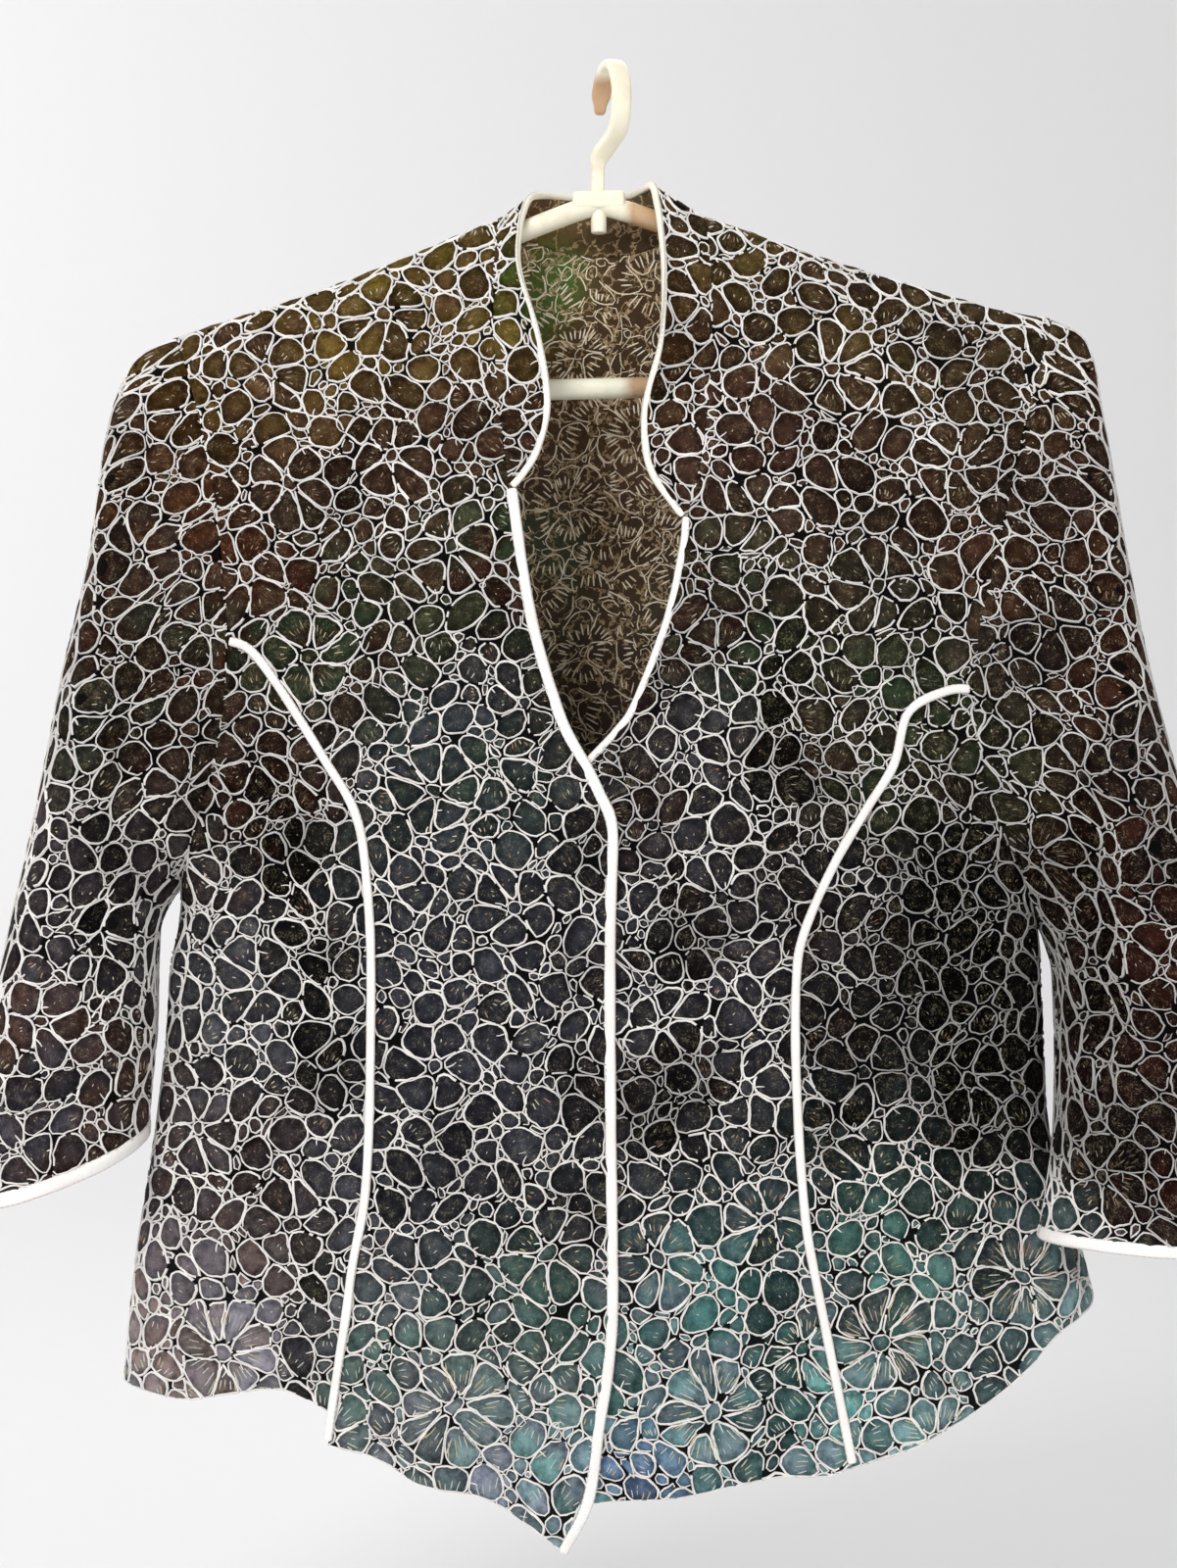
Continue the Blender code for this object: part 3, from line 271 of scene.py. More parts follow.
# The large folds, and then the finer creases that only the dressed cloth has
FOLDS = tuple(
    Fold(*row)
    for row in (
        (Face.FRONT, -164, -300, -127, -500, 14, -7, False),
        (Face.FRONT, -184, -330, -180, -560, 15, 4, False),
        (Face.FRONT, -75, -290, -62, -470, 20, 3, False),
        (Face.FRONT, -34, -380, -30, -640, 12, 3.5, True),
        (Face.FRONT, 84, -240, 70, -400, 13, -5, False),
        (Face.FRONT, 34, -350, 22, -545, 12, -4, False),
        (Face.FRONT, 60, -370, 52, -540, 12, 3, False),
        (Face.FRONT, 168, -330, 160, -540, 18, -7, False),
        (Face.FRONT, 130, -420, 126, -560, 14, 4, False),
        (Face.FRONT, -100, -140, -130, -235, 18, -3, False),
        (Face.FRONT, 95, -135, 120, -230, 18, -3, False),
        (Face.FRONT, -185, -500, -178, -690, 20, 5, True),
        (Face.FRONT, -140, -520, -146, -690, 16, -5, True),
        (Face.FRONT, -82, -520, -74, -690, 20, 5, True),
        (Face.FRONT, 22, -540, 34, -690, 16, 5, True),
        (Face.FRONT, 72, -520, 76, -690, 14, -5, True),
        (Face.FRONT, 128, -540, 142, -690, 18, 6, True),
        (Face.FRONT, 176, -500, 186, -690, 16, -4, True),
        (Face.BACK, -130, -160, -150, -300, 22, -4, False),
        (Face.BACK, 118, -150, 150, -290, 20, -4, False),
        (Face.BACK, -20, -200, -32, -430, 24, 3, False),
        (Face.BACK, -150, -330, -120, -520, 16, -6, False),
        (Face.BACK, 148, -350, 128, -540, 17, -6, False),
        (Face.BACK, 48, -300, 40, -500, 15, -4, False),
        (Face.BACK, -170, -480, -176, -690, 20, 5, True),
        (Face.BACK, -92, -500, -88, -690, 18, -5, True),
        (Face.BACK, -30, -480, -22, -690, 20, 6, True),
        (Face.BACK, 52, -520, 60, -690, 17, -5, True),
        (Face.BACK, 120, -500, 134, -690, 20, 6, True),
        (Face.FRONT, -193, -262, -150, -330, 7, -2.2, False),
        (Face.FRONT, -160, -240, -96, -290, 8, -1.6, False),
        (Face.FRONT, -172, -350, -140, -400, 6, -1.8, False),
        (Face.FRONT, -100, -395, -78, -520, 7, -1.6, False),
        (Face.FRONT, -60, -215, -44, -330, 7, -1.5, False),
        (Face.FRONT, -22, -350, -16, -560, 5, -1.6, False),
        (Face.FRONT, 14, -380, 8, -520, 5, 1.4, False),
        (Face.FRONT, 86, -275, 64, -350, 6, -2.2, False),
        (Face.FRONT, 106, -250, 92, -330, 6, 1.6, False),
        (Face.FRONT, 150, -345, 132, -430, 7, -2.2, False),
        (Face.FRONT, 190, -400, 176, -520, 6, -2.0, False),
        (Face.FRONT, 112, -430, 108, -520, 5, -1.5, False),
        (Face.FRONT, -118, -560, -112, -650, 6, -1.6, True),
        (Face.FRONT, 150, -585, 158, -690, 7, -1.8, True),
        (Face.FRONT, 48, -580, 52, -690, 6, -1.6, True),
        (Face.FRONT, -50, -560, -44, -690, 7, -1.8, True),
        (Face.BACK, -190, -255, -140, -330, 8, -2.2, False),
        (Face.BACK, 186, -250, 132, -330, 8, -2.2, False),
        (Face.BACK, -60, -110, -72, -220, 9, -1.8, False),
        (Face.BACK, 58, -108, 76, -210, 9, -1.8, False),
        (Face.BACK, 6, -330, 0, -470, 8, -1.8, False),
        (Face.BACK, -96, -400, -84, -520, 7, 1.6, False),
        (Face.BACK, 92, -410, 82, -530, 7, -1.6, False),
        (Face.BACK, -136, -560, -140, -690, 8, -1.8, True),
        (Face.BACK, 14, -560, 20, -690, 8, -1.8, True),
        (Face.BACK, 88, -570, 94, -690, 7, 1.8, True),
    )
)
SLEEVE = {
    Side.RIGHT: (
        SleeveRing(-206, -128, -204.4, -390, 36, 30, 0, 0),
        SleeveRing(-226.5, -140, -211, -399, 43, 36, 0, 0),
        SleeveRing(-237.5, -170, -216, -411, 47, 40, -1, 0),
        SleeveRing(-245.5, -228, -217, -427, 49, 43, -2, 0),
        SleeveRing(-258, -284, -217, -442, 50, 45, -3, 0),
        SleeveRing(-269, -340, -217, -458, 48, 45, -4, 1),
        SleeveRing(-285, -415, -218, -476, 45, 42, -7, 3),
        SleeveRing(-300, -482, -219, -493, 40, 39, -10, 6),
        SleeveRing(-313, -537, -219, -507, 37, 36, -12, 9),
    ),
    Side.LEFT: (
        SleeveRing(209, -120, 202.9, -408, 36, 30, 0, 0),
        SleeveRing(226, -131, 208.5, -419, 43, 36, 0, 0),
        SleeveRing(233, -168, 212, -433, 47, 40, -2, 0),
        SleeveRing(242.5, -228, 212.5, -448, 49, 43, -5, 0),
        SleeveRing(252.5, -284, 212, -463, 50, 45, -10, 0),
        SleeveRing(265, -340, 210, -483, 48, 45, -20, 0),
        SleeveRing(281, -415, 207, -506, 44, 42, -30, 0),
        SleeveRing(298, -490, 202, -529, 40, 39, -40, 0),
        SleeveRing(311.5, -556, 197, -549, 37, 37, -46, 0),
    ),
}
SLEEVE_CREASES = {
    Side.RIGHT: tuple(
        Crease(*row)
        for row in (
            (0.10, 100, 0.85, 118, 12, -4), (0.30, 60, 0.95, 55, 15, 3), (0.35, 150, 0.70, 92, 9, -3),
            (0.15, 262, 0.90, 248, 13, -4), (0.35, 305, 0.95, 312, 14, 3),
            (0.42, 40, 0.66, 84, 6, -1.8), (0.48, 128, 0.74, 70, 6, -2), (0.62, 132, 0.90, 96, 6, 1.6),
            (0.12, 55, 0.40, 82, 7, -1.6), (0.44, 224, 0.72, 286, 7, -2), (0.60, 300, 0.85, 258, 6, -1.6),
        )
    ),
    Side.LEFT: tuple(
        Crease(*row)
        for row in (
            (0.12, 112, 0.80, 124, 11, -5), (0.28, 66, 0.92, 62, 15, 3), (0.45, 152, 0.75, 96, 9, -3),
            (0.15, 252, 0.90, 262, 13, -4), (0.35, 300, 0.95, 296, 14, 3),
            (0.40, 48, 0.62, 90, 6, -1.8), (0.52, 134, 0.80, 74, 6, -2), (0.64, 60, 0.92, 88, 6, 1.6),
            (0.10, 74, 0.36, 92, 7, -1.6), (0.46, 232, 0.74, 290, 7, -2), (0.58, 306, 0.86, 262, 6, -1.6),
        )
    ),
}


def table_value(rows: Sequence[Any], key: str, column: str, at: Any) -> np.ndarray:
    """Smoothly reads a column of a table whose rows rise in the key column.

    Args:
        rows: The table.
        key: The column that rises.
        column: The column to read.
        at: One place or many, in the key's unit.

    Returns:
        The values at those places.
    """
    return smooth_value([getattr(row, key) for row in rows], [getattr(row, column) for row in rows], at)


def smooth_value(keys: Sequence[float], values: Sequence[float], at: Any) -> np.ndarray:
    """Smoothly reads values between rising keys.

    Args:
        keys: The keys.
        values: A value for each.
        at: One place or many, in the keys' unit.

    Returns:
        The values at those places.
    """
    keys, values = np.array(keys, float), np.array(values, float)
    before = np.maximum(np.arange(len(keys)) - 1, 0)
    after = np.minimum(np.arange(len(keys)) + 1, len(keys) - 1)
    slopes = (values[after] - values[before]) / (keys[after] - keys[before])
    at = np.clip(at, keys[0], keys[-1])
    low = np.clip(np.searchsorted(keys, at, side="right") - 1, 0, len(keys) - 2)
    span = keys[low + 1] - keys[low]
    t = (at - keys[low]) / span
    return (
        (2 * t**3 - 3 * t**2 + 1) * values[low]
        + (t**3 - 2 * t**2 + t) * slopes[low] * span
        + (3 * t**2 - 2 * t**3) * values[low + 1]
        + (t**3 - t**2) * slopes[low + 1] * span
    )


def smooth_step(value: Any) -> np.ndarray:
    """Goes smoothly from 0 to 1 as the value does."""
    value = np.clip(value, 0.0, 1.0)
    return value * value * (3 - 2 * value)


def smooth_curve(points: Any, parts: int = 12) -> np.ndarray:
    """Returns a fine curve through the points, with that many parts between two of them.

    Args:
        points: The points.
        parts: How many parts lie between two points.

    Returns:
        The finer points.
    """
    points = np.asarray(points, float)
    padded = np.concatenate([[2 * points[0] - points[1]], points, [2 * points[-1] - points[-2]]])
    t = (np.arange(parts) / parts).reshape((-1,) + (1,) * (points.ndim - 1))
    spans = [
        0.5 * (2 * b + (c - a) * t + (2 * a - 5 * b + 4 * c - d) * t**2 + (3 * b - 3 * c + d - a) * t**3)
        for a, b, c, d in zip(padded, padded[1:], padded[2:], padded[3:])
    ]
    return np.concatenate(spans + [points[-1:]])


def run_lengths(points: np.ndarray) -> np.ndarray:
    """Returns the distance along a line of points at each of them."""
    return np.concatenate([[0.0], np.cumsum(np.linalg.norm(np.diff(points, axis=0), axis=1))])


def even_points(points: Any, steps: int) -> np.ndarray:
    """Places steps + 1 points evenly along the smooth curve through the given ones.

    Args:
        points: The points.
        steps: How many steps it has.

    Returns:
        The even points.
    """
    fine = smooth_curve(points)
    lengths = run_lengths(fine)
    at = np.linspace(0, lengths[-1], steps + 1)
    return np.stack([np.interp(at, lengths, column) for column in fine.T], axis=1)


def moved_aside(points: np.ndarray, distance: float) -> np.ndarray:
    """Moves a line of (x, z) points to the left of its direction by a distance.

    Args:
        points: The points.
        distance: How far it moves.

    Returns:
        The moved line.
    """
    padded = np.concatenate([points[:1], points, points[-1:]])
    along = padded[2:] - padded[:-2]
    along /= np.linalg.norm(along, axis=1)[:, None]
    return points + distance * np.stack([-along[:, 1], along[:, 0]], axis=1)


def unit(vectors: np.ndarray) -> np.ndarray:
    """Returns the vectors at length 1."""
    return vectors / np.maximum(np.linalg.norm(vectors, axis=-1, keepdims=True), 1e-9)


@dataclass(frozen=True)
class Skin:
    """The smooth surface that the body's cloth follows, as it hangs on the arms of the hanger."""

    ridge_radius: float = 7.0
    opening_rate: float = 0.2
    power: float = 2.5
    lap_lift: float = 1.65
    lap_width: float = 45.0
    lap_top: float = -285.0
    lap_full: float = -322.0
    lap_centre: float = -4.0
    side_angle: float = math.pi / 2 - math.radians(0.12)
    ridge_drop: float = 0.012

    def outline(self, z: Any) -> tuple[np.ndarray, np.ndarray]:
        """Returns the middle and the half width at a height.

        Args:
            z: The height, one or many.

        Returns:
            The middle and the half width.
        """
        right = table_value(BODY_LEVELS, "z", "right", z)
        left = table_value(BODY_LEVELS, "z", "left", z)
        return (left + right) / 2, (left - right) / 2

    def fold_rise(self, x: np.ndarray, z: np.ndarray, face: Face) -> np.ndarray:
        """Returns how far the folds push the cloth out at places.

        Args:
            x: The place across, one or many.
            z: The height, one or many.
            face: The front or the back.

        Returns:
            The rise at each place.
        """
        total = np.zeros(np.broadcast(x, z).shape)
        for fold in FOLDS:
            if fold.face is not face:
                continue
            run_x, run_z = fold.x_low - fold.x_top, fold.z_low - fold.z_top
            length = run_x**2 + run_z**2
            along = ((x - fold.x_top) * run_x + (z - fold.z_top) * run_z) / length
            across = ((x - fold.x_top) * run_z - (z - fold.z_top) * run_x) / math.sqrt(length)
            fade = smooth_step(along / 0.3)
            if not fold.to_hem:
                fade = fade * smooth_step((1 - along) / 0.3)
            total += fold.rise * fade * np.exp(-((across / fold.half_width) ** 2))
        return total

    def points(self, places: np.ndarray, face: Face, lap: int = 0) -> np.ndarray:
        """Returns the middle of the cloth at (x, z) places.

        Args:
            places: An array whose last axis is x, z.
            face: Front or back.
            lap: 1 on the outer front, -1 on the inner one, 0 elsewhere.

        Returns:
            An array of the same shape whose last axis is x, y, z.
        """
        x, z = places[..., 0], places[..., 1]
        middle, half = self.outline(z)
        across = np.minimum(1.0, np.abs(x - middle) / half)
        roundness = np.sqrt(np.maximum(0.0, 1 - across**self.power))
        drop = np.maximum(table_value(SHOULDER_LINE, "x", "z", x) - z, 0.0)
        full = np.maximum(table_value(BODY_LEVELS, "z", face.value, z) * roundness, 1e-6)
        opened = np.sqrt(2 * self.ridge_radius * drop + (self.opening_rate * drop) ** 2)
        depth = full * np.tanh(opened / full)
        depth = depth + self.fold_rise(x, z, face) * roundness * smooth_step(drop / 60)
        near = 1 - smooth_step(np.abs(x - self.lap_centre) / self.lap_width)
        below = smooth_step((self.lap_top - z) / (self.lap_top - self.lap_full))
        depth = depth + lap * self.lap_lift * near * below
        return np.stack([x, -depth if face is Face.FRONT else depth, z], axis=-1)

    def on_ridge(self, x: float) -> np.ndarray:
        """Returns the (x, z) of the shoulder seam at an x."""
        return np.array([x, float(table_value(SHOULDER_LINE, "x", "z", x)) - self.ridge_drop])

    def to_angles(self, line: np.ndarray) -> np.ndarray:
        """Turns (x, z) points into (angle round the body, z) ones.

        Args:
            line: The line's (x, z) points.

        Returns:
            The (angle, z) points.
        """
        middle, half = self.outline(line[:, 1])
        angles = np.arcsin(np.clip((line[:, 0] - middle) / half, -1, 1))
        return np.stack([np.clip(angles, -self.side_angle, self.side_angle), line[:, 1]], axis=1)

    def patch(self, start: np.ndarray, end: np.ndarray, top: np.ndarray, bottom: np.ndarray) -> np.ndarray:
        """Fills the space between four border lines with a grid of (x, z) places.

        Args:
            start: The border at the first column, from the top down.
            end: The border at the last column, from the top down.
            top: The first row.
            bottom: The last row.

        Returns:
            An array of rows by columns by 2.
        """
        borders = (np.asarray(line, float) for line in (start, end, top, bottom))
        start, end, top, bottom = (self.to_angles(line) for line in borders)
        v = np.linspace(0, 1, len(start))[:, None, None]
        u = np.linspace(0, 1, len(top))[None, :, None]
        corners = (1 - v) * ((1 - u) * top[0] + u * top[-1]) + v * ((1 - u) * bottom[0] + u * bottom[-1])
        place = (1 - v) * top[None] + v * bottom[None] + (1 - u) * start[:, None] + u * end[:, None] - corners
        middle, half = self.outline(place[..., 1])
        return np.stack([middle + half * np.sin(place[..., 0]), place[..., 1]], axis=-1)


SKIN = Skin()
FRONT_BINDING = {Side.RIGHT: Binding(5.4, 2.8), Side.LEFT: Binding(3.6, 2.5)}
COLLAR_BINDING = Binding(3.6, 2.5)
PRINCESS_BINDING = Binding(4.3, 2.4)
CUFF_BINDING = {Side.RIGHT: Binding(7.4, 3.0), Side.LEFT: Binding(6.2, 3.0)}


@dataclass(frozen=True)
class Cut:
    """The lines along which the cloth is cut and sewn."""

    princess_steps: int = 20
    armhole_upper: int = 8
    neck_steps: int = 9
    edge_steps: int = 10
    centre_columns: int = 10
    side_columns: int = 7
    shoulder_columns: int = 7
    side_corner: float = 4.0
    tuck: float = 1.0

    def armhole_steps(self, side: Side) -> int:
        """Returns the number of steps down an armhole."""
        return 15 if side is Side.RIGHT else 14

    def armhole(self, side: Side, face: Face, steps: int) -> np.ndarray:
        """Returns the armhole as (x, z) points from the shoulder to the underarm.

        Args:
            side: The wearer's side.
            face: The front or the back.
            steps: How many steps it has.

        Returns:
            The line.
        """
        rows = ARMHOLE[side]
        turn = (1 - np.cos(np.pi * np.arange(steps + 1) / steps)) / 2
        z = rows[-1].z + (rows[0].z - rows[-1].z) * turn
        return np.stack([table_value(rows, "z", face.value, z), z], axis=1)

    def princess(self, side: Side, steps: int) -> np.ndarray:
        """Returns the princess seam from the armhole to the hem."""
        start = self.armhole(side, Face.FRONT, self.armhole_steps(side))[self.armhole_upper]
        return even_points([start, *PRINCESS_LINE[side][1:]], steps)

    def side_seam(self, side: Side, steps: int) -> np.ndarray:
        """Returns the side seam from the underarm to the hem.

        Args:
            side: The wearer's side.
            steps: How many steps it has.

        Returns:
            The line.
        """
        z = np.linspace(ARMHOLE[side][0].z, SIDE_HEM[side][0][1], steps + 1)
        middle, half = SKIN.outline(z)
        return np.stack([middle + side.sign * half, z], axis=1)

    def spaced(self, line: Any, steps: int) -> np.ndarray:
        """Places points along a line with even steps of the angle round the body.

        Args:
            line: The line's (x, z) points.
            steps: How many steps it has.

        Returns:
            The line.
        """
        fine = smooth_curve(line)
        angles = SKIN.to_angles(fine)[:, 0]
        wanted = np.linspace(angles[0], angles[-1], steps + 1)
        return fine[[int(np.argmin(np.abs(angles - angle))) for angle in wanted]]

    def inner_border(self, side: Side) -> np.ndarray:
        """Returns the border of a front's centre panel from the shoulder to the hem.

        Args:
            side: The wearer's side.

        Returns:
            The line.
        """
        stations = [s for s in COLLAR if s.face is not Face.BACK and s.seam_x * side.sign > 0]
        seam = [(s.seam_x, s.seam_z) for s in stations]
        if side is Side.RIGHT:
            seam.reverse()
        neck = even_points(NECKLINE[side], self.neck_steps)
        edge = np.concatenate([neck, even_points(FRONT_EDGE[side], self.edge_steps)[1:]])
        edge = moved_aside(edge, side.sign * (FRONT_BINDING[side].width / 2 - self.tuck))
        return np.concatenate([[SKIN.on_ridge(seam[0][0])], seam[1:], edge])

    def centre(self, side: Side) -> np.ndarray:
        """Returns the grid of a front's centre panel.

        Args:
            side: The wearer's side.

        Returns:
            The grid.
        """
        armhole = self.armhole(side, Face.FRONT, self.armhole_steps(side))
        outer = np.concatenate([armhole[: self.armhole_upper], self.princess(side, self.princess_steps)])
        inner = self.inner_border(side)
        outer[0] = SKIN.on_ridge(outer[0][0])
        across = np.linspace(outer[0][0], inner[0][0], self.centre_columns + 1)
        top = np.array([SKIN.on_ridge(x) for x in across])
        hem = self.spaced([outer[-1], *CENTRE_HEM[side][1:-1], inner[-1]], self.centre_columns)
        return SKIN.patch(outer, inner, top, hem)

    def side(self, side: Side) -> np.ndarray:
        """Returns the grid of a front's side panel.

        Args:
            side: The wearer's side.

        Returns:
            The grid.
        """
        princess = self.princess(side, self.princess_steps)
        lower = self.armhole(side, Face.FRONT, self.armhole_steps(side))[self.armhole_upper:]
        corner_z = lower[0][1] - self.side_corner
        lower[0] = (table_value(ARMHOLE[side], "z", "front", corner_z), corner_z)
        border = np.concatenate([lower[:-1], self.side_seam(side, self.princess_steps - len(lower) + 1)])
        inside = princess.copy()
        inside[0] = princess[0] + unit(princess[1] - princess[0]) * self.side_corner
        last = (SIDE_HEM[side][-1][1] - inside[-2][1]) / (inside[-1][1] - inside[-2][1])
        inside[-1] = inside[-2] + (inside[-1] - inside[-2]) * last
        top = np.linspace(border[0], inside[0], self.side_columns + 1)
        hem = self.spaced([border[-1], *SIDE_HEM[side][1:-1], inside[-1]], self.side_columns)
        return SKIN.patch(border, inside, top, hem)

    def back(self) -> np.ndarray:
        """Returns the grid of the back."""
        borders = {}
        for side in Side:
            steps = self.armhole_steps(side)
            armhole = self.armhole(side, Face.BACK, steps)
            seam = self.side_seam(side, self.armhole_upper + self.princess_steps - steps)
            borders[side] = np.concatenate([armhole[:-1], seam])
            borders[side][0] = SKIN.on_ridge(borders[side][0][0])
        neck = [(s.seam_x, s.seam_z) for s in COLLAR if s.face is not Face.FRONT]
        right = np.linspace(borders[Side.RIGHT][0][0], neck[0][0], self.shoulder_columns + 1)
        left = np.linspace(neck[-1][0], borders[Side.LEFT][0][0], self.shoulder_columns + 1)
        ridges = [[SKIN.on_ridge(x) for x in line] for line in (right, left)]
        top = np.array([*ridges[0], *neck[1:-1], *ridges[1]])
        hem = [borders[Side.RIGHT][-1], *BACK_HEM[1:-1], borders[Side.LEFT][-1]]
        return SKIN.patch(borders[Side.RIGHT], borders[Side.LEFT], top, self.spaced(hem, len(top) - 1))


CUT = Cut()


def refined(grid: np.ndarray, rows: int, columns: int) -> np.ndarray:
    """Returns a grid with that many parts for each of its rows and columns."""
    finer = smooth_curve(grid, rows)
    return smooth_curve(finer.swapaxes(0, 1), columns).swapaxes(0, 1)


class Srgb(NamedTuple):
    """A colour as it looks on a screen, from 0 to 255."""

    red: float
    green: float
    blue: float

    def linear(self) -> np.ndarray:
        """Returns the colour for a shader."""
        part = np.array(self, float) / 255
        return np.where(part <= 0.04045, part / 12.92, ((part + 0.055) / 1.055) ** 2.4)


class DyeAndShadeZone(NamedTuple):
    """A part of the printed ground, some parts painted shade: its middle, its reach and the two colours that mingle
    there.
    """

    x: float
    z: float
    reach: float
    first: Srgb
    second: Srgb


# The print of the ground in zones; the near-black zones marked below are painted shade.
DYE_AND_SHADE_ZONES = tuple(
    DyeAndShadeZone(x, z, reach, Srgb(*first), Srgb(*second))
    for x, z, reach, first, second in (
        (-150, -130, 75, (108, 88, 44), (84, 62, 48)),
        (-95, -110, 60, (108, 92, 44), (84, 64, 42)),
        (105, -112, 70, (82, 68, 40), (64, 48, 38)),
        (175, -140, 60, (70, 60, 38), (56, 40, 34)),
        (-105, -185, 70, (82, 60, 50), (58, 38, 32)),
        (80, -190, 80, (78, 58, 50), (64, 42, 36)),
        (-180, -225, 60, (70, 40, 30), (58, 46, 40)),
        (-130, -265, 60, (64, 36, 28), (48, 62, 46)),
        (-65, -240, 55, (46, 66, 46), (58, 34, 28)),
        (60, -245, 50, (46, 62, 46), (50, 36, 32)),
        (125, -230, 60, (66, 42, 34), (48, 50, 40)),
        (120, -300, 55, (48, 60, 44), (58, 50, 42)),
        (175, -320, 50, (44, 52, 38), (40, 34, 30)),
        (-70, -330, 70, (48, 62, 54), (62, 66, 72)),
        # Partly print, partly painted shade: the trough of the large fold on the right front.
        (-160, -350, 55, (36, 36, 34), (62, 36, 30)),
        (30, -345, 55, (60, 60, 66), (44, 34, 32)),
        (-60, -420, 85, (66, 68, 76), (50, 52, 58)),
        (-170, -440, 60, (80, 82, 88), (58, 58, 62)),
        (40, -430, 60, (62, 62, 70), (30, 24, 24)),
        (95, -400, 45, (34, 24, 22), (48, 48, 52)),
        # Painted shade: the shaded left side under the sleeve.
        (165, -420, 60, (10, 9, 9), (22, 20, 22)),
        # Painted shade: the trough of the large fold on the right front.
        (-130, -470, 32, (22, 16, 15), (34, 28, 28)),
        (-80, -510, 80, (60, 61, 68), (44, 44, 50)),
        (20, -500, 60, (56, 56, 62), (30, 25, 26)),
        (130, -490, 55, (40, 44, 46), (16, 14, 14)),
        (-185, -520, 60, (80, 76, 80), (62, 50, 50)),
        (-180, -595, 60, (104, 102, 110), (100, 88, 86)),
        (-90, -610, 70, (88, 90, 96), (68, 86, 82)),
        (-35, -575, 60, (62, 84, 78), (56, 60, 62)),
        (-45, -660, 45, (90, 126, 122), (108, 110, 124)),
        (60, -590, 75, (74, 112, 110), (80, 94, 100)),
        (14, -652, 26, (84, 98, 126), (84, 106, 114)),
        (85, -645, 50, (92, 128, 126), (102, 120, 126)),
        (128, -560, 60, (72, 104, 98), (44, 48, 48)),
        (190, -590, 60, (100, 122, 124), (84, 98, 102)),
        (-36, -104, 22, (58, 98, 44), (74, 56, 24)),
        (10, -140, 45, (62, 42, 18), (46, 30, 14)),
        (-34, -225, 26, (52, 74, 56), (50, 38, 26)),
        (8, -230, 36, (54, 34, 20), (34, 22, 14)),
        (-8, -300, 40, (50, 32, 26), (30, 20, 16)),
        (-225, -190, 70, (72, 48, 30), (52, 38, 34)),
        (-240, -300, 70, (58, 36, 30), (46, 50, 42)),
        (-245, -390, 65, (72, 68, 72), (46, 40, 44)),
        (-265, -480, 60, (70, 68, 76), (80, 60, 54)),
        (225, -190, 70, (62, 42, 32), (50, 36, 32)),
        (235, -300, 70, (62, 38, 30), (40, 32, 30)),
        (250, -400, 60, (52, 28, 24), (26, 18, 18)),
        (255, -500, 60, (22, 17, 18), (46, 24, 22)),
        # Painted shade: the shadow beside the front edge, the troughs of folds on both fronts and the shaded left
        # side under the sleeve.
        (-10, -375, 26, (24, 16, 16), (36, 24, 24)),
        (-10, -425, 26, (18, 12, 13), (34, 24, 26)),
        (-10, -480, 28, (16, 11, 12), (32, 24, 26)),
        (-10, -535, 26, (26, 26, 28), (36, 30, 34)),
        (-148, -365, 20, (16, 11, 10), (34, 20, 16)),
        (-128, -420, 20, (18, 12, 11), (34, 24, 22)),
        (96, -330, 22, (26, 16, 14), (40, 26, 22)),
        (100, -455, 20, (20, 13, 12), (34, 26, 26)),
        (178, -480, 40, (10, 9, 9), (24, 22, 24)),
        (206, -385, 24, (14, 9, 8), (34, 20, 17)),
    )
)


@dataclass(frozen=True)
class DyeAndShade:
    """The mottled print of the ground under the lace, with the shade that is painted into its near-black zones."""

    contrast: float = 2.8
    sharpness: float = 2.2
    chroma: float = 1.15
    darkest_cord_shade: float = 0.38
    full_ground: float = 0.042

    def mingle(self, x: np.ndarray, z: np.ndarray) -> np.ndarray:
        """Returns slow waves from 0 to 1 that choose between a zone's two colours.

        Args:
            x: The place across, one or many.
            z: The height, one or many.

        Returns:
            The share at each place.
        """
        wave = np.sin(x / 13.0 + 1.7 * np.sin(z / 31.0)) + np.sin(z / 11.0 + 1.9 * np.sin(x / 27.0 + 1))
        wave = wave + 0.8 * np.sin((x + z) / 19.0 + 0.6)
        return 1 / (1 + np.exp(-self.sharpness * wave))

    def light(self, points: np.ndarray) -> np.ndarray:
        """Returns how bright the cords are painted at places, from 0 to 1: painted shade dulls them where the ground
        is near black.
        """
        ground = self.colour(points[:, 0], points[:, 2]).mean(axis=-1)
        return self.darkest_cord_shade + (1 - self.darkest_cord_shade) * smooth_step(ground / self.full_ground)

    def colour(self, x: np.ndarray, z: np.ndarray, shift: Any = 0.0) -> np.ndarray:
        """Returns the linear colour of the ground at places, painted shade included.

        Args:
            x: Places across.
            z: Places up.
            shift: How far each place leans to its zone's second colour, from -1 to 1.

        Returns:
            An array with a last axis of red, green and blue.
        """
        total = np.zeros(x.shape + (3,))
        weights = np.zeros(x.shape + (1,))
        mingle = np.clip(self.mingle(x, z) + shift, 0, 1)[..., None]
        for zone in DYE_AND_SHADE_ZONES:
            near = ((x - zone.x) ** 2 + (z - zone.z) ** 2) / zone.reach**2
            weight = np.exp(-self.contrast * near)[..., None] + 1e-5
            total += weight * (zone.first.linear() * (1 - mingle) + zone.second.linear() * mingle)
            weights += weight
        mixed = total / weights
        grey = mixed.mean(axis=-1, keepdims=True)
        return np.maximum(grey + self.chroma * (mixed - grey), 0.0005)


DYE_AND_SHADE = DyeAndShade()


class Placed(NamedTuple):
    """Flat places put on the hung cloth: whether each is on the cut or past its hem, and the fold's rise there."""

    points: np.ndarray
    normals: np.ndarray
    inside: np.ndarray
    past_hem: np.ndarray
    rise: np.ndarray


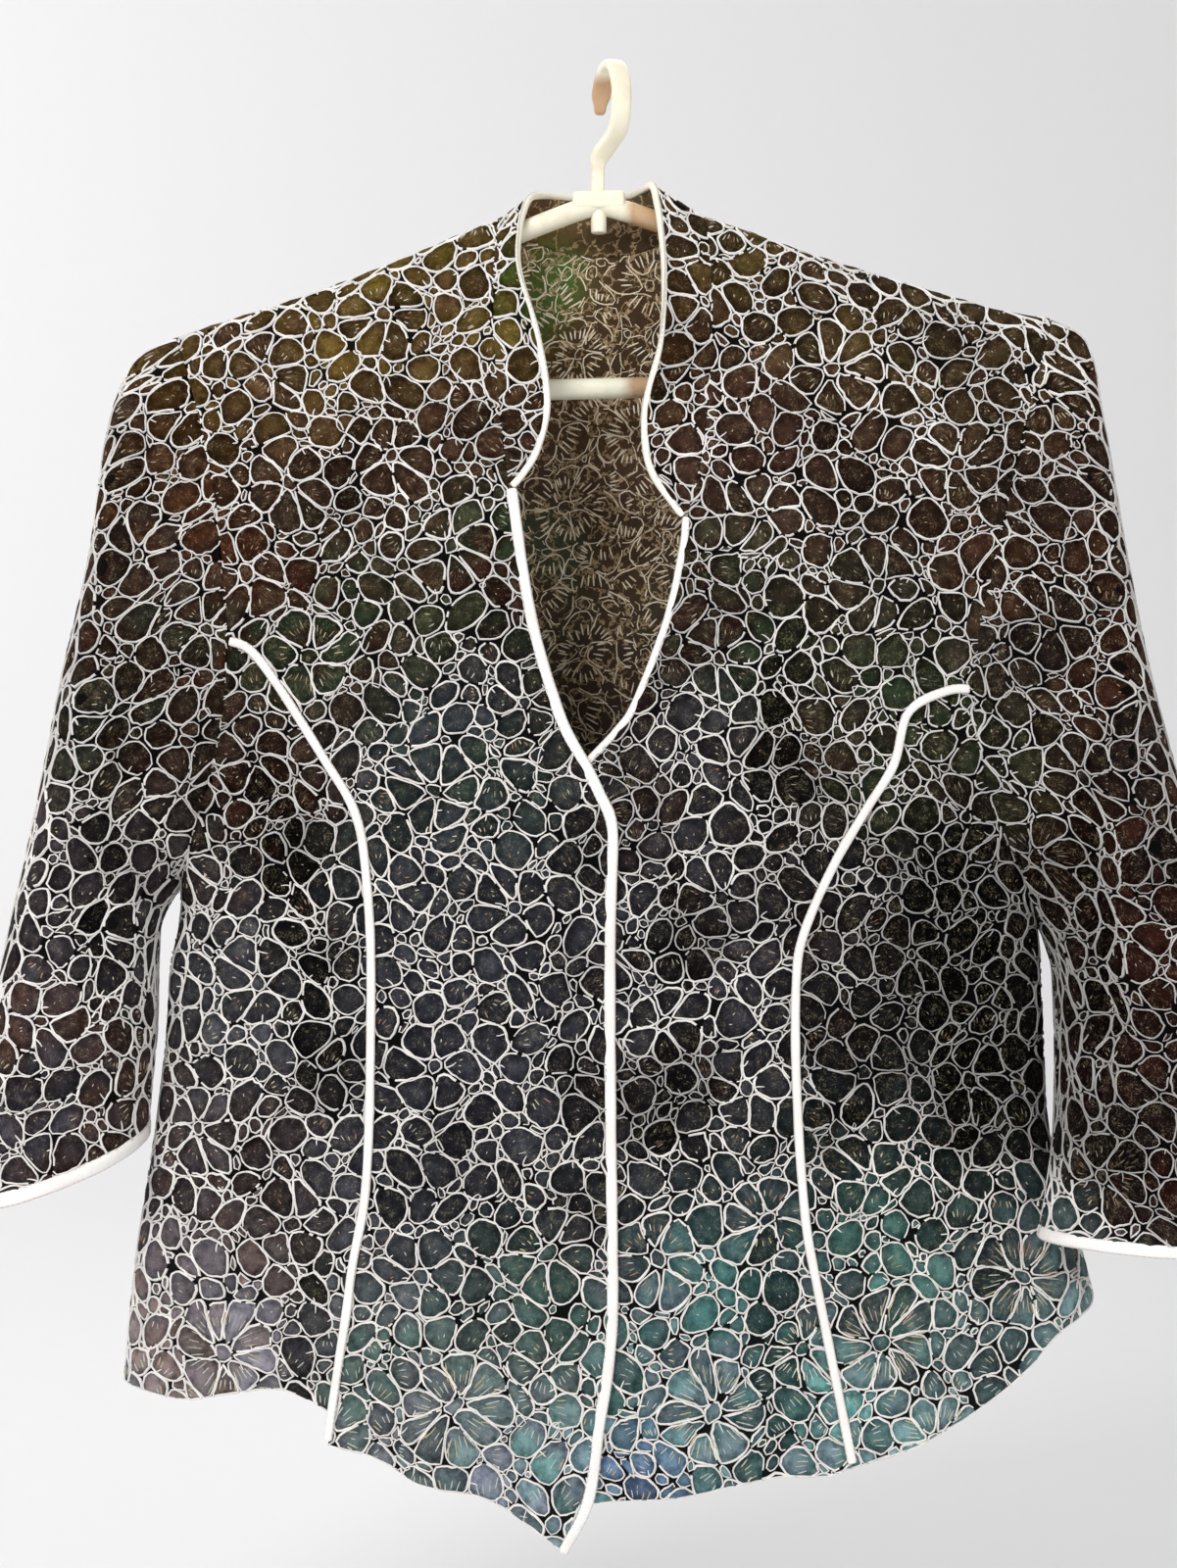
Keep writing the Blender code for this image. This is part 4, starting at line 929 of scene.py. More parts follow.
@dataclass
class ClothGrid:
    """A fine grid on the middle of a cloth, and the flat place of each of its points.

    A flat place is u across and v down the cut, in millimetres.
    """

    points: np.ndarray
    outward: np.ndarray
    tube: bool = False
    flat: Optional[np.ndarray] = None
    rise: Optional[np.ndarray] = None
    normals: np.ndarray = field(init=False)
    tree: KDTree = field(init=False)

    def __post_init__(self) -> None:
        """Works out the normals and the flat places."""
        grid = self.points
        if self.tube:
            padded = np.concatenate([grid[:, -2:-1], grid, grid[:, 1:2]], axis=1)
            round_way = padded[:, 2:] - padded[:, :-2]
        else:
            round_way = np.gradient(grid, axis=1)
        normals = unit(np.cross(np.gradient(grid, axis=0), round_way))
        self.normals = normals * np.sign((normals * self.outward).sum(-1, keepdims=True) + 1e-9)
        if self.flat is None:
            middle = grid.shape[1] // 2
            steps = np.linalg.norm(np.diff(grid, axis=1), axis=2)
            lengths = np.concatenate([np.zeros((len(grid), 1)), np.cumsum(steps, axis=1)], axis=1)
            down = np.repeat(run_lengths(grid[:, middle])[:, None], grid.shape[1], axis=1)
            self.flat = np.stack([lengths - lengths[:, middle:middle + 1], down], axis=-1)
        if self.rise is None:
            self.rise = np.zeros(grid.shape[:2])
        self.tree = KDTree(self.flat[..., 0].size)
        for number, (u, v) in enumerate(self.flat.reshape(-1, 2)):
            self.tree.insert((u, v, 0), number)
        self.tree.balance()

    def size(self) -> tuple[float, float, float]:
        """Returns the flat cut's width and length, and the cloth's area, in metres."""
        a = np.cross(self.points[1:, :-1] - self.points[:-1, :-1], self.points[:-1, 1:] - self.points[:-1, :-1])
        b = np.cross(self.points[1:, :-1] - self.points[1:, 1:], self.points[:-1, 1:] - self.points[1:, 1:])
        area = (np.linalg.norm(a, axis=-1) + np.linalg.norm(b, axis=-1)).sum() / 2
        return (np.ptp(self.flat[..., 0]) * MM, np.ptp(self.flat[..., 1]) * MM, area * MM * MM)

    def is_near(self, u: float, v: float, reach: float) -> bool:
        """Says whether a flat place is on the cut or within reach of it."""
        return self.tree.find((u, v, 0))[2] < reach

    def blend(self, values: np.ndarray, spot: np.ndarray) -> np.ndarray:
        """Reads values of the grid's points at (row, column) spots between them.

        Args:
            values: A value for each point.
            spot: The place or places.

        Returns:
            The values at the spots.
        """
        low = np.minimum(spot.astype(int), np.array(self.flat.shape[:2]) - 2)
        part = spot - low
        row, column = low[:, 0], low[:, 1]
        down, along = part[:, :1], part[:, 1:]
        upper = values[row, column] * (1 - along) + values[row, column + 1] * along
        lower = values[row + 1, column] * (1 - along) + values[row + 1, column + 1] * along
        return upper * (1 - down) + lower * down

    def place(self, wanted: np.ndarray) -> Placed:
        """Puts flat places on the hung cloth, those off the cut at its border.

        Args:
            wanted: The flat places.

        Returns:
            The places on the cloth.
        """
        rows, columns = self.flat.shape[:2]
        last = np.array([rows - 1.0, columns - 1.0])
        nearest = np.array([self.tree.find((u, v, 0))[1] for u, v in wanted])
        spot = np.stack(np.divmod(nearest, columns), axis=1).astype(float)
        by_row, by_column = np.gradient(self.flat, axis=0), np.gradient(self.flat, axis=1)
        for _ in range(4):
            kept = np.clip(spot, 0, last)
            off = wanted - self.blend(self.flat, kept)
            a, b = self.blend(by_row, kept), self.blend(by_column, kept)
            scale = a[:, 0] * b[:, 1] - a[:, 1] * b[:, 0]
            scale = np.where(np.abs(scale) < 0.01, 0.01, scale)
            step_a = off[:, 0] * b[:, 1] - off[:, 1] * b[:, 0]
            step_b = a[:, 0] * off[:, 1] - a[:, 1] * off[:, 0]
            step = np.stack([step_a, step_b], axis=1)
            spot = kept + np.clip(step / scale[:, None], -4, 4)
        inside = ((spot > -0.02) & (spot < last + 0.02)).all(axis=1)
        kept = np.clip(spot, 0, last)
        return Placed(
            self.blend(self.points, kept),
            unit(self.blend(self.normals, kept)),
            inside,
            spot[:, 0] > last[0],
            self.blend(self.rise[..., None], kept)[:, 0],
        )

    def flat_of(self, x: float, z: float) -> tuple[float, float]:
        """Returns the flat place nearest to an (x, z).

        Args:
            x: The place across, one or many.
            z: The height, one or many.

        Returns:
            The flat place.
        """
        off = (self.points[..., 0] - x) ** 2 + (self.points[..., 2] - z) ** 2
        row, column = np.unravel_index(int(np.argmin(off)), off.shape)
        return float(self.flat[row, column, 0]), float(self.flat[row, column, 1])


def level_lengths(points: np.ndarray) -> np.ndarray:
    """Returns flat places of a tube's points: the way round at their own height from the middle column, and down.

    Args:
        points: The tube's grid, its rows running down.

    Returns:
        An array of u, v places.
    """
    middle = points.shape[1] // 2
    drop = -points[..., 2]
    level = [
        np.stack([np.interp(drop, drop[:, k], points[:, k, axis]) for axis in (0, 1)], axis=-1)
        for k in range(points.shape[1])
    ]
    around = np.zeros(drop.shape)
    for k in range(points.shape[1] - 1):
        step = np.linalg.norm(level[k + 1] - level[k], axis=-1)
        if k < middle:
            around[:, :k + 1] -= step[:, :k + 1]
        else:
            around[:, k + 1:] += step[:, k + 1:]
    return np.stack([around, drop], axis=-1)


@dataclass(frozen=True)
class FlatBody:
    """The body's cloth laid flat: the way across and the way down its surface at every (x, z)."""

    reach: float = 262.0
    low: float = -704.0
    high: float = -50.0
    step: float = 2.0

    def flat(self, places: np.ndarray, face: Face) -> np.ndarray:
        """Returns the flat places of an array of (x, z) places.

        Args:
            places: The places.
            face: The front or the back.

        Returns:
            The flat places.
        """
        x = np.arange(-self.reach, self.reach + 1, self.step)
        z = np.arange(self.high, self.low, -self.step)
        depth = SKIN.points(np.stack(np.meshgrid(x, z), axis=-1), face)[..., 1]
        across = np.cumsum(np.hypot(self.step, np.diff(depth, axis=1, prepend=depth[:, :1])), axis=1)
        across -= across[:, len(x) // 2][:, None]
        down = np.cumsum(np.hypot(self.step, np.diff(depth, axis=0, prepend=depth[:1])), axis=0)
        down -= down[-1]
        column = np.clip((places[..., 0] + self.reach) / self.step, 0, len(x) - 1.001)
        row = np.clip((self.high - places[..., 1]) / self.step, 0, len(z) - 1.001)
        i, j = row.astype(int), column.astype(int)
        a, b = row - i, column - j
        both = np.stack([across, down], axis=-1)
        upper = both[i, j] * (1 - b)[..., None] + both[i, j + 1] * b[..., None]
        lower = both[i + 1, j] * (1 - b)[..., None] + both[i + 1, j + 1] * b[..., None]
        return upper * (1 - a)[..., None] + lower * a[..., None]


FLAT_BODY = FlatBody()


def make_mesh(
    name: str,
    points: np.ndarray,
    faces: Iterable[Sequence[int]],
    colours: Optional[dict[str, np.ndarray]] = None,
    threads: Optional[np.ndarray] = None,
) -> bpy.types.Object:
    """Makes an object of points in millimetres.

    Args:
        name: The object's name.
        points: The points.
        faces: The faces, as indices of points.
        colours: Colour attributes by name, one colour a point.
        threads: The thread map, two numbers a point.

    Returns:
        The object, at the origin.
    """
    mesh = bpy.data.meshes.new(name)
    mesh.from_pydata((points * MM).tolist(), [], [list(map(int, face)) for face in faces])
    for label, values in (colours or {}).items():
        layer = mesh.color_attributes.new(label, "FLOAT_COLOR", "POINT")
        solid = np.concatenate([values[:, :3], np.ones((len(values), 1))], axis=1)
        layer.data.foreach_set("color", solid.astype(np.float32).ravel())
    if threads is not None:
        layer = mesh.uv_layers.new(name="threads")
        corner = np.zeros(len(mesh.loops), dtype=np.int32)
        mesh.loops.foreach_get("vertex_index", corner)
        layer.data.foreach_set("uv", threads[corner].astype(np.float32).ravel())
    mesh.shade_smooth()
    thing = bpy.data.objects.new(name, mesh)
    bpy.context.scene.collection.objects.link(thing)
    return thing


def finish_piece(
    thing: bpy.types.Object,
    slot: Slot,
    materials: Sequence[bpy.types.Material],
    replaces: Sequence[str] = (),
) -> bpy.types.Object:
    """Gives a piece its materials and its body, and hides the CAD nodes it stands for.

    Args:
        thing: The object.
        slot: Its material slot; not used.
        materials: Its materials.
        replaces: The CAD nodes it stands for.

    Returns:
        The same object.
    """
    for material in materials:
        thing.data.materials.append(material)
    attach(thing, BODY)
    if replaces:
        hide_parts(*replaces)
    LOG.info("%s: %d faces", thing.name, len(thing.data.polygons))
    return thing


Term = Union["Shade", float]


class Shade:
    """A socket of a material's nodes that takes part in Python expressions."""

    def __init__(self, tree: bpy.types.NodeTree, socket: bpy.types.NodeSocket) -> None:
        """Keeps the tree and the socket."""
        self.tree = tree
        self.socket = socket

    def maths(self, operation: str, *terms: Term) -> "Shade":
        """Adds a Math node and returns its result.

        Args:
            operation: The operation's name.

        Returns:
            The result.
        """
        node = self.tree.nodes.new("ShaderNodeMath")
        node.operation = operation
        for socket, term in zip(node.inputs, terms):
            if isinstance(term, Shade):
                self.tree.links.new(term.socket, socket)
            else:
                socket.default_value = term
        return Shade(self.tree, node.outputs[0])

    def __add__(self, other: Term) -> "Shade":
        """Adds."""
        return self.maths("ADD", self, other)

    def __radd__(self, other: Term) -> "Shade":
        """Adds, with a number in front."""
        return self.maths("ADD", other, self)

    def __sub__(self, other: Term) -> "Shade":
        """Subtracts."""
        return self.maths("SUBTRACT", self, other)

    def __rsub__(self, other: Term) -> "Shade":
        """Subtracts from a number."""
        return self.maths("SUBTRACT", other, self)

    def __mul__(self, other: Term) -> "Shade":
        """Multiplies."""
        return self.maths("MULTIPLY", self, other)

    def __rmul__(self, other: Term) -> "Shade":
        """Multiplies, with a number in front."""
        return self.maths("MULTIPLY", other, self)

    def sine(self) -> "Shade":
        """Returns the sine."""
        return self.maths("SINE", self)

    def above(self, edge: float, soft: float) -> "Shade":
        """Goes from 0 to 1 as the value passes an edge, over a soft width."""
        return self.maths("MULTIPLY", self - (edge - soft / 2), 1 / soft).clamped()

    def clamped(self) -> "Shade":
        """Keeps the value from 0 to 1."""
        return self.maths("MINIMUM", self.maths("MAXIMUM", self, 0.0), 1.0)


class Bench:
    """A new material and its nodes."""

    def __init__(self, name: str) -> None:
        """Makes the material and finds its shader.

        Args:
            name: The name.
        """
        self.material = bpy.data.materials.new(name)
        self.material.use_nodes = True
        self.tree = self.material.node_tree
        self.shader = self.tree.nodes["Principled BSDF"]

    def node(
        self,
        kind: str,
        settings: Optional[dict[str, Any]] = None,
        sockets: Optional[dict[Any, Any]] = None,
        out: Any = 0,
    ) -> Shade:
        """Adds any node.

        Args:
            kind: The node's type.
            settings: Its properties, set first.
            sockets: Values or links of its inputs, by name or number.
            out: The output that is returned.

        Returns:
            That output.
        """
        made = self.tree.nodes.new(kind)
        for key, value in (settings or {}).items():
            setattr(made, key, value)
        for key, value in (sockets or {}).items():
            if isinstance(value, Shade):
                self.tree.links.new(value.socket, made.inputs[key])
            else:
                made.inputs[key].default_value = value
        return Shade(self.tree, made.outputs[out])

    def mix(self, amount: Term, first: Any, second: Any, blend: str = "MIX") -> Shade:
        """Mixes two colours.

        Args:
            amount: The share of the second colour.
            first: The first colour.
            second: The second colour.
            blend: How they mix.

        Returns:
            The mixed colour.
        """
        settings = {"data_type": "RGBA", "blend_type": blend}
        sockets = {0: amount, 6: self.opaque(first), 7: self.opaque(second)}
        return self.node("ShaderNodeMix", settings, sockets, 2)

    @staticmethod
    def opaque(colour: Any) -> Any:
        """Returns a colour with its alpha, or a link as it is."""
        return colour if isinstance(colour, Shade) else (*[float(part) for part in colour], 1.0)

    def noise(self, scale: float, place: Optional[Shade] = None, detail: float = 2.0, rough: float = 0.5) -> Shade:
        """Returns noise in object space, or on another place, with its scale in cycles a metre.

        Args:
            scale: Cycles a metre.
            place: Where it is read, or object space.
            detail: How many octaves it has.
            rough: How strong the finer octaves are.

        Returns:
            The noise.
        """
        place = place or self.node("ShaderNodeTexCoord", out="Object")
        sockets = {"Vector": place, "Scale": scale, "Detail": detail, "Roughness": rough}
        return self.node("ShaderNodeTexNoise", {}, sockets)

    def stretched(self, place: Shade, scale: tuple[float, float, float]) -> Shade:
        """Returns a place scaled along its three ways."""
        return self.node("ShaderNodeVectorMath", {"operation": "MULTIPLY"}, {0: place, 1: scale})

    def bump(self, height: Shade, distance: float, strength: float = 1.0) -> Shade:
        """Returns a normal raised by a height; the distance is in metres."""
        return self.node("ShaderNodeBump", {}, {"Height": height, "Distance": distance, "Strength": strength})

    def set(self, **values: Any) -> None:
        """Sets the shader's own sockets, with _ for a space in their names."""
        for key, value in values.items():
            socket = self.shader.inputs[key.replace("_", " ")]
            if isinstance(value, Shade):
                self.tree.links.new(value.socket, socket)
            else:
                socket.default_value = value


@dataclass(frozen=True)
class GroundFinish:
    """The closed net between the flowers: dark, matt and finely woven."""

    darkness: float = 0.36
    roughness: float = 0.9
    gloss: float = 0.08
    net_pitch: float = 0.9
    seam_colour: tuple[float, float, float] = (0.004, 0.0035, 0.0035)
    fuzz_scale: float = 900.0
    fuzz_part: float = 0.9
    net_part: float = 0.25
    dark_part: float = 0.35
    net_rise: float = 0.6
    map_scale: float = 0.1
    relief: float = 0.00025

    def make(self) -> bpy.types.Material:
        """Returns the material."""
        bench = Bench("lace_ground")
        tint = bench.node("ShaderNodeVertexColor", {"layer_name": "tint"})
        threads = bench.node("ShaderNodeUVMap", {"uv_map": "threads"})
        cycles = math.tau / (self.net_pitch * MM)
        parts = bench.node("ShaderNodeSeparateXYZ", {}, {0: threads})
        down = Shade(bench.tree, parts.socket.node.outputs[1])
        net = (parts * (cycles * self.map_scale)).sine() * (down * (cycles * self.map_scale)).sine()
        fuzz = bench.noise(self.fuzz_scale, detail=3)
        shade = (fuzz * self.fuzz_part + net * self.net_part + self.darkness * self.dark_part).clamped()
        dark = bench.mix(1.0, tint, (self.darkness,) * 3, "MULTIPLY")
        bench.set(
            Base_Color=bench.mix(shade, self.seam_colour, dark),
            Roughness=self.roughness,
            Specular_IOR_Level=self.gloss,
            Normal=bench.bump(net * self.net_rise + fuzz, self.relief),
        )
        return bench.material


@dataclass(frozen=True)
class PetalFinish:
    """The closed fill of the lace's cells: dyed and padded, with painted shade darkening it where it dips to the
    cord.
    """

    roughness: float = 0.9
    gloss: float = 0.04
    edge_shade: float = 0.25
    speck: Srgb = Srgb(206, 190, 150)
    rib_scale: float = 5.0
    rib_stretch: tuple[float, float, float] = (2.2, 0.5, 1.0)
    mottle_scale: float = 240.0
    mottle_rough: float = 0.65
    weave_scale: float = 1300.0
    middle_part: float = 0.9
    mottle_part: float = 2.6
    fleck_level: tuple[float, float] = (0.335, 0.05)
    fleck_part: float = 0.2
    rib_level: tuple[float, float] = (0.6, 0.1)
    relief_parts: tuple[float, float, float] = (0.8, 0.6, 0.7)
    relief: float = 0.0004

    def make(self) -> bpy.types.Material:
        """Returns the material."""
        bench = Bench("lace_petals")
        tint = bench.node("ShaderNodeVertexColor", {"layer_name": "tint"})
        marks = bench.node("ShaderNodeVertexColor", {"layer_name": "cell"})
        cell = bench.node("ShaderNodeSeparateColor", {}, {0: marks})
        paleness = Shade(bench.tree, cell.socket.node.outputs[1])
        middle = Shade(bench.tree, cell.socket.node.outputs[2])
        threads = bench.node("ShaderNodeUVMap", {"uv_map": "threads"})
        # The thread map is in units of 10 mm: across the cell and along it
        ribs = bench.noise(self.rib_scale, bench.stretched(threads, self.rib_stretch), 2)
        mottle = bench.noise(self.mottle_scale, detail=4, rough=self.mottle_rough)
        weave = bench.noise(self.weave_scale, detail=1)
        # Painted shade: the fill darkens from its middle towards the cord, mottled by noise.
        dark = bench.mix(1.0, tint, (self.edge_shade,) * 3, "MULTIPLY")
        depth = (middle * self.middle_part + mottle * self.mottle_part - 1.0).clamped()
        lit = bench.mix(depth, dark, tint)
        rib = ribs.above(*self.rib_level) * middle * paleness * 0.5
        fleck = (mottle * weave).above(*self.fleck_level) * self.fleck_part + rib
        lit = bench.mix(fleck.clamped(), lit, bench.mix(0.5, tint, self.speck.linear()))
        rib_rise, weave_rise, mottle_rise = self.relief_parts
        bench.set(
            Base_Color=lit,
            Roughness=self.roughness,
            Normal=bench.bump(ribs * rib_rise + weave * weave_rise + mottle * mottle_rise, self.relief),
            Specular_IOR_Level=self.gloss,
        )
        return bench.material


@dataclass(frozen=True)
class CordFinish:
    """The off-white cord that outlines the lace, of twisted threads."""

    light: Srgb = Srgb(244, 240, 234)
    grey: Srgb = Srgb(190, 183, 180)
    roughness: float = 0.72
    twist: Srgb = Srgb(250, 248, 245)
    gloss: float = 0.25
    twist_scale: float = 1400.0
    twist_part: float = 0.8
    twist_start: float = 0.05
    patch_scale: float = 120.0
    patch_start: float = 0.55
    relief: float = 0.00025

    def make(self, name: str) -> bpy.types.Material:
        """Returns the material, under the name that is given.

        Args:
            name: The name.

        Returns:
            The material.
        """
        bench = Bench(name)
        twist = bench.noise(self.twist_scale, detail=2)
        patch = bench.noise(self.patch_scale, detail=2)
        colour = bench.mix((patch * 2 - self.patch_start).clamped(), self.grey.linear(), self.light.linear())
        strand = (twist * self.twist_part - self.twist_start).clamped()
        colour = bench.mix(strand, colour, self.twist.linear())
        # On the right side the tint is shade painted on the cords where the ground is near black.
        tint = bench.node("ShaderNodeVertexColor", {"layer_name": "tint"})
        bench.set(
            Base_Color=bench.mix(1.0, colour, tint, "MULTIPLY"),
            Roughness=self.roughness,
            Specular_IOR_Level=self.gloss,
            Normal=bench.bump(twist, self.relief),
        )
        return bench.material


@dataclass(frozen=True)
class ThreadFinish:
    """The loose coloured threads that lie in the petals."""

    roughness: float = 0.7
    twist_scale: float = 900.0
    twist_part: float = 1.4
    twist_start: float = 0.3
    shade: float = 0.4
    relief: float = 0.0002

    def make(self) -> bpy.types.Material:
        """Returns the material."""
        bench = Bench("petal_threads")
        tint = bench.node("ShaderNodeVertexColor", {"layer_name": "tint"})
        twist = bench.noise(self.twist_scale, detail=2)
        lit = (twist * self.twist_part - self.twist_start).clamped()
        bench.set(
            Base_Color=bench.mix(lit, bench.mix(1.0, tint, (self.shade,) * 3, "MULTIPLY"), tint),
            Roughness=self.roughness,
            Normal=bench.bump(twist, self.relief),
        )
        return bench.material


@dataclass(frozen=True)
class WrongSideFinish:
    """The inside of the cloth: the dye shows darker and the cords as fine tan floats."""

    cell: float = 9.0
    tan: Srgb = Srgb(196, 168, 128)
    brown: Srgb = Srgb(80, 58, 22)
    roughness: float = 0.88
    dyed: float = 0.6
    contour_rough: float = 0.6
    line_level: tuple[float, float] = (0.022, 0.02)
    line_part: float = 1.3
    rough_scale: float = 420.0
    rough_part: float = 1.6
    rough_start: float = 0.4
    shade: float = 0.45
    line_rise: float = 0.6
    relief: float = 0.0003

    def make(self) -> bpy.types.Material:
        """Returns the material."""
        bench = Bench("lace_wrong_side")
        tint = bench.node("ShaderNodeVertexColor", {"layer_name": "tint"})
        threads = bench.node("ShaderNodeUVMap", {"uv_map": "threads"})
        contour = bench.noise(MM_PER_CM / self.cell, threads, 3, self.contour_rough)
        line = 1 - contour.maths("ABSOLUTE", contour - 0.5).above(*self.line_level)
        rough = bench.noise(self.rough_scale, detail=4)
        base = bench.mix(self.dyed, self.brown.linear(), tint)
        lit = (rough * self.rough_part - self.rough_start).clamped()
        base = bench.mix(lit, bench.mix(1.0, base, (self.shade,) * 3, "MULTIPLY"), base)
        bench.set(
            Base_Color=bench.mix((line * rough * self.line_part).clamped(), base, self.tan.linear()),
            Roughness=self.roughness,
            Normal=bench.bump(line * self.line_rise + rough, self.relief),
        )
        return bench.material


@dataclass(frozen=True)
class SatinFinish:
    """White satin bias tape, sewn down with a fine stitch, a little dirty in patches, with painted shade on its
    sides and underside.
    """

    white: Srgb = Srgb(250, 247, 243)
    soiled_and_shaded: Srgb = Srgb(222, 200, 190)
    name: str = "satin_binding"
    roughness: float = 0.42
    stitch_pitch: float = 2.6
    stitch_level: tuple[float, float] = (-0.2, 0.5)
    crown: float = 0.25
    row_start: float = 0.165
    row_end: float = 0.205
    row_soft: float = 0.02
    twill_along: float = 70.0
    twill_round: float = 60.0
    twill_rise: float = 0.12
    patch_scale: float = 45.0
    patch_part: float = 2.2
    patch_start: float = 0.9
    worn_part: float = 0.45
    edge_shade_level: tuple[float, float] = (0.2, 0.12)
    edge_shade_part: float = 0.4
    rough_part: float = 0.3
    rough_start: float = 0.12
    pucker_scale: float = 160.0
    pucker_rise: float = 1.2
    sheen: float = 0.25
    relief: float = 0.0005

    def make(self) -> bpy.types.Material:
        """Returns the material."""
        bench = Bench(self.name)
        threads = bench.node("ShaderNodeUVMap", {"uv_map": "threads"})
        place = bench.node("ShaderNodeSeparateXYZ", {}, {0: threads})
        around = Shade(bench.tree, place.socket.node.outputs[1])
        # Along is in centimetres; round goes from 0 to 1 with the crown of the tape at a quarter
        stitch = (place * (math.tau * MM_PER_CM / self.stitch_pitch)).sine().above(*self.stitch_level)
        edge = around.maths("ABSOLUTE", around - self.crown)
        row = edge.above(self.row_start, self.row_soft) * (1 - edge.above(self.row_end, self.row_soft))
        twill = (place * self.twill_along + around * self.twill_round).sine()
        patch = bench.noise(self.patch_scale, detail=3)
        soil_and_edge_shade = (patch * self.patch_part - self.patch_start).clamped() * self.worn_part
        # Painted shade: the tape's sides and underside darken away from its crown; the noise patches above are dirt.
        soil_and_edge_shade = soil_and_edge_shade + edge.above(*self.edge_shade_level) * self.edge_shade_part
        pucker = bench.noise(self.pucker_scale) * self.pucker_rise
        bench.set(
            Base_Color=bench.mix(soil_and_edge_shade.clamped(), self.white.linear(), self.soiled_and_shaded.linear()),
            Roughness=(patch * self.rough_part + self.roughness - self.rough_start),
            Normal=bench.bump(twill * self.twill_rise + row * stitch * -1.0 + pucker, self.relief),
            Sheen_Weight=self.sheen,
        )
        return bench.material


@dataclass(frozen=True)
class PlasticFinish:
    """Cream moulded plastic, yellowing unevenly, with a tan band of painted shade along one axis."""

    name: str
    axis: int
    patch_start: float
    patch_end: float
    cream: Srgb = Srgb(248, 243, 220)
    yellowed_and_shaded: Srgb = Srgb(192, 156, 118)
    roughness: float = 0.34
    patch_soft: float = 0.006
    patch_part: float = 0.95
    cloud_scale: float = 16.0
    cloud_part: float = 2.4
    cloud_start: float = 0.95
    cloud_age: float = 0.3
    speck_scale: float = 260.0
    speck_level: tuple[float, float] = (0.3, 0.1)
    speck_age: float = 0.12
    speck_rise: float = 0.6
    flow_scale: float = 90.0
    flow_stretch: tuple[float, float, float] = (0.3, 1.0, 1.0)
    rough_part: float = 0.25
    rough_start: float = 0.1
    coat: float = 0.15
    depth: float = 0.04
    relief: float = 0.00025

    def make(self) -> bpy.types.Material:
        """Returns the material."""
        bench = Bench(self.name)
        cloud = bench.noise(self.cloud_scale, detail=3)
        speck = bench.noise(self.speck_scale, detail=3)
        spot = bench.node("ShaderNodeTexCoord", out="Object")
        flow = bench.noise(self.flow_scale, bench.stretched(spot, self.flow_stretch), 2)
        place = bench.node("ShaderNodeSeparateXYZ", {}, {0: spot}, self.axis)
        # Painted shade: a tan band along the axis, between patch_start and patch_end.
        patch = place.above(self.patch_start * MM, self.patch_soft)
        patch = patch * (1 - place.above(self.patch_end * MM, self.patch_soft))
        yellowing_and_shade = (cloud * self.cloud_part - self.cloud_start).clamped() * self.cloud_age
        yellowing_and_shade = yellowing_and_shade + (speck * flow).above(*self.speck_level) * self.speck_age + patch * self.patch_part
        bench.set(
            Base_Color=bench.mix(yellowing_and_shade.clamped(), self.cream.linear(), self.yellowed_and_shaded.linear()),
            Roughness=(flow * self.rough_part + self.roughness - self.rough_start),
            Normal=bench.bump(speck * self.speck_rise + flow, self.relief),
            Coat_Weight=self.coat,
            Subsurface_Weight=self.depth,
        )
        return bench.material


@dataclass(frozen=True)
class StudioFinish:
    """The plain pale floor and backdrop."""

    colour: Srgb = Srgb(240, 239, 240)
    grain_colour: tuple[float, float, float] = (0.7, 0.7, 0.7)
    grain_scale: float = 40.0
    grain_part: float = 0.06
    roughness: float = 0.95
    gloss: float = 0.1

    def make(self) -> bpy.types.Material:
        """Returns the material."""
        bench = Bench("studio_paper")
        grain = bench.noise(self.grain_scale, detail=3)
        bench.set(
            Base_Color=bench.mix(grain * self.grain_part, self.colour.linear(), self.grain_colour),
            Roughness=self.roughness,
            Specular_IOR_Level=self.gloss,
        )
        return bench.material


@dataclass
class Wardrobe:
    """All the finishes, made once."""

    ground: bpy.types.Material = field(default_factory=lambda: GroundFinish().make())
    petals: bpy.types.Material = field(default_factory=lambda: PetalFinish().make())
    cord: bpy.types.Material = field(default_factory=lambda: CordFinish().make("lace_cord"))
    float_cord: bpy.types.Material = field(
        default_factory=lambda: CordFinish(
            light=Srgb(255, 246, 224), grey=Srgb(222, 196, 154), roughness=0.85, twist=Srgb(255, 248, 230)
        ).make("wrong_side_floats")
    )
    thread: bpy.types.Material = field(default_factory=lambda: ThreadFinish().make())
    wrong: bpy.types.Material = field(default_factory=lambda: WrongSideFinish().make())
    satin: bpy.types.Material = field(default_factory=lambda: SatinFinish().make())
    collar_satin: bpy.types.Material = field(
        default_factory=lambda: SatinFinish(Srgb(255, 252, 240), Srgb(236, 226, 204), "collar_satin").make()
    )
    # Painted shade: the tan band on the hanger's arm at +X, under the collar.
    hanger: bpy.types.Material = field(
        default_factory=lambda: PlasticFinish("hanger_plastic_cream", 0, 8, 60).make()
    )
    # Painted shade and yellowing: the tan band on the inner face of the hook's far arc.
    hook: bpy.types.Material = field(
        default_factory=lambda: PlasticFinish("hook_plastic_cream", 1, 7, 40).make()
    )


class Part(Enum):
    """What a cell of the lace is."""

    HEART = 0
    PETAL = 1
    FIELD = 2


@dataclass
class Seed:
    """The middle of a cell of the lace, on the flat cut."""

    u: float
    v: float
    radius: float
    part: Part
    axis: float
    paleness: float
    pull: float


class FlowerSpot(NamedTuple):
    """A listed flower on the hung cloth."""

    x: float
    z: float
    petals: int
    reach: float
    paleness: float


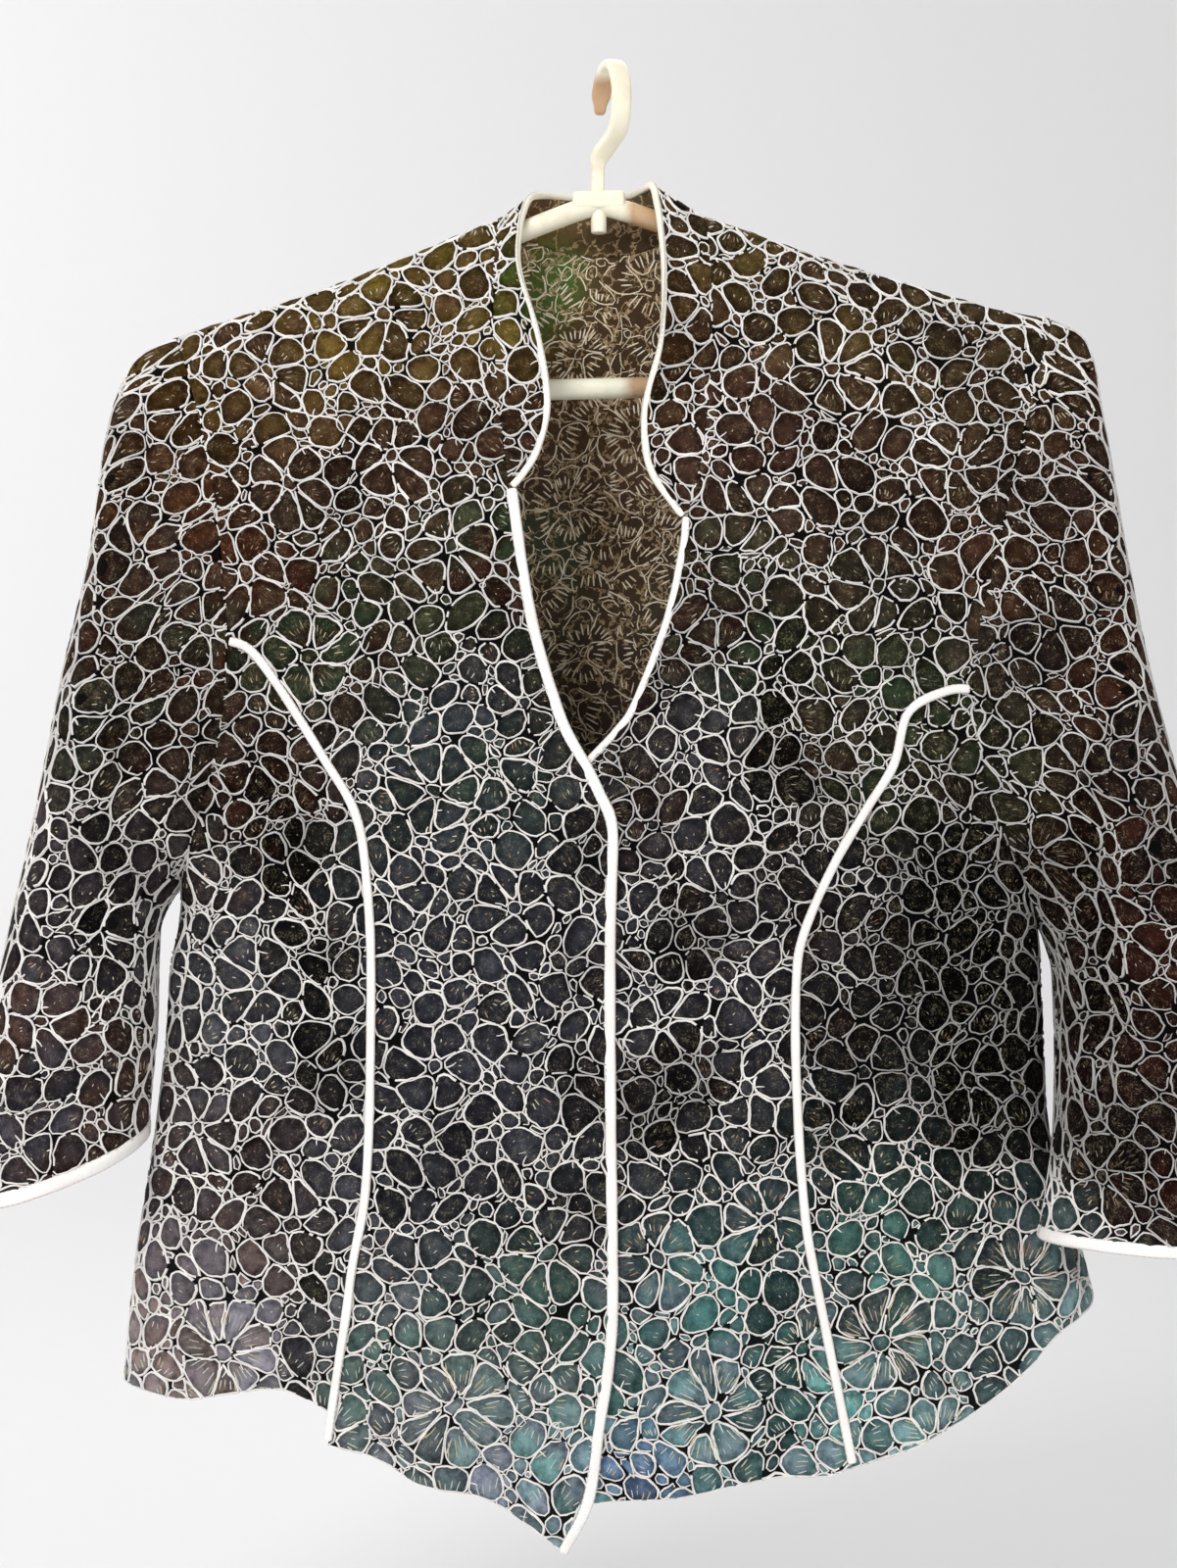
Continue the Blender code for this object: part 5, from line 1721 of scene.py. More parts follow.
FLOWERS = {
    "front_centre_right": (
        (-72, -628, 9, 15.5, 1.0), (-106, -122, 7, 13, 0.4), (-72, -231, 7, 13, 0.3), (-100, -190, 6, 12, 0.35),
        (-80, -470, 6, 13, 0.15), (-45, -395, 6, 12, 0.15), (-150, -200, 7, 13, 0.35), (-30, -560, 7, 13, 0.5),
        (-88, -560, 6, 12, 0.3), (-85, -340, 7, 13, 0.2), (-160, -150, 6, 12, 0.5), (-40, -300, 6, 11, 0.2),
    ),
    "front_centre_left": (
        (44, -628, 9, 15.5, 1.0), (107, -145, 7, 14, 0.5), (120, -250, 7, 13, 0.3), (68, -215, 6, 12, 0.3),
        (25, -454, 6, 12, 0.2), (60, -330, 6, 12, 0.25), (20, -560, 7, 13, 0.6), (70, -540, 7, 13, 0.6),
        (160, -190, 7, 13, 0.4), (50, -390, 6, 12, 0.2), (90, -600, 7, 12, 0.8), (62, -480, 6, 12, 0.25),
    ),
    "front_side_right": (
        (-180, -600, 9, 15, 0.9), (-165, -431, 6, 13, 0.3), (-190, -500, 7, 13, 0.3), (-150, -545, 6, 12, 0.4),
        (-165, -330, 6, 12, 0.2),
    ),
    "front_side_left": (
        (128, -596, 9, 15, 1.0), (188, -570, 9, 15, 1.0), (139, -422, 6, 12, 0.2), (180, -360, 6, 12, 0.2),
        (170, -480, 6, 12, 0.2), (120, -520, 6, 12, 0.4), (150, -640, 7, 12, 0.9),
    ),
}


class Grade(NamedTuple):
    """A size of the field's cells: least and greatest radius, and how hard it is tried to fit them."""

    small: float
    large: float
    tries: float


@dataclass(frozen=True)
class LaceChart:
    """The lace's chart: daisies in a half-drop repeat, and a field of rounded cells of four sizes."""

    pitch_u: float = 74.0
    pitch_v: float = 72.0
    petals: tuple[int, ...] = (5, 6, 6, 7)
    reach: float = 12.4
    heart_share: float = 0.3
    heart_size: float = 0.95
    margin: float = 9.0
    grades: tuple[Grade, ...] = (
        Grade(7.4, 9.0, 5.0),
        Grade(5.0, 6.4, 4.0),
        Grade(3.2, 4.2, 4.0),
        Grade(2.1, 2.7, 2.2),
    )
    packing: float = 0.86
    block: float = 22.0
    inset: float = 0.28
    loose_share: float = 0.24
    loose_inset: float = 0.95
    step: float = 2.3
    least_area: float = 5.0
    roughness: float = 0.2
    drift: float = 2.2
    drift_length: float = 37.0
    reach_spread: tuple[float, float] = (0.88, 1.12)
    flower_paleness: tuple[float, ...] = (0.1, 0.2, 0.35, 0.6)
    field_paleness: tuple[float, ...] = (0.05, 0.1, 0.2, 0.5)
    petal_shift: float = 0.13
    petal_reach: tuple[float, float] = (0.92, 1.1)
    petal_width: float = 1.12
    start_u: float = 16
    start_v: float = 20
    clear_share: float = 0.6
    pitch_spread: tuple[float, float] = (0.9, 1.1)
    limit_share: float = 1.75
    limit_more: float = 2
    limit_pull: float = 1.15
    limit_corners: int = 10
    inset_spread: tuple[float, float] = (0.7, 1.4)
    loose_spread: tuple[float, float] = (0.7, 1.3)

    def flower(self, u: float, v: float, dice: random.Random, spot: Optional[FlowerSpot]) -> list[Seed]:
        """Returns the seeds of one daisy.

        Args:
            u: The place across the flat cut.
            v: The place down the flat cut.
            dice: The source of chance.
            spot: The place or places.

        Returns:
            The seeds.
        """
        petals = spot.petals if spot else dice.choice(self.petals)
        reach = spot.reach if spot else self.reach * dice.uniform(*self.reach_spread)
        pale = spot.paleness if spot else dice.choice(self.flower_paleness)
        turn = dice.uniform(0, math.tau)
        heart = reach * self.heart_share
        seeds = [Seed(u, v, heart, Part.HEART, turn, pale, heart)]
        pull = math.sqrt(reach**2 + heart**2 - 2 * reach * heart * self.heart_size)
        for i in range(petals):
            angle = turn + math.tau * (i + dice.uniform(-self.petal_shift, self.petal_shift)) / petals
            away = reach * dice.uniform(*self.petal_reach)
            wide = reach * math.sin(math.pi / petals) * self.petal_width
            petal_u, petal_v = u + away * math.cos(angle), v + away * math.sin(angle)
            seeds.append(Seed(petal_u, petal_v, wide, Part.PETAL, angle, pale, pull))
        return seeds

    def is_field(self, u: float, v: float, centres: list[tuple[float, float, Optional[FlowerSpot]]]) -> bool:
        """Says whether a place is outside all the daisies.

        Args:
            u: The place across the flat cut.
            v: The place down the flat cut.
            centres: The daisies' middles, each with its spot if it has one.

        Returns:
            Whether it is.
        """
        return all(
            (u - place_u) ** 2 + (v - place_v) ** 2 > (spot.reach if spot else self.reach) ** 2
            for place_u, place_v, spot in centres
        )

    def key(self, u: float, v: float) -> tuple[int, int]:
        """Returns the block of the plane that a place is in."""
        return int(u // self.block), int(v // self.block)

    def seeds(self, cloth: ClothGrid, name: str, dice: random.Random) -> list[Seed]:
        """Returns all the seeds of a cut: placed daisies, the repeat, and the field between them.

        Args:
            cloth: The cut's cloth.
            name: The name.
            dice: The source of chance.

        Returns:
            The seeds.
        """
        low = cloth.flat.reshape(-1, 2).min(axis=0) - self.margin
        high = cloth.flat.reshape(-1, 2).max(axis=0) + self.margin
        centres: list[tuple[float, float, Optional[FlowerSpot]]] = []
        for row in FLOWERS.get(name, ()):
            spot = FlowerSpot(*row)
            centres.append((*cloth.flat_of(spot.x, spot.z), spot))
        v, odd = low[1] + dice.uniform(0, self.start_v), False
        while v < high[1]:
            u = low[0] + dice.uniform(0, self.start_u) + (self.pitch_u / 2 if odd else 0)
            while u < high[0]:
                clear = all(math.hypot(u - c[0], v - c[1]) > self.clear_share * self.pitch_u for c in centres)
                if clear and cloth.is_near(u, v, self.margin):
                    centres.append((u, v, None))
                u += self.pitch_u * dice.uniform(*self.pitch_spread)
            v, odd = v + self.pitch_v * 0.5, not odd
        blocks: dict[tuple[int, int], list[Seed]] = {}
        every: list[Seed] = []

        def room(u: float, v: float, radius: float) -> bool:
            """Says whether a cell of that radius has room at a place."""
            column, row = self.key(u, v)
            for i in (column - 1, column, column + 1):
                for j in (row - 1, row, row + 1):
                    for seed in blocks.get((i, j), ()):
                        nearest = self.packing * (seed.radius + radius)
                        if (seed.u - u) ** 2 + (seed.v - v) ** 2 < nearest**2:
                            return False
            return True

        def keep(seed: Seed) -> None:
            """Adds a seed to the list and to its block."""
            every.append(seed)
            blocks.setdefault(self.key(seed.u, seed.v), []).append(seed)

        for u, v, spot in centres:
            for seed in self.flower(u, v, dice, spot):
                keep(seed)
        area = (high[0] - low[0]) * (high[1] - low[1])
        for grade in self.grades:
            for _ in range(int(grade.tries * area / (grade.small**2 * 3))):
                u, v = dice.uniform(low[0], high[0]), dice.uniform(low[1], high[1])
                radius = dice.uniform(grade.small, grade.large)
                if room(u, v, radius) and cloth.is_near(u, v, self.margin) and self.is_field(u, v, centres):
                    axis, pale = dice.uniform(0, math.tau), dice.choice(self.field_paleness)
                    keep(Seed(u, v, radius, Part.FIELD, axis, pale, radius))
        return every

    def cells(self, every: list[Seed], dice: random.Random) -> list[tuple[Seed, np.ndarray]]:
        """Returns each seed with the smooth outline of its cell.

        Args:
            every: The seeds.
            dice: The source of chance.

        Returns:
            The seeds and their outlines.
        """
        blocks: dict[tuple[int, int], list[Seed]] = {}
        for seed in every:
            blocks.setdefault(self.key(seed.u, seed.v), []).append(seed)
        made = []
        for seed in every:
            column, row = self.key(seed.u, seed.v)
            near = [s for i in (-1, 0, 1) for j in (-1, 0, 1) for s in blocks.get((column + i, row + j), ())]
            near = [s for s in near if s is not seed]
            near.sort(key=lambda s: (s.u - seed.u) ** 2 + (s.v - seed.v) ** 2)
            limit = max(seed.radius * self.limit_share + self.limit_more, seed.pull * self.limit_pull)
            angles = [math.tau * k / self.limit_corners for k in range(self.limit_corners)]
            corners = [(limit * math.cos(angle), limit * math.sin(angle)) for angle in angles]
            gap = self.inset * dice.uniform(*self.inset_spread)
            if dice.random() < self.loose_share:
                gap = self.loose_inset * dice.uniform(*self.loose_spread)
            for other in near:
                du, dv = other.u - seed.u, other.v - seed.v
                distance = math.hypot(du, dv)
                if distance > 2 * limit:
                    break
                offset = (distance**2 + seed.pull**2 - other.pull**2) / (2 * distance) - gap
                corners = clipped(corners, du / distance, dv / distance, offset)
                if len(corners) < 3:
                    break
            if len(corners) < 3:
                continue
            ring = rounded(np.array(corners), self.step)
            if ring_area(ring) < self.least_area:
                continue
            ring += [(dice.gauss(0, self.roughness), dice.gauss(0, self.roughness)) for _ in ring]
            made.append((seed, self.drifted(ring + (seed.u, seed.v))))
        return made

    def drifted(self, places: np.ndarray) -> np.ndarray:
        """Moves places along slow waves, so that the cells lean and stretch differently across the cloth.

        Args:
            places: The places.

        Returns:
            The moved places.
        """
        u, v = places[:, 0] / self.drift_length, places[:, 1] / self.drift_length
        wave_u = np.sin(v * 5.1 + 1.3 * np.sin(u * 2.3))
        wave_v = np.sin(u * 4.7 + 1.1 * np.sin(v * 2.9 + 1))
        shift = np.stack([wave_u, wave_v], axis=1)
        return places + self.drift * shift


def clipped(corners: list[tuple[float, float]], nx: float, ny: float, offset: float) -> list[tuple[float, float]]:
    """Returns the part of a polygon on the near side of a line.

    Args:
        corners: The polygon's corners.
        nx: The line's normal, first part.
        ny: The line's normal, second part.
        offset: How far the line is from the origin.

    Returns:
        The corners that are left.
    """
    result = []
    last = corners[-1]
    last_off = last[0] * nx + last[1] * ny - offset
    for corner in corners:
        off = corner[0] * nx + corner[1] * ny - offset
        if (off > 0) != (last_off > 0):
            part = last_off / (last_off - off)
            result.append((last[0] + (corner[0] - last[0]) * part, last[1] + (corner[1] - last[1]) * part))
        if off <= 0:
            result.append(corner)
        last, last_off = corner, off
    return result


def rounded(corners: np.ndarray, step: float) -> np.ndarray:
    """Returns a closed ring with its corners cut round and its points a step apart.

    Args:
        corners: The polygon's corners.
        step: The distance between points.

    Returns:
        The ring.
    """
    for _ in range(2):
        after = np.roll(corners, -1, axis=0)
        near, far = 0.75 * corners + 0.25 * after, 0.25 * corners + 0.75 * after
        corners = np.stack([near, far], axis=1).reshape(-1, 2)
    closed = np.concatenate([corners, corners[:1]])
    lengths = run_lengths(closed)
    count = int(np.clip(round(lengths[-1] / step), 6, 30))
    at = np.linspace(0, lengths[-1], count, endpoint=False)
    return np.stack([np.interp(at, lengths, closed[:, 0]), np.interp(at, lengths, closed[:, 1])], axis=1)


def ring_area(ring: np.ndarray) -> float:
    """Returns the area in a ring."""
    after = np.roll(ring, -1, axis=0)
    return float(abs((ring[:, 0] * after[:, 1] - ring[:, 1] * after[:, 0]).sum()) / 2)


class Stroke(Enum):
    """A short open line inside a cell."""

    SPUR = "spur"
    THREAD = "thread"


PALE_THREADS = (
    Srgb(222, 210, 170), Srgb(186, 152, 118), Srgb(226, 220, 202), Srgb(176, 166, 144), Srgb(190, 138, 116),
)
HEM_THREADS = (
    Srgb(226, 230, 214), Srgb(214, 222, 218), Srgb(216, 200, 160), Srgb(206, 214, 190), Srgb(236, 238, 232),
)


@dataclass
class Strand:
    """Lines of points on the cloth: for each point the ones before and after, and whether its cord is made."""

    points: np.ndarray
    normals: np.ndarray
    before: np.ndarray
    after: np.ndarray
    used: np.ndarray
    widths: np.ndarray
    tint: Optional[np.ndarray] = None

    def joined(self, other: "Strand") -> "Strand":
        """Returns these lines with another set's.

        Args:
            other: The other set.

        Returns:
            The lines of both.
        """
        shift = len(self.points)
        return Strand(
            np.concatenate([self.points, other.points]),
            np.concatenate([self.normals, other.normals]),
            np.concatenate([self.before, other.before + shift]),
            np.concatenate([self.after, other.after + shift]),
            np.concatenate([self.used, other.used]),
            np.concatenate([self.widths, other.widths]),
        )


@dataclass(frozen=True)
class CellLook:
    """How the fills of the cells are raised and tinted; lengths in millimetres."""

    lift: float = 0.03
    dome: float = 0.5
    full_radius: float = 6.0
    least_dome: float = 0.4
    most_dome: float = 1.2
    colour_lean: float = 1.3
    second_shade: float = 0.8
    hollow_shade: float = 0.17
    darkest_fold_shade: float = 0.2
    least_glow: float = 0.5
    glow_range: float = 0.75
    body_glow: float = 0.8
    hem_glow: float = 0.95
    hem_start: float = 520.0
    hem_reach: float = 90.0
    weave_shift: float = 40.0


@dataclass(frozen=True)
class CordLook:
    """The sizes of the raised cords in millimetres, and shares of them."""

    width: float = 1.08
    height: float = 0.6
    crown: float = 0.42
    fine: float = 0.62
    stout_radius: float = 6.5
    least_width: float = 0.8
    width_range: float = 0.45
    uneven: tuple[float, float] = (0.78, 1.22)
    shaded_width: float = 0.7
    break_share: float = 0.045
    thread_base: float = 0.2
    thread_height: float = 0.6
    float_height: float = 0.5
    float_width: float = 0.95
    float_share: float = 0.8
    float_paleness: float = 0.8
    float_stroke: float = 1.5


@dataclass(frozen=True)
class StrokeLook:
    """The short lines inside the larger cells, mostly as shares of a cell's radius."""

    least_radius: float = 4.2
    steps: tuple[float, ...] = (0, 0.34, 0.67, 1)
    end_width: float = 0.5
    middle_width: float = 0.85
    spur_share: float = 0.4
    spur_run: tuple[float, float] = (0.3, 0.62)
    spur_turn: float = 0.5
    most_threads: int = 5
    dark_chance: float = 0.12
    hem_start: float = 560.0
    hem_reach: float = 60.0
    hem_paleness: float = 0.7
    hem_threads: float = 4.6
    least_length: float = 0.14
    length_range: float = 0.95
    length_spread: tuple[float, float] = (0.55, 1.15)
    spacing: float = 0.3
    scatter: float = 0.35
    start_range: float = 0.35
    bend: float = 0.35


CELL_LOOK = CellLook()
CORD_LOOK = CordLook()
STROKE_LOOK = StrokeLook()


@dataclass
class CellMap:
    """The cells of a cut, charted flat and placed on its hung cloth."""

    cells: list[tuple[Seed, np.ndarray]]
    cloth: ClothGrid

    def __post_init__(self) -> None:
        """Joins the rings of the cells and places them."""
        counts = np.array([len(ring) for _, ring in self.cells])
        starts = np.concatenate([[0], np.cumsum(counts)[:-1]])
        self.rings = np.concatenate([ring for _, ring in self.cells])
        self.total = len(self.rings)
        self.owner = np.repeat(np.arange(len(self.cells)), counts)
        self.after = np.arange(self.total) + 1
        self.after[starts + counts - 1] = starts
        self.before = np.arange(self.total) - 1
        self.before[starts] = starts + counts - 1
        self.points, self.normals, self.inside, self.past_hem, _ = self.cloth.place(self.rings)
        self.centres = np.stack([np.bincount(self.owner, self.rings[:, k]) / counts for k in (0, 1)], axis=1)
        self.hearts, self.heart_normals, _, _, self.rise = self.cloth.place(self.centres)
        self.keep = (np.bincount(self.owner, self.inside.astype(float)) > 0)[self.owner]
        self.off = self.rings - self.centres[self.owner]
        self.reach = np.bincount(self.owner, np.hypot(self.off[:, 0], self.off[:, 1])) / counts

    def brightness_and_fold_shade(self, numbers: np.ndarray) -> np.ndarray:
        """Returns how bright each fill is: painted shade darkens it in the troughs of the folds, and it is brighter
        near the hem.

        Args:
            numbers: A random number for each cell.

        Returns:
            The brightness as a column.
        """
        look = CELL_LOOK
        # Painted shade: the fill darkens where the folds sink in.
        fold_shade = np.clip(1 + look.hollow_shade * np.minimum(self.rise, 0), look.darkest_fold_shade, 1)
        low_down = smooth_step((-self.hearts[:, 2] - look.hem_start) / look.hem_reach)
        level = look.body_glow + look.hem_glow * low_down
        return ((look.least_glow + look.glow_range * np.roll(numbers, 1)) * fold_shade * level)[:, None]


@dataclass
class LaceCloth:
    """A cut piece of the lace: its shell, the fill of its cells and the raised cord round each."""

    name: str
    node: str
    cloth: ClothGrid
    rests_on: tuple[str, ...]
    wardrobe: Wardrobe
    half: float = 0.6
    shell_out: float = 0.1
    shell_shade: float = 0.4
    inner_shade: float = 2.4
    open_hem: bool = True
    chart: LaceChart = LaceChart()
    inside_box: Optional[tuple[float, float, float, float]] = None

    def shell(self) -> bpy.types.Object:
        """Makes the closed shell with the ground outside and the wrong side inside."""
        grid, normals = self.cloth.points, self.cloth.normals
        rows, columns = grid.shape[:2]
        used = columns - 1 if self.cloth.tube else columns
        outer = (grid + normals * self.shell_out)[:, :used].reshape(-1, 3)
        inner = (grid - normals * self.half)[:, :used].reshape(-1, 3)
        index = np.arange(rows * used).reshape(rows, used)
        if self.cloth.tube:
            index = np.concatenate([index, index[:, :1]], axis=1)
        corners = (index[:-1, :-1], index[:-1, 1:], index[1:, 1:], index[1:, :-1])
        front = np.stack([part.ravel() for part in corners], axis=1)
        count = len(outer)
        rims = [(index[0], True), (index[-1], False)]
        if not self.cloth.tube:
            rims += [(index[:, 0], False), (index[:, -1], True)]
        edges = []
        for rim, turned in rims:
            quad = np.stack([rim[:-1], rim[1:], rim[1:] + count, rim[:-1] + count], axis=1)
            edges.append(quad if not turned else quad[:, ::-1])
        faces = np.concatenate([front, front[:, ::-1] + count, *edges])
        place = outer[front[0]]
        if np.dot(np.cross(place[1] - place[0], place[2] - place[0]), normals[0, 0]) < 0:
            faces = faces[:, ::-1]
        both = np.concatenate([outer, inner])
        tint = DYE_AND_SHADE.colour(both[:, 0], both[:, 2]) * self.shell_shade
        tint[count:] *= self.inner_shade / self.shell_shade
        flat = np.tile(self.cloth.flat[:, :used].reshape(-1, 2), (2, 1)) / MM_PER_CM
        thing = make_mesh(f"cloth_{self.name}", both, faces, {"tint": tint}, flat)
        side = np.zeros(len(faces), dtype=np.int32)
        side[len(front):2 * len(front)] = 1
        thing.data.polygons.foreach_set("material_index", side)
        return finish_piece(thing, Slot.CLOTH, [self.wardrobe.ground, self.wardrobe.wrong], [self.node])

    def fill(self, charted: CellMap, numbers: np.ndarray) -> bpy.types.Object:
        """Makes the padded, dyed fill of each cell.

        Args:
            charted: The placed cells.
            numbers: A random number for each cell.

        Returns:
            The piece.
        """
        look, owner, off = CELL_LOOK, charted.owner, charted.off
        paleness = np.array([seed.paleness for seed, _ in charted.cells])
        axis = np.array([seed.axis for seed, _ in charted.cells])
        lean = (numbers - 0.5) * look.colour_lean
        brightness_and_fold_shade = charted.brightness_and_fold_shade(numbers)
        hearts = charted.hearts
        tint = DYE_AND_SHADE.colour(hearts[:, 0], hearts[:, 2], lean) * brightness_and_fold_shade
        other_tint = DYE_AND_SHADE.colour(hearts[:, 0], hearts[:, 2], -lean) * brightness_and_fold_shade * look.second_shade
        across = -off[:, 0] * np.sin(axis[owner]) + off[:, 1] * np.cos(axis[owner])
        along = off[:, 0] * np.cos(axis[owner]) + off[:, 1] * np.sin(axis[owner])
        size = np.clip(charted.reach / look.full_radius, look.least_dome, look.most_dome)[:, None]
        end = smooth_step(along / charted.reach[owner] * 0.5 + 0.5)[:, None]
        ring_tint = tint[owner] * end + other_tint[owner] * (1 - end)
        rim = charted.points + charted.normals * (self.half + look.lift)
        crown = hearts + charted.heart_normals * (self.half + look.lift + look.dome * size)
        shift = numbers * look.weave_shift
        threads = np.stack([across / MM_PER_CM + shift[owner], along / MM_PER_CM + shift[owner]], axis=1)
        total = charted.total
        fans = np.stack([owner + total, np.arange(total), charted.after], axis=1)[charted.keep]
        heart = fans[0, 0] - total
        if np.dot(np.cross(*(rim[fans[0, 1:]] - crown[heart])), charted.heart_normals[heart]) < 0:
            fans = fans[:, ::-1]
        # The third mark is 1 at a cell's middle and 0 at its rim; the petals' material paints shade by it.
        marks = np.stack([numbers, paleness, np.ones(len(numbers))], axis=1)
        colours = {
            "tint": np.concatenate([ring_tint, tint]),
            "cell": np.concatenate([marks[owner] * (1, 1, 0), marks]),
        }
        middles = np.stack([shift, shift], axis=1)
        made = make_mesh(
            f"petals_{self.name}", np.concatenate([rim, crown]), fans, colours, np.concatenate([threads, middles])
        )
        self.drop_loose(made)
        return finish_piece(made, Slot.CLOTH, [self.wardrobe.petals])

    def outline(self, charted: CellMap, numbers: np.ndarray, dice: random.Random) -> Strand:
        """Returns the cords round the cells, uneven in width and broken here and there.

        Args:
            charted: The placed cells.
            numbers: A random number for each cell.
            dice: The source of chance.

        Returns:
            The lines.
        """
        look, inside, past_hem, after = CORD_LOOK, charted.inside, charted.past_hem, charted.after
        stout = look.fine + (1 - look.fine) * np.clip(charted.reach / look.stout_radius, 0, 1)
        widths = look.width * ((look.least_width + look.width_range * numbers) * stout)[charted.owner]
        widths = widths * np.array([dice.uniform(*look.uneven) for _ in range(charted.total)])
        both_out = ~(inside | inside[after])
        used = charted.keep & (~both_out | (past_hem & past_hem[after] & self.open_hem))
        used &= np.array([dice.random() > look.break_share for _ in range(charted.total)])
        return Strand(charted.points, charted.normals, charted.before, after, used, widths)

    def floats(self, charted: CellMap, outline: Strand, dice: random.Random) -> Strand:
        """Returns the threads that show on the wrong side, inside the box that the neck opens.

        Args:
            charted: The placed cells.
            outline: The cords round them.
            dice: The source of chance.

        Returns:
            The lines.
        """
        look = CORD_LOOK
        low_x, low_z, high_x, high_z = self.inside_box

        def seen(points: np.ndarray) -> np.ndarray:
            """Tells which points lie in the box."""
            x, z = points[:, 0], points[:, 2]
            return (x > low_x) & (x < high_x) & (z > low_z) & (z < high_z)

        chosen = np.array([dice.random() < look.float_share for _ in range(charted.total)])
        shown = seen(charted.points) & chosen
        lines = replace(outline, used=outline.used & shown, widths=outline.widths * look.float_width)
        cells = [(replace(seed, paleness=look.float_paleness), ring) for seed, ring in charted.cells]
        strokes = self.strokes(replace(charted, cells=cells), dice, Stroke.THREAD)
        strokes.used &= seen(strokes.points)
        strokes.widths *= look.float_stroke
        return lines.joined(strokes)

    def lace(self) -> list[bpy.types.Object]:
        """Makes the fill, the cords and the loose threads of all the cells that lie on the cut."""
        look, finishes = CORD_LOOK, self.wardrobe
        dice = random.Random(self.name)
        charted = CellMap(self.chart.cells(self.chart.seeds(self.cloth, self.name, dice), dice), self.cloth)
        numbers = np.array([dice.random() for _ in charted.cells])
        pieces = [self.fill(charted, numbers)]
        outline = self.outline(charted, numbers, dice)
        raised = outline.joined(self.strokes(charted, dice, Stroke.SPUR))
        pieces.append(self.cords(f"cords_{self.name}", raised, self.half, look.height, 1, finishes.cord))
        threads = self.strokes(charted, dice, Stroke.THREAD)
        base, height = self.half + look.thread_base, look.height * look.thread_height
        pieces.append(self.cords(f"threads_{self.name}", threads, base, height, 1, finishes.thread))
        if self.inside_box:
            floats = self.floats(charted, outline, dice)
            height = look.height * look.float_height
            pieces.append(self.cords(f"floats_{self.name}", floats, self.half, height, -1, finishes.float_cord))
        return pieces

    def strokes(self, charted: CellMap, dice: random.Random, kind: Stroke) -> Strand:
        """Makes short open lines inside the larger cells: spurs of cord from the outline, or loose threads.

        Args:
            charted: The placed cells.
            dice: The source of chance.
            kind: Which lines.

        Returns:
            The lines.
        """
        look = STROKE_LOOK
        lines: list[np.ndarray] = []
        tints: list[np.ndarray] = []
        for number, (seed, ring) in enumerate(charted.cells):
            radius, middle = charted.reach[number], charted.centres[number]
            if radius < look.least_radius or seed.part is Part.HEART:
                continue
            if kind is Stroke.SPUR:
                lines += self.spur(ring, middle, dice)
                continue
            low_down = smooth_step((-charted.hearts[number][2] - look.hem_start) / look.hem_reach)
            for line in self.loose_threads(seed, middle, radius, float(low_down), dice):
                lines.append(line)
                pale = dice.choice(PALE_THREADS).linear()
                tints.append(pale * (1 - low_down) + dice.choice(HEM_THREADS).linear() * low_down)
        size = len(look.steps)
        flat = np.concatenate(lines) if lines else np.zeros((0, 2))
        points, normals, inside, _, _ = self.cloth.place(flat)
        order = np.arange(len(flat))
        first, last = order % size == 0, order % size == size - 1
        before = np.where(first, order, order - 1)
        after = np.where(last, order, order + 1)
        widths = CORD_LOOK.width * np.where(first | last, look.end_width, look.middle_width)
        made = Strand(points, normals, before, after, inside & inside[after] & ~last, widths)
        made.tint = np.repeat(np.array(tints), size, axis=0) if tints else None
        return made

    @staticmethod
    def spur(ring: np.ndarray, middle: np.ndarray, dice: random.Random) -> list[np.ndarray]:
        """Draws a spur from a cell's outline towards its middle, or none.

        Args:
            ring: The cell's outline.
            middle: Its middle.
            dice: The source of chance.

        Returns:
            No line or one.
        """
        look = STROKE_LOOK
        if dice.random() >= look.spur_share:
            return []
        start = ring[dice.randrange(len(ring))]
        run = (middle - start) * dice.uniform(*look.spur_run)
        turn = np.array([-run[1], run[0]]) * dice.uniform(-look.spur_turn, look.spur_turn)
        return [np.array([start + run * t + turn * t * t for t in look.steps])]

    @staticmethod
    def loose_threads(
        seed: Seed, middle: np.ndarray, radius: float, low_down: float, dice: random.Random
    ) -> Iterable[np.ndarray]:
        """Draws the threads that lie side by side in a cell, one at a time.

        Args:
            seed: The cell's seed.
            middle: Its middle.
            radius: Its mean radius.
            low_down: How near it is to the hem, from 0 to 1.
            dice: The source of chance.

        Yields:
            The lines.
        """
        look = STROKE_LOOK
        chance = look.dark_chance + (1 - look.dark_chance) * seed.paleness
        count = sum(dice.random() < chance for _ in range(look.most_threads))
        way = np.array([math.cos(seed.axis), math.sin(seed.axis)])
        side = np.array([-way[1], way[0]])
        pale_part = max(seed.paleness, look.hem_paleness * low_down)
        count = max(count, int(look.hem_threads * low_down))
        for k in range(count):
            grown = look.length_range * pale_part**2 * dice.uniform(*look.length_spread)
            length = radius * (look.least_length + grown)
            spread = (k - (count - 1) / 2) * radius * look.spacing + dice.gauss(0, look.scatter)
            back = radius * dice.uniform(0.0, look.start_range) + length * 0.5
            start = middle + side * spread - way * back
            bend = side * spread * look.bend
            yield np.array([start + way * length * t + bend * t for t in look.steps])

    @staticmethod
    def drop_loose(thing: bpy.types.Object) -> None:
        """Deletes the points that no face uses.

        Args:
            thing: The object.
        """
        bpy.ops.object.select_all(action="DESELECT")
        thing.select_set(True)
        bpy.context.view_layer.objects.active = thing
        bpy.ops.object.mode_set(mode="EDIT")
        bpy.ops.mesh.select_all(action="SELECT")
        bpy.ops.mesh.delete_loose(use_verts=True, use_edges=True, use_faces=False)
        bpy.ops.object.mode_set(mode="OBJECT")
        thing.select_set(False)

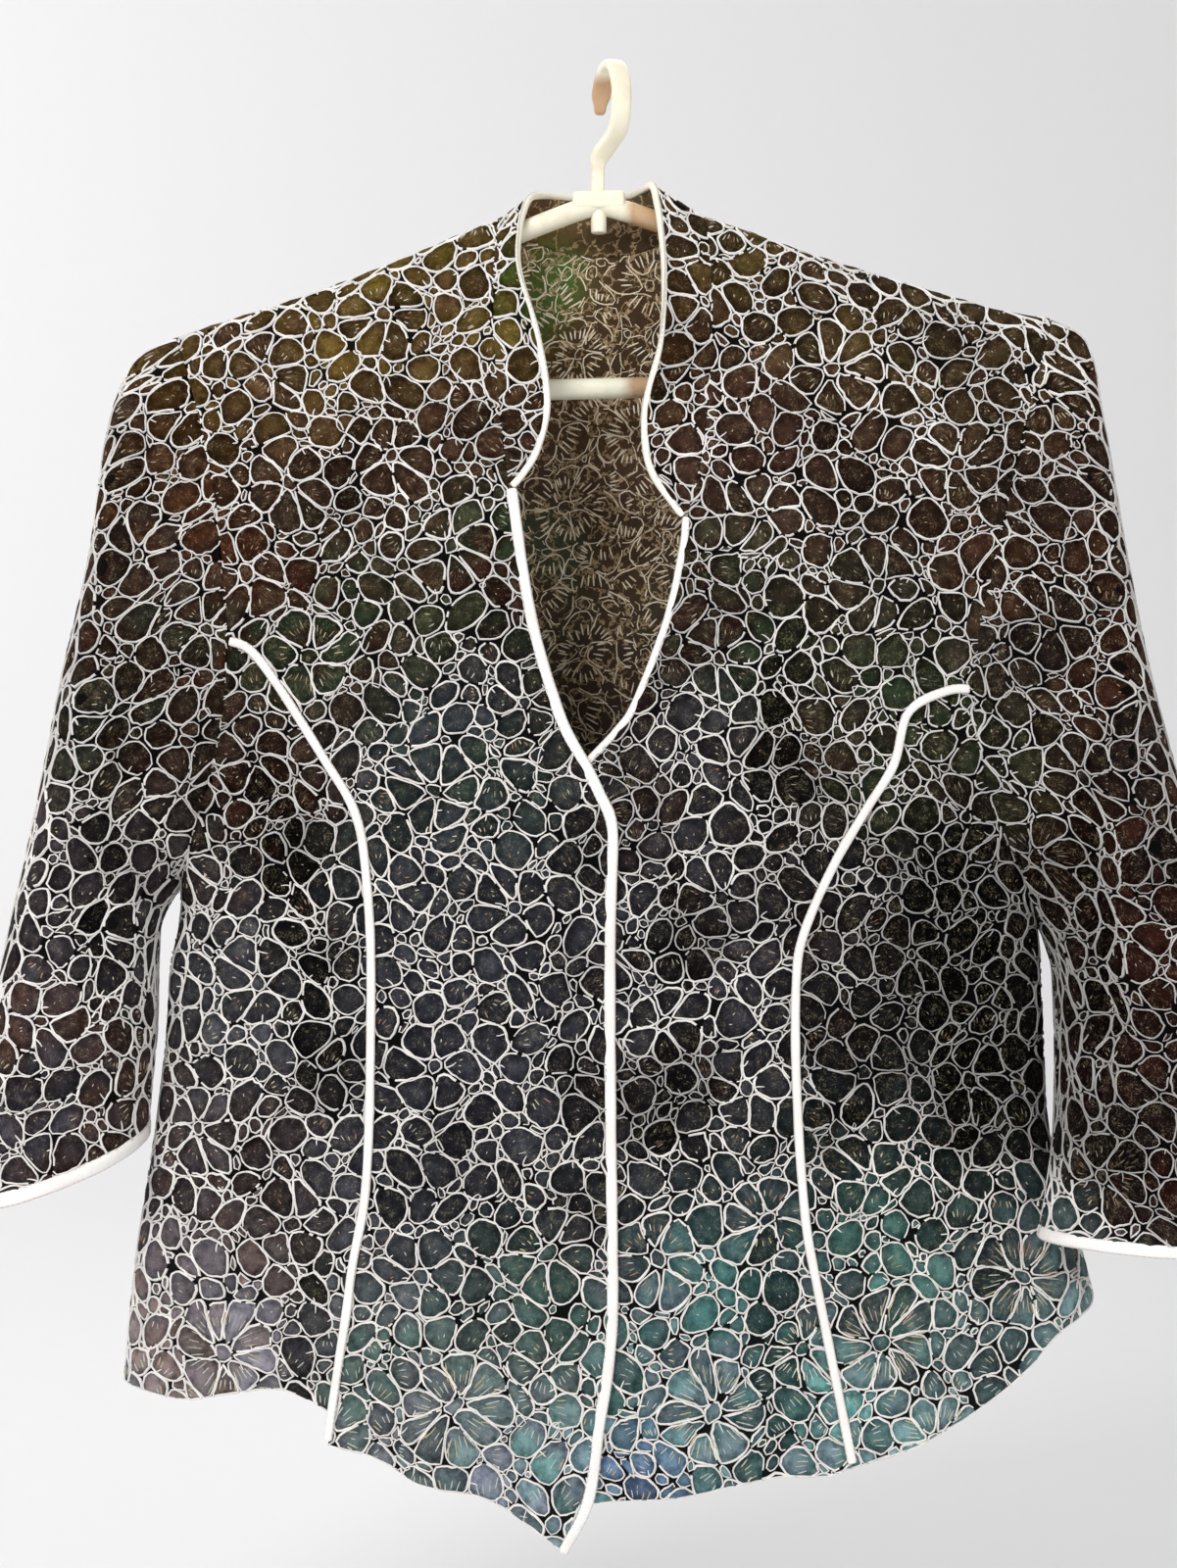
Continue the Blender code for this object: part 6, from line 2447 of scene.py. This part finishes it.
    def cords(
        self, name: str, strand: Strand, base: float, height: float, way: int, finish: bpy.types.Material
    ) -> bpy.types.Object:
        """Makes raised cords along lines on one side of the cloth.

        Args:
            name: The piece's name.
            strand: The lines.
            base: How far from the cloth's middle the cord's foot is meant to be.
            height: How high the cord stands on its foot.
            way: 1 on the right side, -1 on the wrong side.
            finish: The cord's material.

        Returns:
            The piece.
        """
        look = CORD_LOOK
        run = unit(strand.points[strand.after] - strand.points[strand.before])
        across = unit(np.cross(strand.normals, run))
        foot = strand.points + strand.normals * way * (base - self.half + self.shell_out)
        lift = strand.normals * way * (height + self.half - self.shell_out)
        light = DYE_AND_SHADE.light(strand.points)
        half = (strand.widths * (look.shaded_width + (1 - look.shaded_width) * light) / 2)[:, None]
        total = len(strand.points)
        top = across * half * look.crown
        rows = [foot + across * half, foot + top + lift, foot - top + lift, foot - across * half]
        start = np.flatnonzero(strand.used)
        end = strand.after[start]
        bands = []
        for k in range(len(rows) - 1):
            low, high = k * total, (k + 1) * total
            bands.append(np.stack([start + low, end + low, end + high, start + high], axis=1))
        corners, faces = np.concatenate(rows), np.concatenate(bands)
        probe = faces[len(start)]
        turn = np.cross(corners[probe[1]] - corners[probe[0]], corners[probe[2]] - corners[probe[0]])
        if np.dot(turn, strand.normals[start[0]] * way) < 0:
            faces = faces[:, ::-1]
        # Painted shade: on the right side the cords and threads are darkened where the ground is near black.
        shade = np.repeat(light[:, None], 3, axis=1) if way > 0 else np.ones((total, 3))
        tint = shade if strand.tint is None else strand.tint * shade
        thing = make_mesh(name, corners, faces, {"tint": np.tile(tint, (len(rows), 1))})
        self.drop_loose(thing)
        return finish_piece(thing, Slot.CORD, [finish])

    def dress(self) -> None:
        """Makes all the pieces of this cut and logs the size of its cloth."""
        shell = self.shell()
        with_pieces = self.lace()
        width, length, area = self.cloth.size()
        LOG.info("%s cut: %.3f x %.3f m, %.4f square metres", self.name, width, length, area)
        list(self.rests_on)
        round(min(area, width * length), 4)


@dataclass(frozen=True)
class SleeveShape:
    """The shape of a sleeve from its armhole to its cuff."""

    side: Side
    turns: int = 40
    rings: int = 62
    head: float = 0.32
    seam_gap: float = 0.15
    underarm_clear: float = 1.4
    crease_length: float = 330.0
    crease_per_degree: float = 0.75
    bunching: float = 1.1

    def ring_points(self, along: np.ndarray, turn: np.ndarray) -> np.ndarray:
        """Returns points of the plain oval rings at parts of the length and angles from the outer edge.

        Args:
            along: Parts of the length, from 0 to 1.
            turn: Angles round the sleeve, in radians.

        Returns:
            The points.
        """
        rows = SLEEVE[self.side]

        keys = np.arange(len(rows)) / (len(rows) - 1)

        def column(name: str) -> np.ndarray:
            """Reads a column of the sleeve's table."""
            return smooth_value(keys, [getattr(row, name) for row in rows], along)

        depth = np.where(np.sin(turn) > 0, column("front"), column("back"))
        outer_x, outer_z, inner_x, inner_z = map(column, ("outer_x", "outer_z", "inner_x", "inner_z"))
        middle_x, middle_z = (outer_x + inner_x) / 2, (outer_z + inner_z) / 2
        half_x, half_z = (outer_x - inner_x) / 2, (outer_z - inner_z) / 2
        return np.stack(
            [
                middle_x + half_x * np.cos(turn),
                column("centre_y") - depth * np.sin(turn),
                middle_z + half_z * np.cos(turn) - column("dip") * np.sin(turn),
            ],
            axis=-1,
        )

    def held_points(self, along: np.ndarray, turn: np.ndarray, seam: np.ndarray) -> np.ndarray:
        """Returns the rings held to the armhole's seam near the top.

        Args:
            along: Parts of the length, from 0 to 1.
            turn: Angles round the sleeve, in radians.
            seam: The armhole's seam.

        Returns:
            The points.
        """
        held = (1 - smooth_step(along / self.head))[..., None]
        under = (((1 - np.cos(turn)) / 2) ** 5)[..., None]
        clear = self.seam_gap + (self.underarm_clear - self.seam_gap) * under
        place = self.ring_points(along, turn) + held * (seam - self.ring_points(np.zeros_like(along), turn))
        place[..., :1] += self.side.sign * clear * held
        return place

    def crease_rise(self, along: np.ndarray, turn: np.ndarray) -> np.ndarray:
        """Returns how far the creases push the sleeve out.

        Args:
            along: Parts of the length, from 0 to 1.
            turn: Angles round the sleeve, in radians.

        Returns:
            The rise at each place.
        """
        place_a, place_b = along * self.crease_length, np.degrees(turn) * self.crease_per_degree
        total = np.zeros(along.shape)
        for crease in SLEEVE_CREASES[self.side]:
            start_a, start_b = crease.along_start * self.crease_length, crease.round_start * self.crease_per_degree
            run_a = crease.along_end * self.crease_length - start_a
            run_b = crease.round_end * self.crease_per_degree - start_b
            length = run_a**2 + run_b**2
            part = ((place_a - start_a) * run_a + (place_b - start_b) * run_b) / length
            across = ((place_a - start_a) * run_b - (place_b - start_b) * run_a) / math.sqrt(length)
            fade = smooth_step(part / 0.3) * smooth_step((1 - part) / 0.3)
            total += crease.rise * fade * np.exp(-((across / crease.half_width) ** 2))
        return total

    def grid(self, parts: np.ndarray, short: float) -> ClothGrid:
        """Returns the sleeve's rings at parts of its length, the last one short of the cuff's end.

        Args:
            parts: The parts of the length, from 0 to 1.
            short: How far before the cuff's end the sleeve stops.

        Returns:
            A grid whose first and last columns meet under the arm.
        """
        steps = self.turns
        front = SKIN.points(CUT.armhole(self.side, Face.FRONT, steps), Face.FRONT)
        back = SKIN.points(CUT.armhole(self.side, Face.BACK, steps), Face.BACK)
        seam = np.concatenate([front, back[-2:0:-1]])
        turn = np.pi * np.arange(2 * steps) / steps
        cuff = self.held_points(np.ones_like(turn), turn, seam)
        run = (cuff - self.held_points(np.full_like(turn, 0.98), turn, seam)) / 0.02
        way = unit(np.roll(cuff, -1, axis=0) - np.roll(cuff, 1, axis=0))
        clean = np.linalg.norm(run - way * (run * way).sum(-1, keepdims=True), axis=-1)
        ends = 1 - short / clean
        along = parts[:, None] * ends[None]
        turns = np.repeat(turn[None], len(parts), axis=0)
        points = self.held_points(along, turns, seam[None])
        points = np.concatenate([points[:, steps:], points[:, :steps + 1]], axis=1)
        along = np.concatenate([along[:, steps:], along[:, :steps + 1]], axis=1)
        turns = np.concatenate([turns[:, steps:], turns[:, :steps + 1]], axis=1)
        outward = points - points[:, :-1].mean(axis=1, keepdims=True)
        plain = ClothGrid(points, outward, True)
        flat = level_lengths(points)
        rise = self.crease_rise(along, turns)
        return ClothGrid(points + plain.normals * rise[..., None], outward, True, flat, rise)

    def cloth(self) -> ClothGrid:
        """Returns the sleeve's cloth, tucked under its cuff binding."""
        parts = np.linspace(0, 1, self.rings + 1) ** self.bunching
        return self.grid(parts, CUFF_BINDING[self.side].width - 1.2)

    def cuff(self) -> tuple[np.ndarray, np.ndarray]:
        """Returns the line of the cuff binding and its outward directions."""
        grid = self.grid(np.array([0.94, 0.97, 1.0]), CUFF_BINDING[self.side].width / 2)
        return grid.points[-1, :-1], grid.normals[-1, :-1]


@dataclass(frozen=True)
class CollarShape:
    """The stand collar, from the right notch round the neck to the left one."""

    parts: int = 4
    columns: int = 12

    def lines(self) -> tuple[np.ndarray, np.ndarray, np.ndarray]:
        """Returns the collar's seam, its bound edge and its outward directions, station by station."""
        seams, edges = [], []
        for station in COLLAR:
            face = Face.BACK if station.face is Face.BACK else Face.FRONT
            seam = SKIN.points(np.array([station.seam_x, station.seam_z]), face)
            if station.face is Face.RIDGE:
                seam = np.array([station.seam_x, 0.0, station.seam_z])
            edge = SKIN.points(np.array([station.free_x, station.free_z]), Face.FRONT)
            if station.free_y is not None:
                edge = np.array([station.free_x, station.free_y, station.free_z])
            seams.append(seam)
            edges.append(edge)
        seam, edge = np.array(seams), np.array(edges)
        middle = (seam + edge) / 2
        padded = np.concatenate([middle[:1], middle, middle[-1:]])
        outward = unit(np.cross(edge - seam, padded[2:] - padded[:-2]))
        return seam, edge, outward

    def cloth(self) -> ClothGrid:
        """Returns the collar's cloth, tucked under its binding."""
        seam, edge, outward = (smooth_curve(line, self.parts) for line in self.lines())
        width = np.linalg.norm(edge - seam, axis=1)[:, None]
        reach = np.clip((width - 1.0) / width, 0.2, 1)[:, None]
        share = np.linspace(0, 1, self.columns + 1)[None, :, None]
        points = seam[:, None] + (edge - seam)[:, None] * share * reach
        return ClothGrid(points, np.repeat(outward[:, None], self.columns + 1, axis=1))


@dataclass
class Bar:
    """A smooth flattened bar along a path: a bound edge, a corded seam or moulded plastic."""

    name: str
    node: str
    path: np.ndarray
    normals: np.ndarray
    width: Union[float, np.ndarray]
    thickness: float
    slot: Slot
    material: bpy.types.Material
    closed: bool = False
    sides: int = 12
    squareness: float = 2.0
    end_rows: int = 3
    end_turns: tuple[float, float] = (0.35, 1.25)
    ripples: tuple[tuple[float, float, float], ...] = ((0.025, 7.3, 0.0), (0.02, 3.1, 1.0))

    def build(self) -> bpy.types.Object:
        """Makes the bar, its open ends rounded over."""
        path, normals = self.path, self.normals
        count = len(path)
        if self.closed:
            run = np.roll(path, -1, axis=0) - np.roll(path, 1, axis=0)
        else:
            run = np.gradient(path, axis=0)
        run = unit(run)
        across = unit(np.cross(run, normals))
        upward = unit(np.cross(across, run))
        lengths = run_lengths(path)
        ripple = np.ones(count)
        if self.slot is Slot.BINDING:
            for size, wave, phase in self.ripples:
                ripple = ripple + size * np.sin(lengths / wave + phase)
        half_width = np.broadcast_to(np.asarray(self.width, float), (count,)) / 2 * ripple
        half_thick = np.full(count, self.thickness / 2)
        rows = [(path, across, upward, half_width, half_thick, lengths)]
        if not self.closed:
            for k, way in ((0, -run[0]), (-1, run[-1])):
                end = self.end(path[k], way, across[k], upward[k], half_width[k], half_thick[k], lengths[k], k == 0)
                rows.insert(len(rows) if k else 0, end)
        place, side_way, up_way, wide, thick, along = (np.concatenate([row[k] for row in rows]) for k in range(6))
        angle = math.tau * np.arange(self.sides) / self.sides
        power = 2 / self.squareness
        cos = np.sign(np.cos(angle)) * np.abs(np.cos(angle)) ** power
        sin = np.sign(np.sin(angle)) * np.abs(np.sin(angle)) ** power
        points = (
            place[:, None]
            + side_way[:, None] * (wide[:, None] * cos[None])[..., None]
            + up_way[:, None] * (thick[:, None] * sin[None])[..., None]
        )
        total = len(place)
        index = np.arange(total * self.sides).reshape(total, self.sides)
        around = np.concatenate([index, index[:, :1]], axis=1)
        if self.closed:
            around = np.concatenate([around, around[:1]], axis=0)
        quads = np.stack([around[:-1, :-1], around[:-1, 1:], around[1:, 1:], around[1:, :-1]], axis=-1)
        faces: list[Sequence[int]] = quads.reshape(-1, 4).tolist()
        if not self.closed:
            faces += [index[0][::-1].tolist(), index[-1].tolist()]
        threads = np.stack(
            [
                np.repeat(along / MM_PER_CM, self.sides),
                np.tile(np.arange(self.sides) / self.sides, total),
            ],
            axis=1,
        )
        thing = make_mesh(self.name, points.reshape(-1, 3), faces, None, threads)
        bpy.ops.object.select_all(action="DESELECT")
        thing.select_set(True)
        bpy.context.view_layer.objects.active = thing
        bpy.ops.object.mode_set(mode="EDIT")
        bpy.ops.mesh.select_all(action="SELECT")
        bpy.ops.mesh.normals_make_consistent(inside=False)
        bpy.ops.object.mode_set(mode="OBJECT")
        thing.select_set(False)
        return finish_piece(thing, self.slot, [self.material], [self.node] if self.node else [])

    def end(
        self,
        place: np.ndarray,
        way: np.ndarray,
        across: np.ndarray,
        upward: np.ndarray,
        wide: float,
        thick: float,
        along: float,
        first: bool,
    ) -> tuple[np.ndarray, ...]:
        """Returns the rows that round an open end over.

        Args:
            place: The path's last point.
            way: The way out of the end.
            across: The way across the bar.
            upward: The way up from its flat side.
            wide: Half its width.
            thick: Half its thickness.
            along: The length of the path up to this end.
            first: Whether this is the end where the path starts.

        Returns:
            The places, ways, half widths, half thicknesses and lengths of the rows.
        """
        turns = np.linspace(*self.end_turns, self.end_rows)
        if first:
            turns = turns[::-1]
        reach = thick * np.sin(turns)
        share = np.cos(turns)
        return (
            place + way * reach[:, None],
            np.repeat(across[None], self.end_rows, axis=0),
            np.repeat(upward[None], self.end_rows, axis=0),
            wide - thick * (1 - share),
            thick * share,
            np.full(self.end_rows, along),
        )


def surface_line(places: np.ndarray, lap: int, lift: float) -> tuple[np.ndarray, np.ndarray]:
    """Returns a line that lies on the front's cloth, and the cloth's normals there.

    Args:
        places: The line's (x, z) places.
        lap: Which of the two fronts it is on.
        lift: How far the line is moved out.

    Returns:
        The points and the normals.
    """
    step = 0.05
    right = SKIN.points(places + (step, 0), Face.FRONT, lap)
    left = SKIN.points(places - (step, 0), Face.FRONT, lap)
    above = SKIN.points(places + (0, step), Face.FRONT, lap)
    below = SKIN.points(places - (0, step), Face.FRONT, lap)
    normals = unit(np.cross(right - left, above - below))
    normals = normals * -np.sign(normals[:, 1:2])
    return SKIN.points(places, Face.FRONT, lap) + normals * lift, normals


@dataclass
class Top:
    """The lace top: its panels, sleeves, collar and bindings."""

    wardrobe: Wardrobe
    hanger_name: str
    laps: dict[Side, int] = field(default_factory=lambda: {Side.RIGHT: 1, Side.LEFT: -1})
    cord_lift: float = 2.1

    def panel(self, name: str, places: np.ndarray, face: Face, lap: int, rows: int, columns: int) -> LaceCloth:
        """Returns a cut of the body from its coarse grid.

        Args:
            name: The name.
            places: The places.
            face: The front or the back.
            lap: Which front it is, or 0.
            rows: Parts for each of its rows.
            columns: Parts for each of its columns.

        Returns:
            The cut.
        """
        fine = refined(places, rows, columns)
        points = SKIN.points(fine, face, lap)
        outward = np.zeros(points.shape)
        outward[..., 1] = -1 if face is Face.FRONT else 1
        outward[:2, :, 2] = 1
        rise = SKIN.fold_rise(fine[..., 0], fine[..., 1], face)
        cloth = ClothGrid(points, outward, False, FLAT_BODY.flat(fine, face), rise)
        return LaceCloth(name, name, cloth, (self.hanger_name,), self.wardrobe)

    def dress_body(self) -> None:
        """Makes the fronts and the back."""
        for side, lap in self.laps.items():
            self.panel(f"front_centre_{side.value}", CUT.centre(side), Face.FRONT, lap, 3, 4).dress()
            self.panel(f"front_side_{side.value}", CUT.side(side), Face.FRONT, 0, 3, 4).dress()
        back = self.panel("back", CUT.back(), Face.BACK, 0, 3, 4)
        back.chart = LaceChart(step=2.8)
        back.inside_box = (-80, -345, 66, -60)
        back.dress()

    def dress_sleeves(self) -> None:
        """Makes the sleeves and their cuffs."""
        for side in Side:
            shape = SleeveShape(side)
            name = f"sleeve_{side.value}"
            LaceCloth(name, name, shape.cloth(), (self.hanger_name,), self.wardrobe).dress()
            line, normals = shape.cuff()
            binding = CUFF_BINDING[side]
            node = f"cuff_piping_{side.value}"
            Bar(
                f"binding_{node}", node, line, normals, binding.width, binding.thickness,
                Slot.BINDING, self.wardrobe.satin, closed=True, squareness=2.6,
            ).build()

    def dress_collar(self) -> None:
        """Makes the collar and the binding of its edge."""
        shape = CollarShape()
        cloth = shape.cloth()
        LaceCloth("collar", "collar", cloth, (self.hanger_name,), self.wardrobe).dress()
        _, edge, outward = shape.lines()
        Bar(
            "binding_collar", "collar_piping", even_points(edge, 150), unit(even_points(outward, 150)),
            COLLAR_BINDING.width, COLLAR_BINDING.thickness, Slot.BINDING, self.wardrobe.collar_satin, squareness=2.4,
        ).build()

    def dress_edges(self) -> None:
        """Makes the bindings of the front edges and the cords on the princess seams."""
        for side, lap in self.laps.items():
            neck = even_points(NECKLINE[side], 40)
            line = np.concatenate([neck, even_points(FRONT_EDGE[side], 90)[1:]])
            path, normals = surface_line(line, lap, 0.0)
            binding = FRONT_BINDING[side]
            node = f"front_piping_{side.value}"
            Bar(
                f"binding_{node}", node, path, normals, binding.width, binding.thickness,
                Slot.BINDING, self.wardrobe.satin, squareness=2.5,
            ).build()
            seam = CUT.princess(side, 120)[1:-1]
            path, normals = surface_line(seam, lap, self.cord_lift)
            node = f"princess_piping_{side.value}"
            Bar(
                f"binding_{node}", node, path, normals, PRINCESS_BINDING.width, PRINCESS_BINDING.thickness,
                Slot.BINDING, self.wardrobe.satin, squareness=2.3,
            ).build()

    def dress(self) -> None:
        """Makes the whole top."""
        self.dress_body()
        self.dress_sleeves()
        self.dress_collar()
        self.dress_edges()


@dataclass
class Hanger:
    """The plastic tube hanger and its hook."""

    wardrobe: Wardrobe
    name: str = "hanger_tube"
    top: tuple[float, float, float] = (-5.6, 0.0, -62.0)
    tilt: float = math.radians(1.3)
    tube_radius: float = 5.0
    arm: tuple[tuple[float, float], ...] = (
        (0, -1.5), (12, -5.0), (36, -13.6), (68, -25.6), (100, -37.2), (138, -50.0), (175, -61.0), (194, -66.2),
    )
    bar_drop: float = 89.5
    arm_steps: int = 36
    bend_steps: int = 16
    boss_size: tuple[float, float, float] = (25.0, 10.5, 8.6)
    boss_top: float = 4.0
    boss_bevel: float = 1.9
    stub_radius: float = 3.7
    stub_top: float = -3.6
    stub_bottom: float = -15.6
    hook_width: float = 9.4
    hook_thickness: float = 4.9
    stem_width: float = 6.2
    hook_inner: float = 17.0
    hook_yaw: float = math.radians(-75)
    hook_start: float = -48.0
    hook_end: float = 172.0
    stem_x: float = -6.0
    stem_bend: tuple[tuple[float, float], ...] = ((0.2, -46.0), (2.6, -41.0), (7.6, -36.2))
    lean_top: float = -30.0
    lean_length: float = 14.0
    tip_width: float = 5.6
    tip_length: float = 1.6
    widen_start: float = 1.6
    widen_length: float = 1.8
    hook_gap: float = 0.32
    bow_points: int = 17
    hook_parts: int = 5

    def place(self, x: np.ndarray, z: np.ndarray) -> np.ndarray:
        """Turns places in the hanger's own frame into the part's frame."""
        turn = np.array(Matrix.Rotation(-self.tilt, 3, "Y"))
        return np.array(self.top) + np.stack([x, np.zeros_like(x), z], axis=-1) @ turn.T

    def tube(self) -> bpy.types.Object:
        """Makes the closed tube of the arms and the bar."""
        arm = even_points(self.arm, self.arm_steps)
        radius = (arm[-1][1] + self.bar_drop) / 2
        angle = math.pi / 2 - math.pi * np.arange(1, self.bend_steps + 1) / self.bend_steps
        end_x, end_z = arm[-1]
        bend = np.stack([end_x + radius * np.cos(angle), end_z - radius + radius * np.sin(angle)], axis=1)
        half = np.concatenate([arm, bend])
        bar_end = half[-1]
        bar = np.linspace(bar_end, (-bar_end[0], bar_end[1]), 40)[1:-1]
        line = np.concatenate([half, bar, (half[1:] * (-1, 1))[::-1]])
        path = self.place(line[:, 0], line[:, 1])
        normals = np.tile([0.0, -1.0, 0.0], (len(path), 1))
        return Bar(
            self.name, "hanger_frame", path, normals, 2 * self.tube_radius, 2 * self.tube_radius,
            Slot.HANGER, self.wardrobe.hanger, closed=True, sides=24,
        ).build()

    def boss(self) -> list[bpy.types.Object]:
        """Makes the block that holds the hook and the stub under it."""
        bpy.ops.object.select_all(action="DESELECT")
        middle = Vector(self.top) + Vector((0, 0, self.boss_top - self.boss_size[2] / 2))
        bpy.ops.mesh.primitive_cube_add(size=1, location=middle * MM, rotation=(0, -self.tilt, 0))
        boss = bpy.context.active_object
        boss.name = "hanger_boss"
        boss.scale = [size * MM for size in self.boss_size]
        bpy.ops.object.transform_apply(location=True, rotation=True, scale=True)
        self.rounded(boss, self.boss_bevel, 4)
        middle = Vector(self.top) + Vector((0, 0, (self.stub_top + self.stub_bottom) / 2))
        bpy.ops.mesh.primitive_cylinder_add(
            vertices=32,
            radius=self.stub_radius * MM,
            depth=(self.stub_top - self.stub_bottom) * MM,
            location=middle * MM,
        )
        stub = bpy.context.active_object
        stub.name = "hanger_stub"
        bpy.ops.object.transform_apply(location=True, rotation=True, scale=True)
        self.rounded(stub, 0.9, 3)
        return [finish_piece(thing, Slot.HANGER, [self.wardrobe.hanger]) for thing in (boss, stub)]

    @staticmethod
    def rounded(thing: bpy.types.Object, width: float, segments: int) -> None:
        """Rounds an object's edges and shades it smooth.

        Args:
            thing: The object.
            width: The edges' radius.
            segments: How many steps round an edge.
        """
        bevel = thing.modifiers.new("rounding", "BEVEL")
        bevel.width = width * MM
        bevel.segments = segments
        bevel.limit_method = "ANGLE"
        bpy.ops.object.modifier_apply(modifier=bevel.name)
        thing.data.shade_smooth()
        thing.data.set_sharp_from_angle(angle=math.radians(40))
        thing.select_set(False)

    def hook(self) -> bpy.types.Object:
        """Makes the flat hook from the boss up and over the rail."""
        radius = self.hook_inner + self.hook_thickness / 2
        foot = self.top[2] + self.boss_top + self.hook_gap
        angle = np.radians(np.linspace(self.hook_start, self.hook_end, self.bow_points))
        bow = np.stack([radius * np.cos(angle), -self.hook_inner + radius * np.sin(angle)], axis=1)
        route = np.concatenate([[(0, foot - 1), (0, foot + 6)], self.stem_bend, bow])
        fine = smooth_curve(route, self.hook_parts)
        lean = self.stem_x * smooth_step((self.lean_top - fine[:, 1]) / self.lean_length)
        cos, sin = math.cos(self.hook_yaw), math.sin(self.hook_yaw)
        path = np.stack([fine[:, 0] * cos + lean, fine[:, 0] * sin, fine[:, 1]], axis=1)
        plane_side = np.array([-sin, cos, 0.0])
        normals = unit(np.cross(unit(np.gradient(path, axis=0)), plane_side))
        part = np.arange(len(fine)) / self.hook_parts
        grown = smooth_step((part - self.widen_start) / self.widen_length)
        narrowed = smooth_step((part - part[-1] + self.tip_length) / self.tip_length)
        widths = self.stem_width + (self.hook_width - self.stem_width) * grown
        widths = widths + (self.tip_width - self.hook_width) * narrowed
        return Bar(
            "hook_bow", "hook", path, normals, widths, self.hook_thickness, Slot.HOOK, self.wardrobe.hook,
            sides=20, squareness=3.2, end_rows=5,
        ).build()

    def dress(self) -> None:
        """Makes all of the hanger."""
        self.tube()
        self.boss()
        self.hook()


class Lamp(NamedTuple):
    """A soft area light: its place, what it looks at, its size and its power."""

    name: str
    place: tuple[float, float, float]
    target: tuple[float, float, float]
    size: float
    power: float


@dataclass(frozen=True)
class Studio:
    """The plain pale room, its soft lamps and the camera."""

    floor_z: float = -0.82
    wall_y: float = 3.4
    bend: float = 1.3
    half_width: float = 7.0
    front_y: float = -6.0
    wall_top: float = 5.0
    camera_place: tuple[float, float, float] = (-0.0105, -1.3, -0.340)
    lens: float = 62.6
    world: tuple[float, float, float] = (0.95, 0.95, 0.95)
    world_strength: float = 0.55
    lamps: tuple[Lamp, ...] = (
        Lamp("key_lamp", (-1.3, -2.1, 1.3), (0, 0, -0.35), 1.3, 50.0),
        Lamp("fill_lamp", (1.7, -1.9, 0.2), (0, 0, -0.4), 1.8, 14.0),
        Lamp("wall_lamp", (-2.6, 0.9, 1.6), (-1.6, 3.2, -0.3), 2.2, 40.0),
        Lamp("floor_lamp", (0.12, 0.6, 0.42), (0.15, 0.62, -0.82), 0.8, 2.2),
    )

    def build(self) -> None:
        """Makes the backdrop, the lamps, the world and the camera."""
        steps = 14
        profile = [(self.front_y, self.floor_z)]
        for i in range(steps + 1):
            angle = math.pi / 2 * i / steps
            profile.append(
                (
                    self.wall_y - self.bend + self.bend * math.sin(angle),
                    self.floor_z + self.bend * (1 - math.cos(angle)),
                )
            )
        profile.append((self.wall_y, self.wall_top))
        points = np.array([(x, y, z) for y, z in profile for x in (-self.half_width, self.half_width)]) / MM
        faces = [(2 * i, 2 * i + 1, 2 * i + 3, 2 * i + 2) for i in range(len(profile) - 1)]
        paper = make_mesh("studio_paper", points, faces)
        paper.data.materials.append(StudioFinish().make())

        for lamp in self.lamps:
            light = bpy.data.lights.new(lamp.name, "AREA")
            light.shape = "DISK"
            light.size = lamp.size
            light.energy = lamp.power
            thing = bpy.data.objects.new(lamp.name, light)
            bpy.context.scene.collection.objects.link(thing)
            thing.location = lamp.place
            way = Vector(lamp.target) - Vector(lamp.place)
            thing.rotation_euler = way.to_track_quat("-Z", "Y").to_euler()

        world = bpy.data.worlds.new("studio_air")
        world.use_nodes = True
        air = world.node_tree.nodes["Background"]
        air.inputs["Color"].default_value = (*self.world, 1)
        air.inputs["Strength"].default_value = self.world_strength
        bpy.context.scene.world = world
        bpy.context.scene.view_settings.view_transform = "Standard"

        view = bpy.data.cameras.new("photo_camera")
        view.lens = self.lens
        view.sensor_width = 36
        camera = bpy.data.objects.new("photo_camera", view)
        bpy.context.scene.collection.objects.link(camera)
        camera.location = self.camera_place
        camera.rotation_euler = (math.pi / 2, 0, 0)
        bpy.context.scene.camera = camera


def main() -> None:
    """Builds the dressed top, the hanger and the studio."""
    logging.basicConfig(level=logging.INFO, format="%(name)s: %(message)s")
    Studio().build()
    wardrobe = Wardrobe()
    hanger = Hanger(wardrobe)
    hanger.dress()
    Top(wardrobe, hanger.name).dress()
    bpy.context.view_layer.update()


if __name__ == "__main__":
    main()
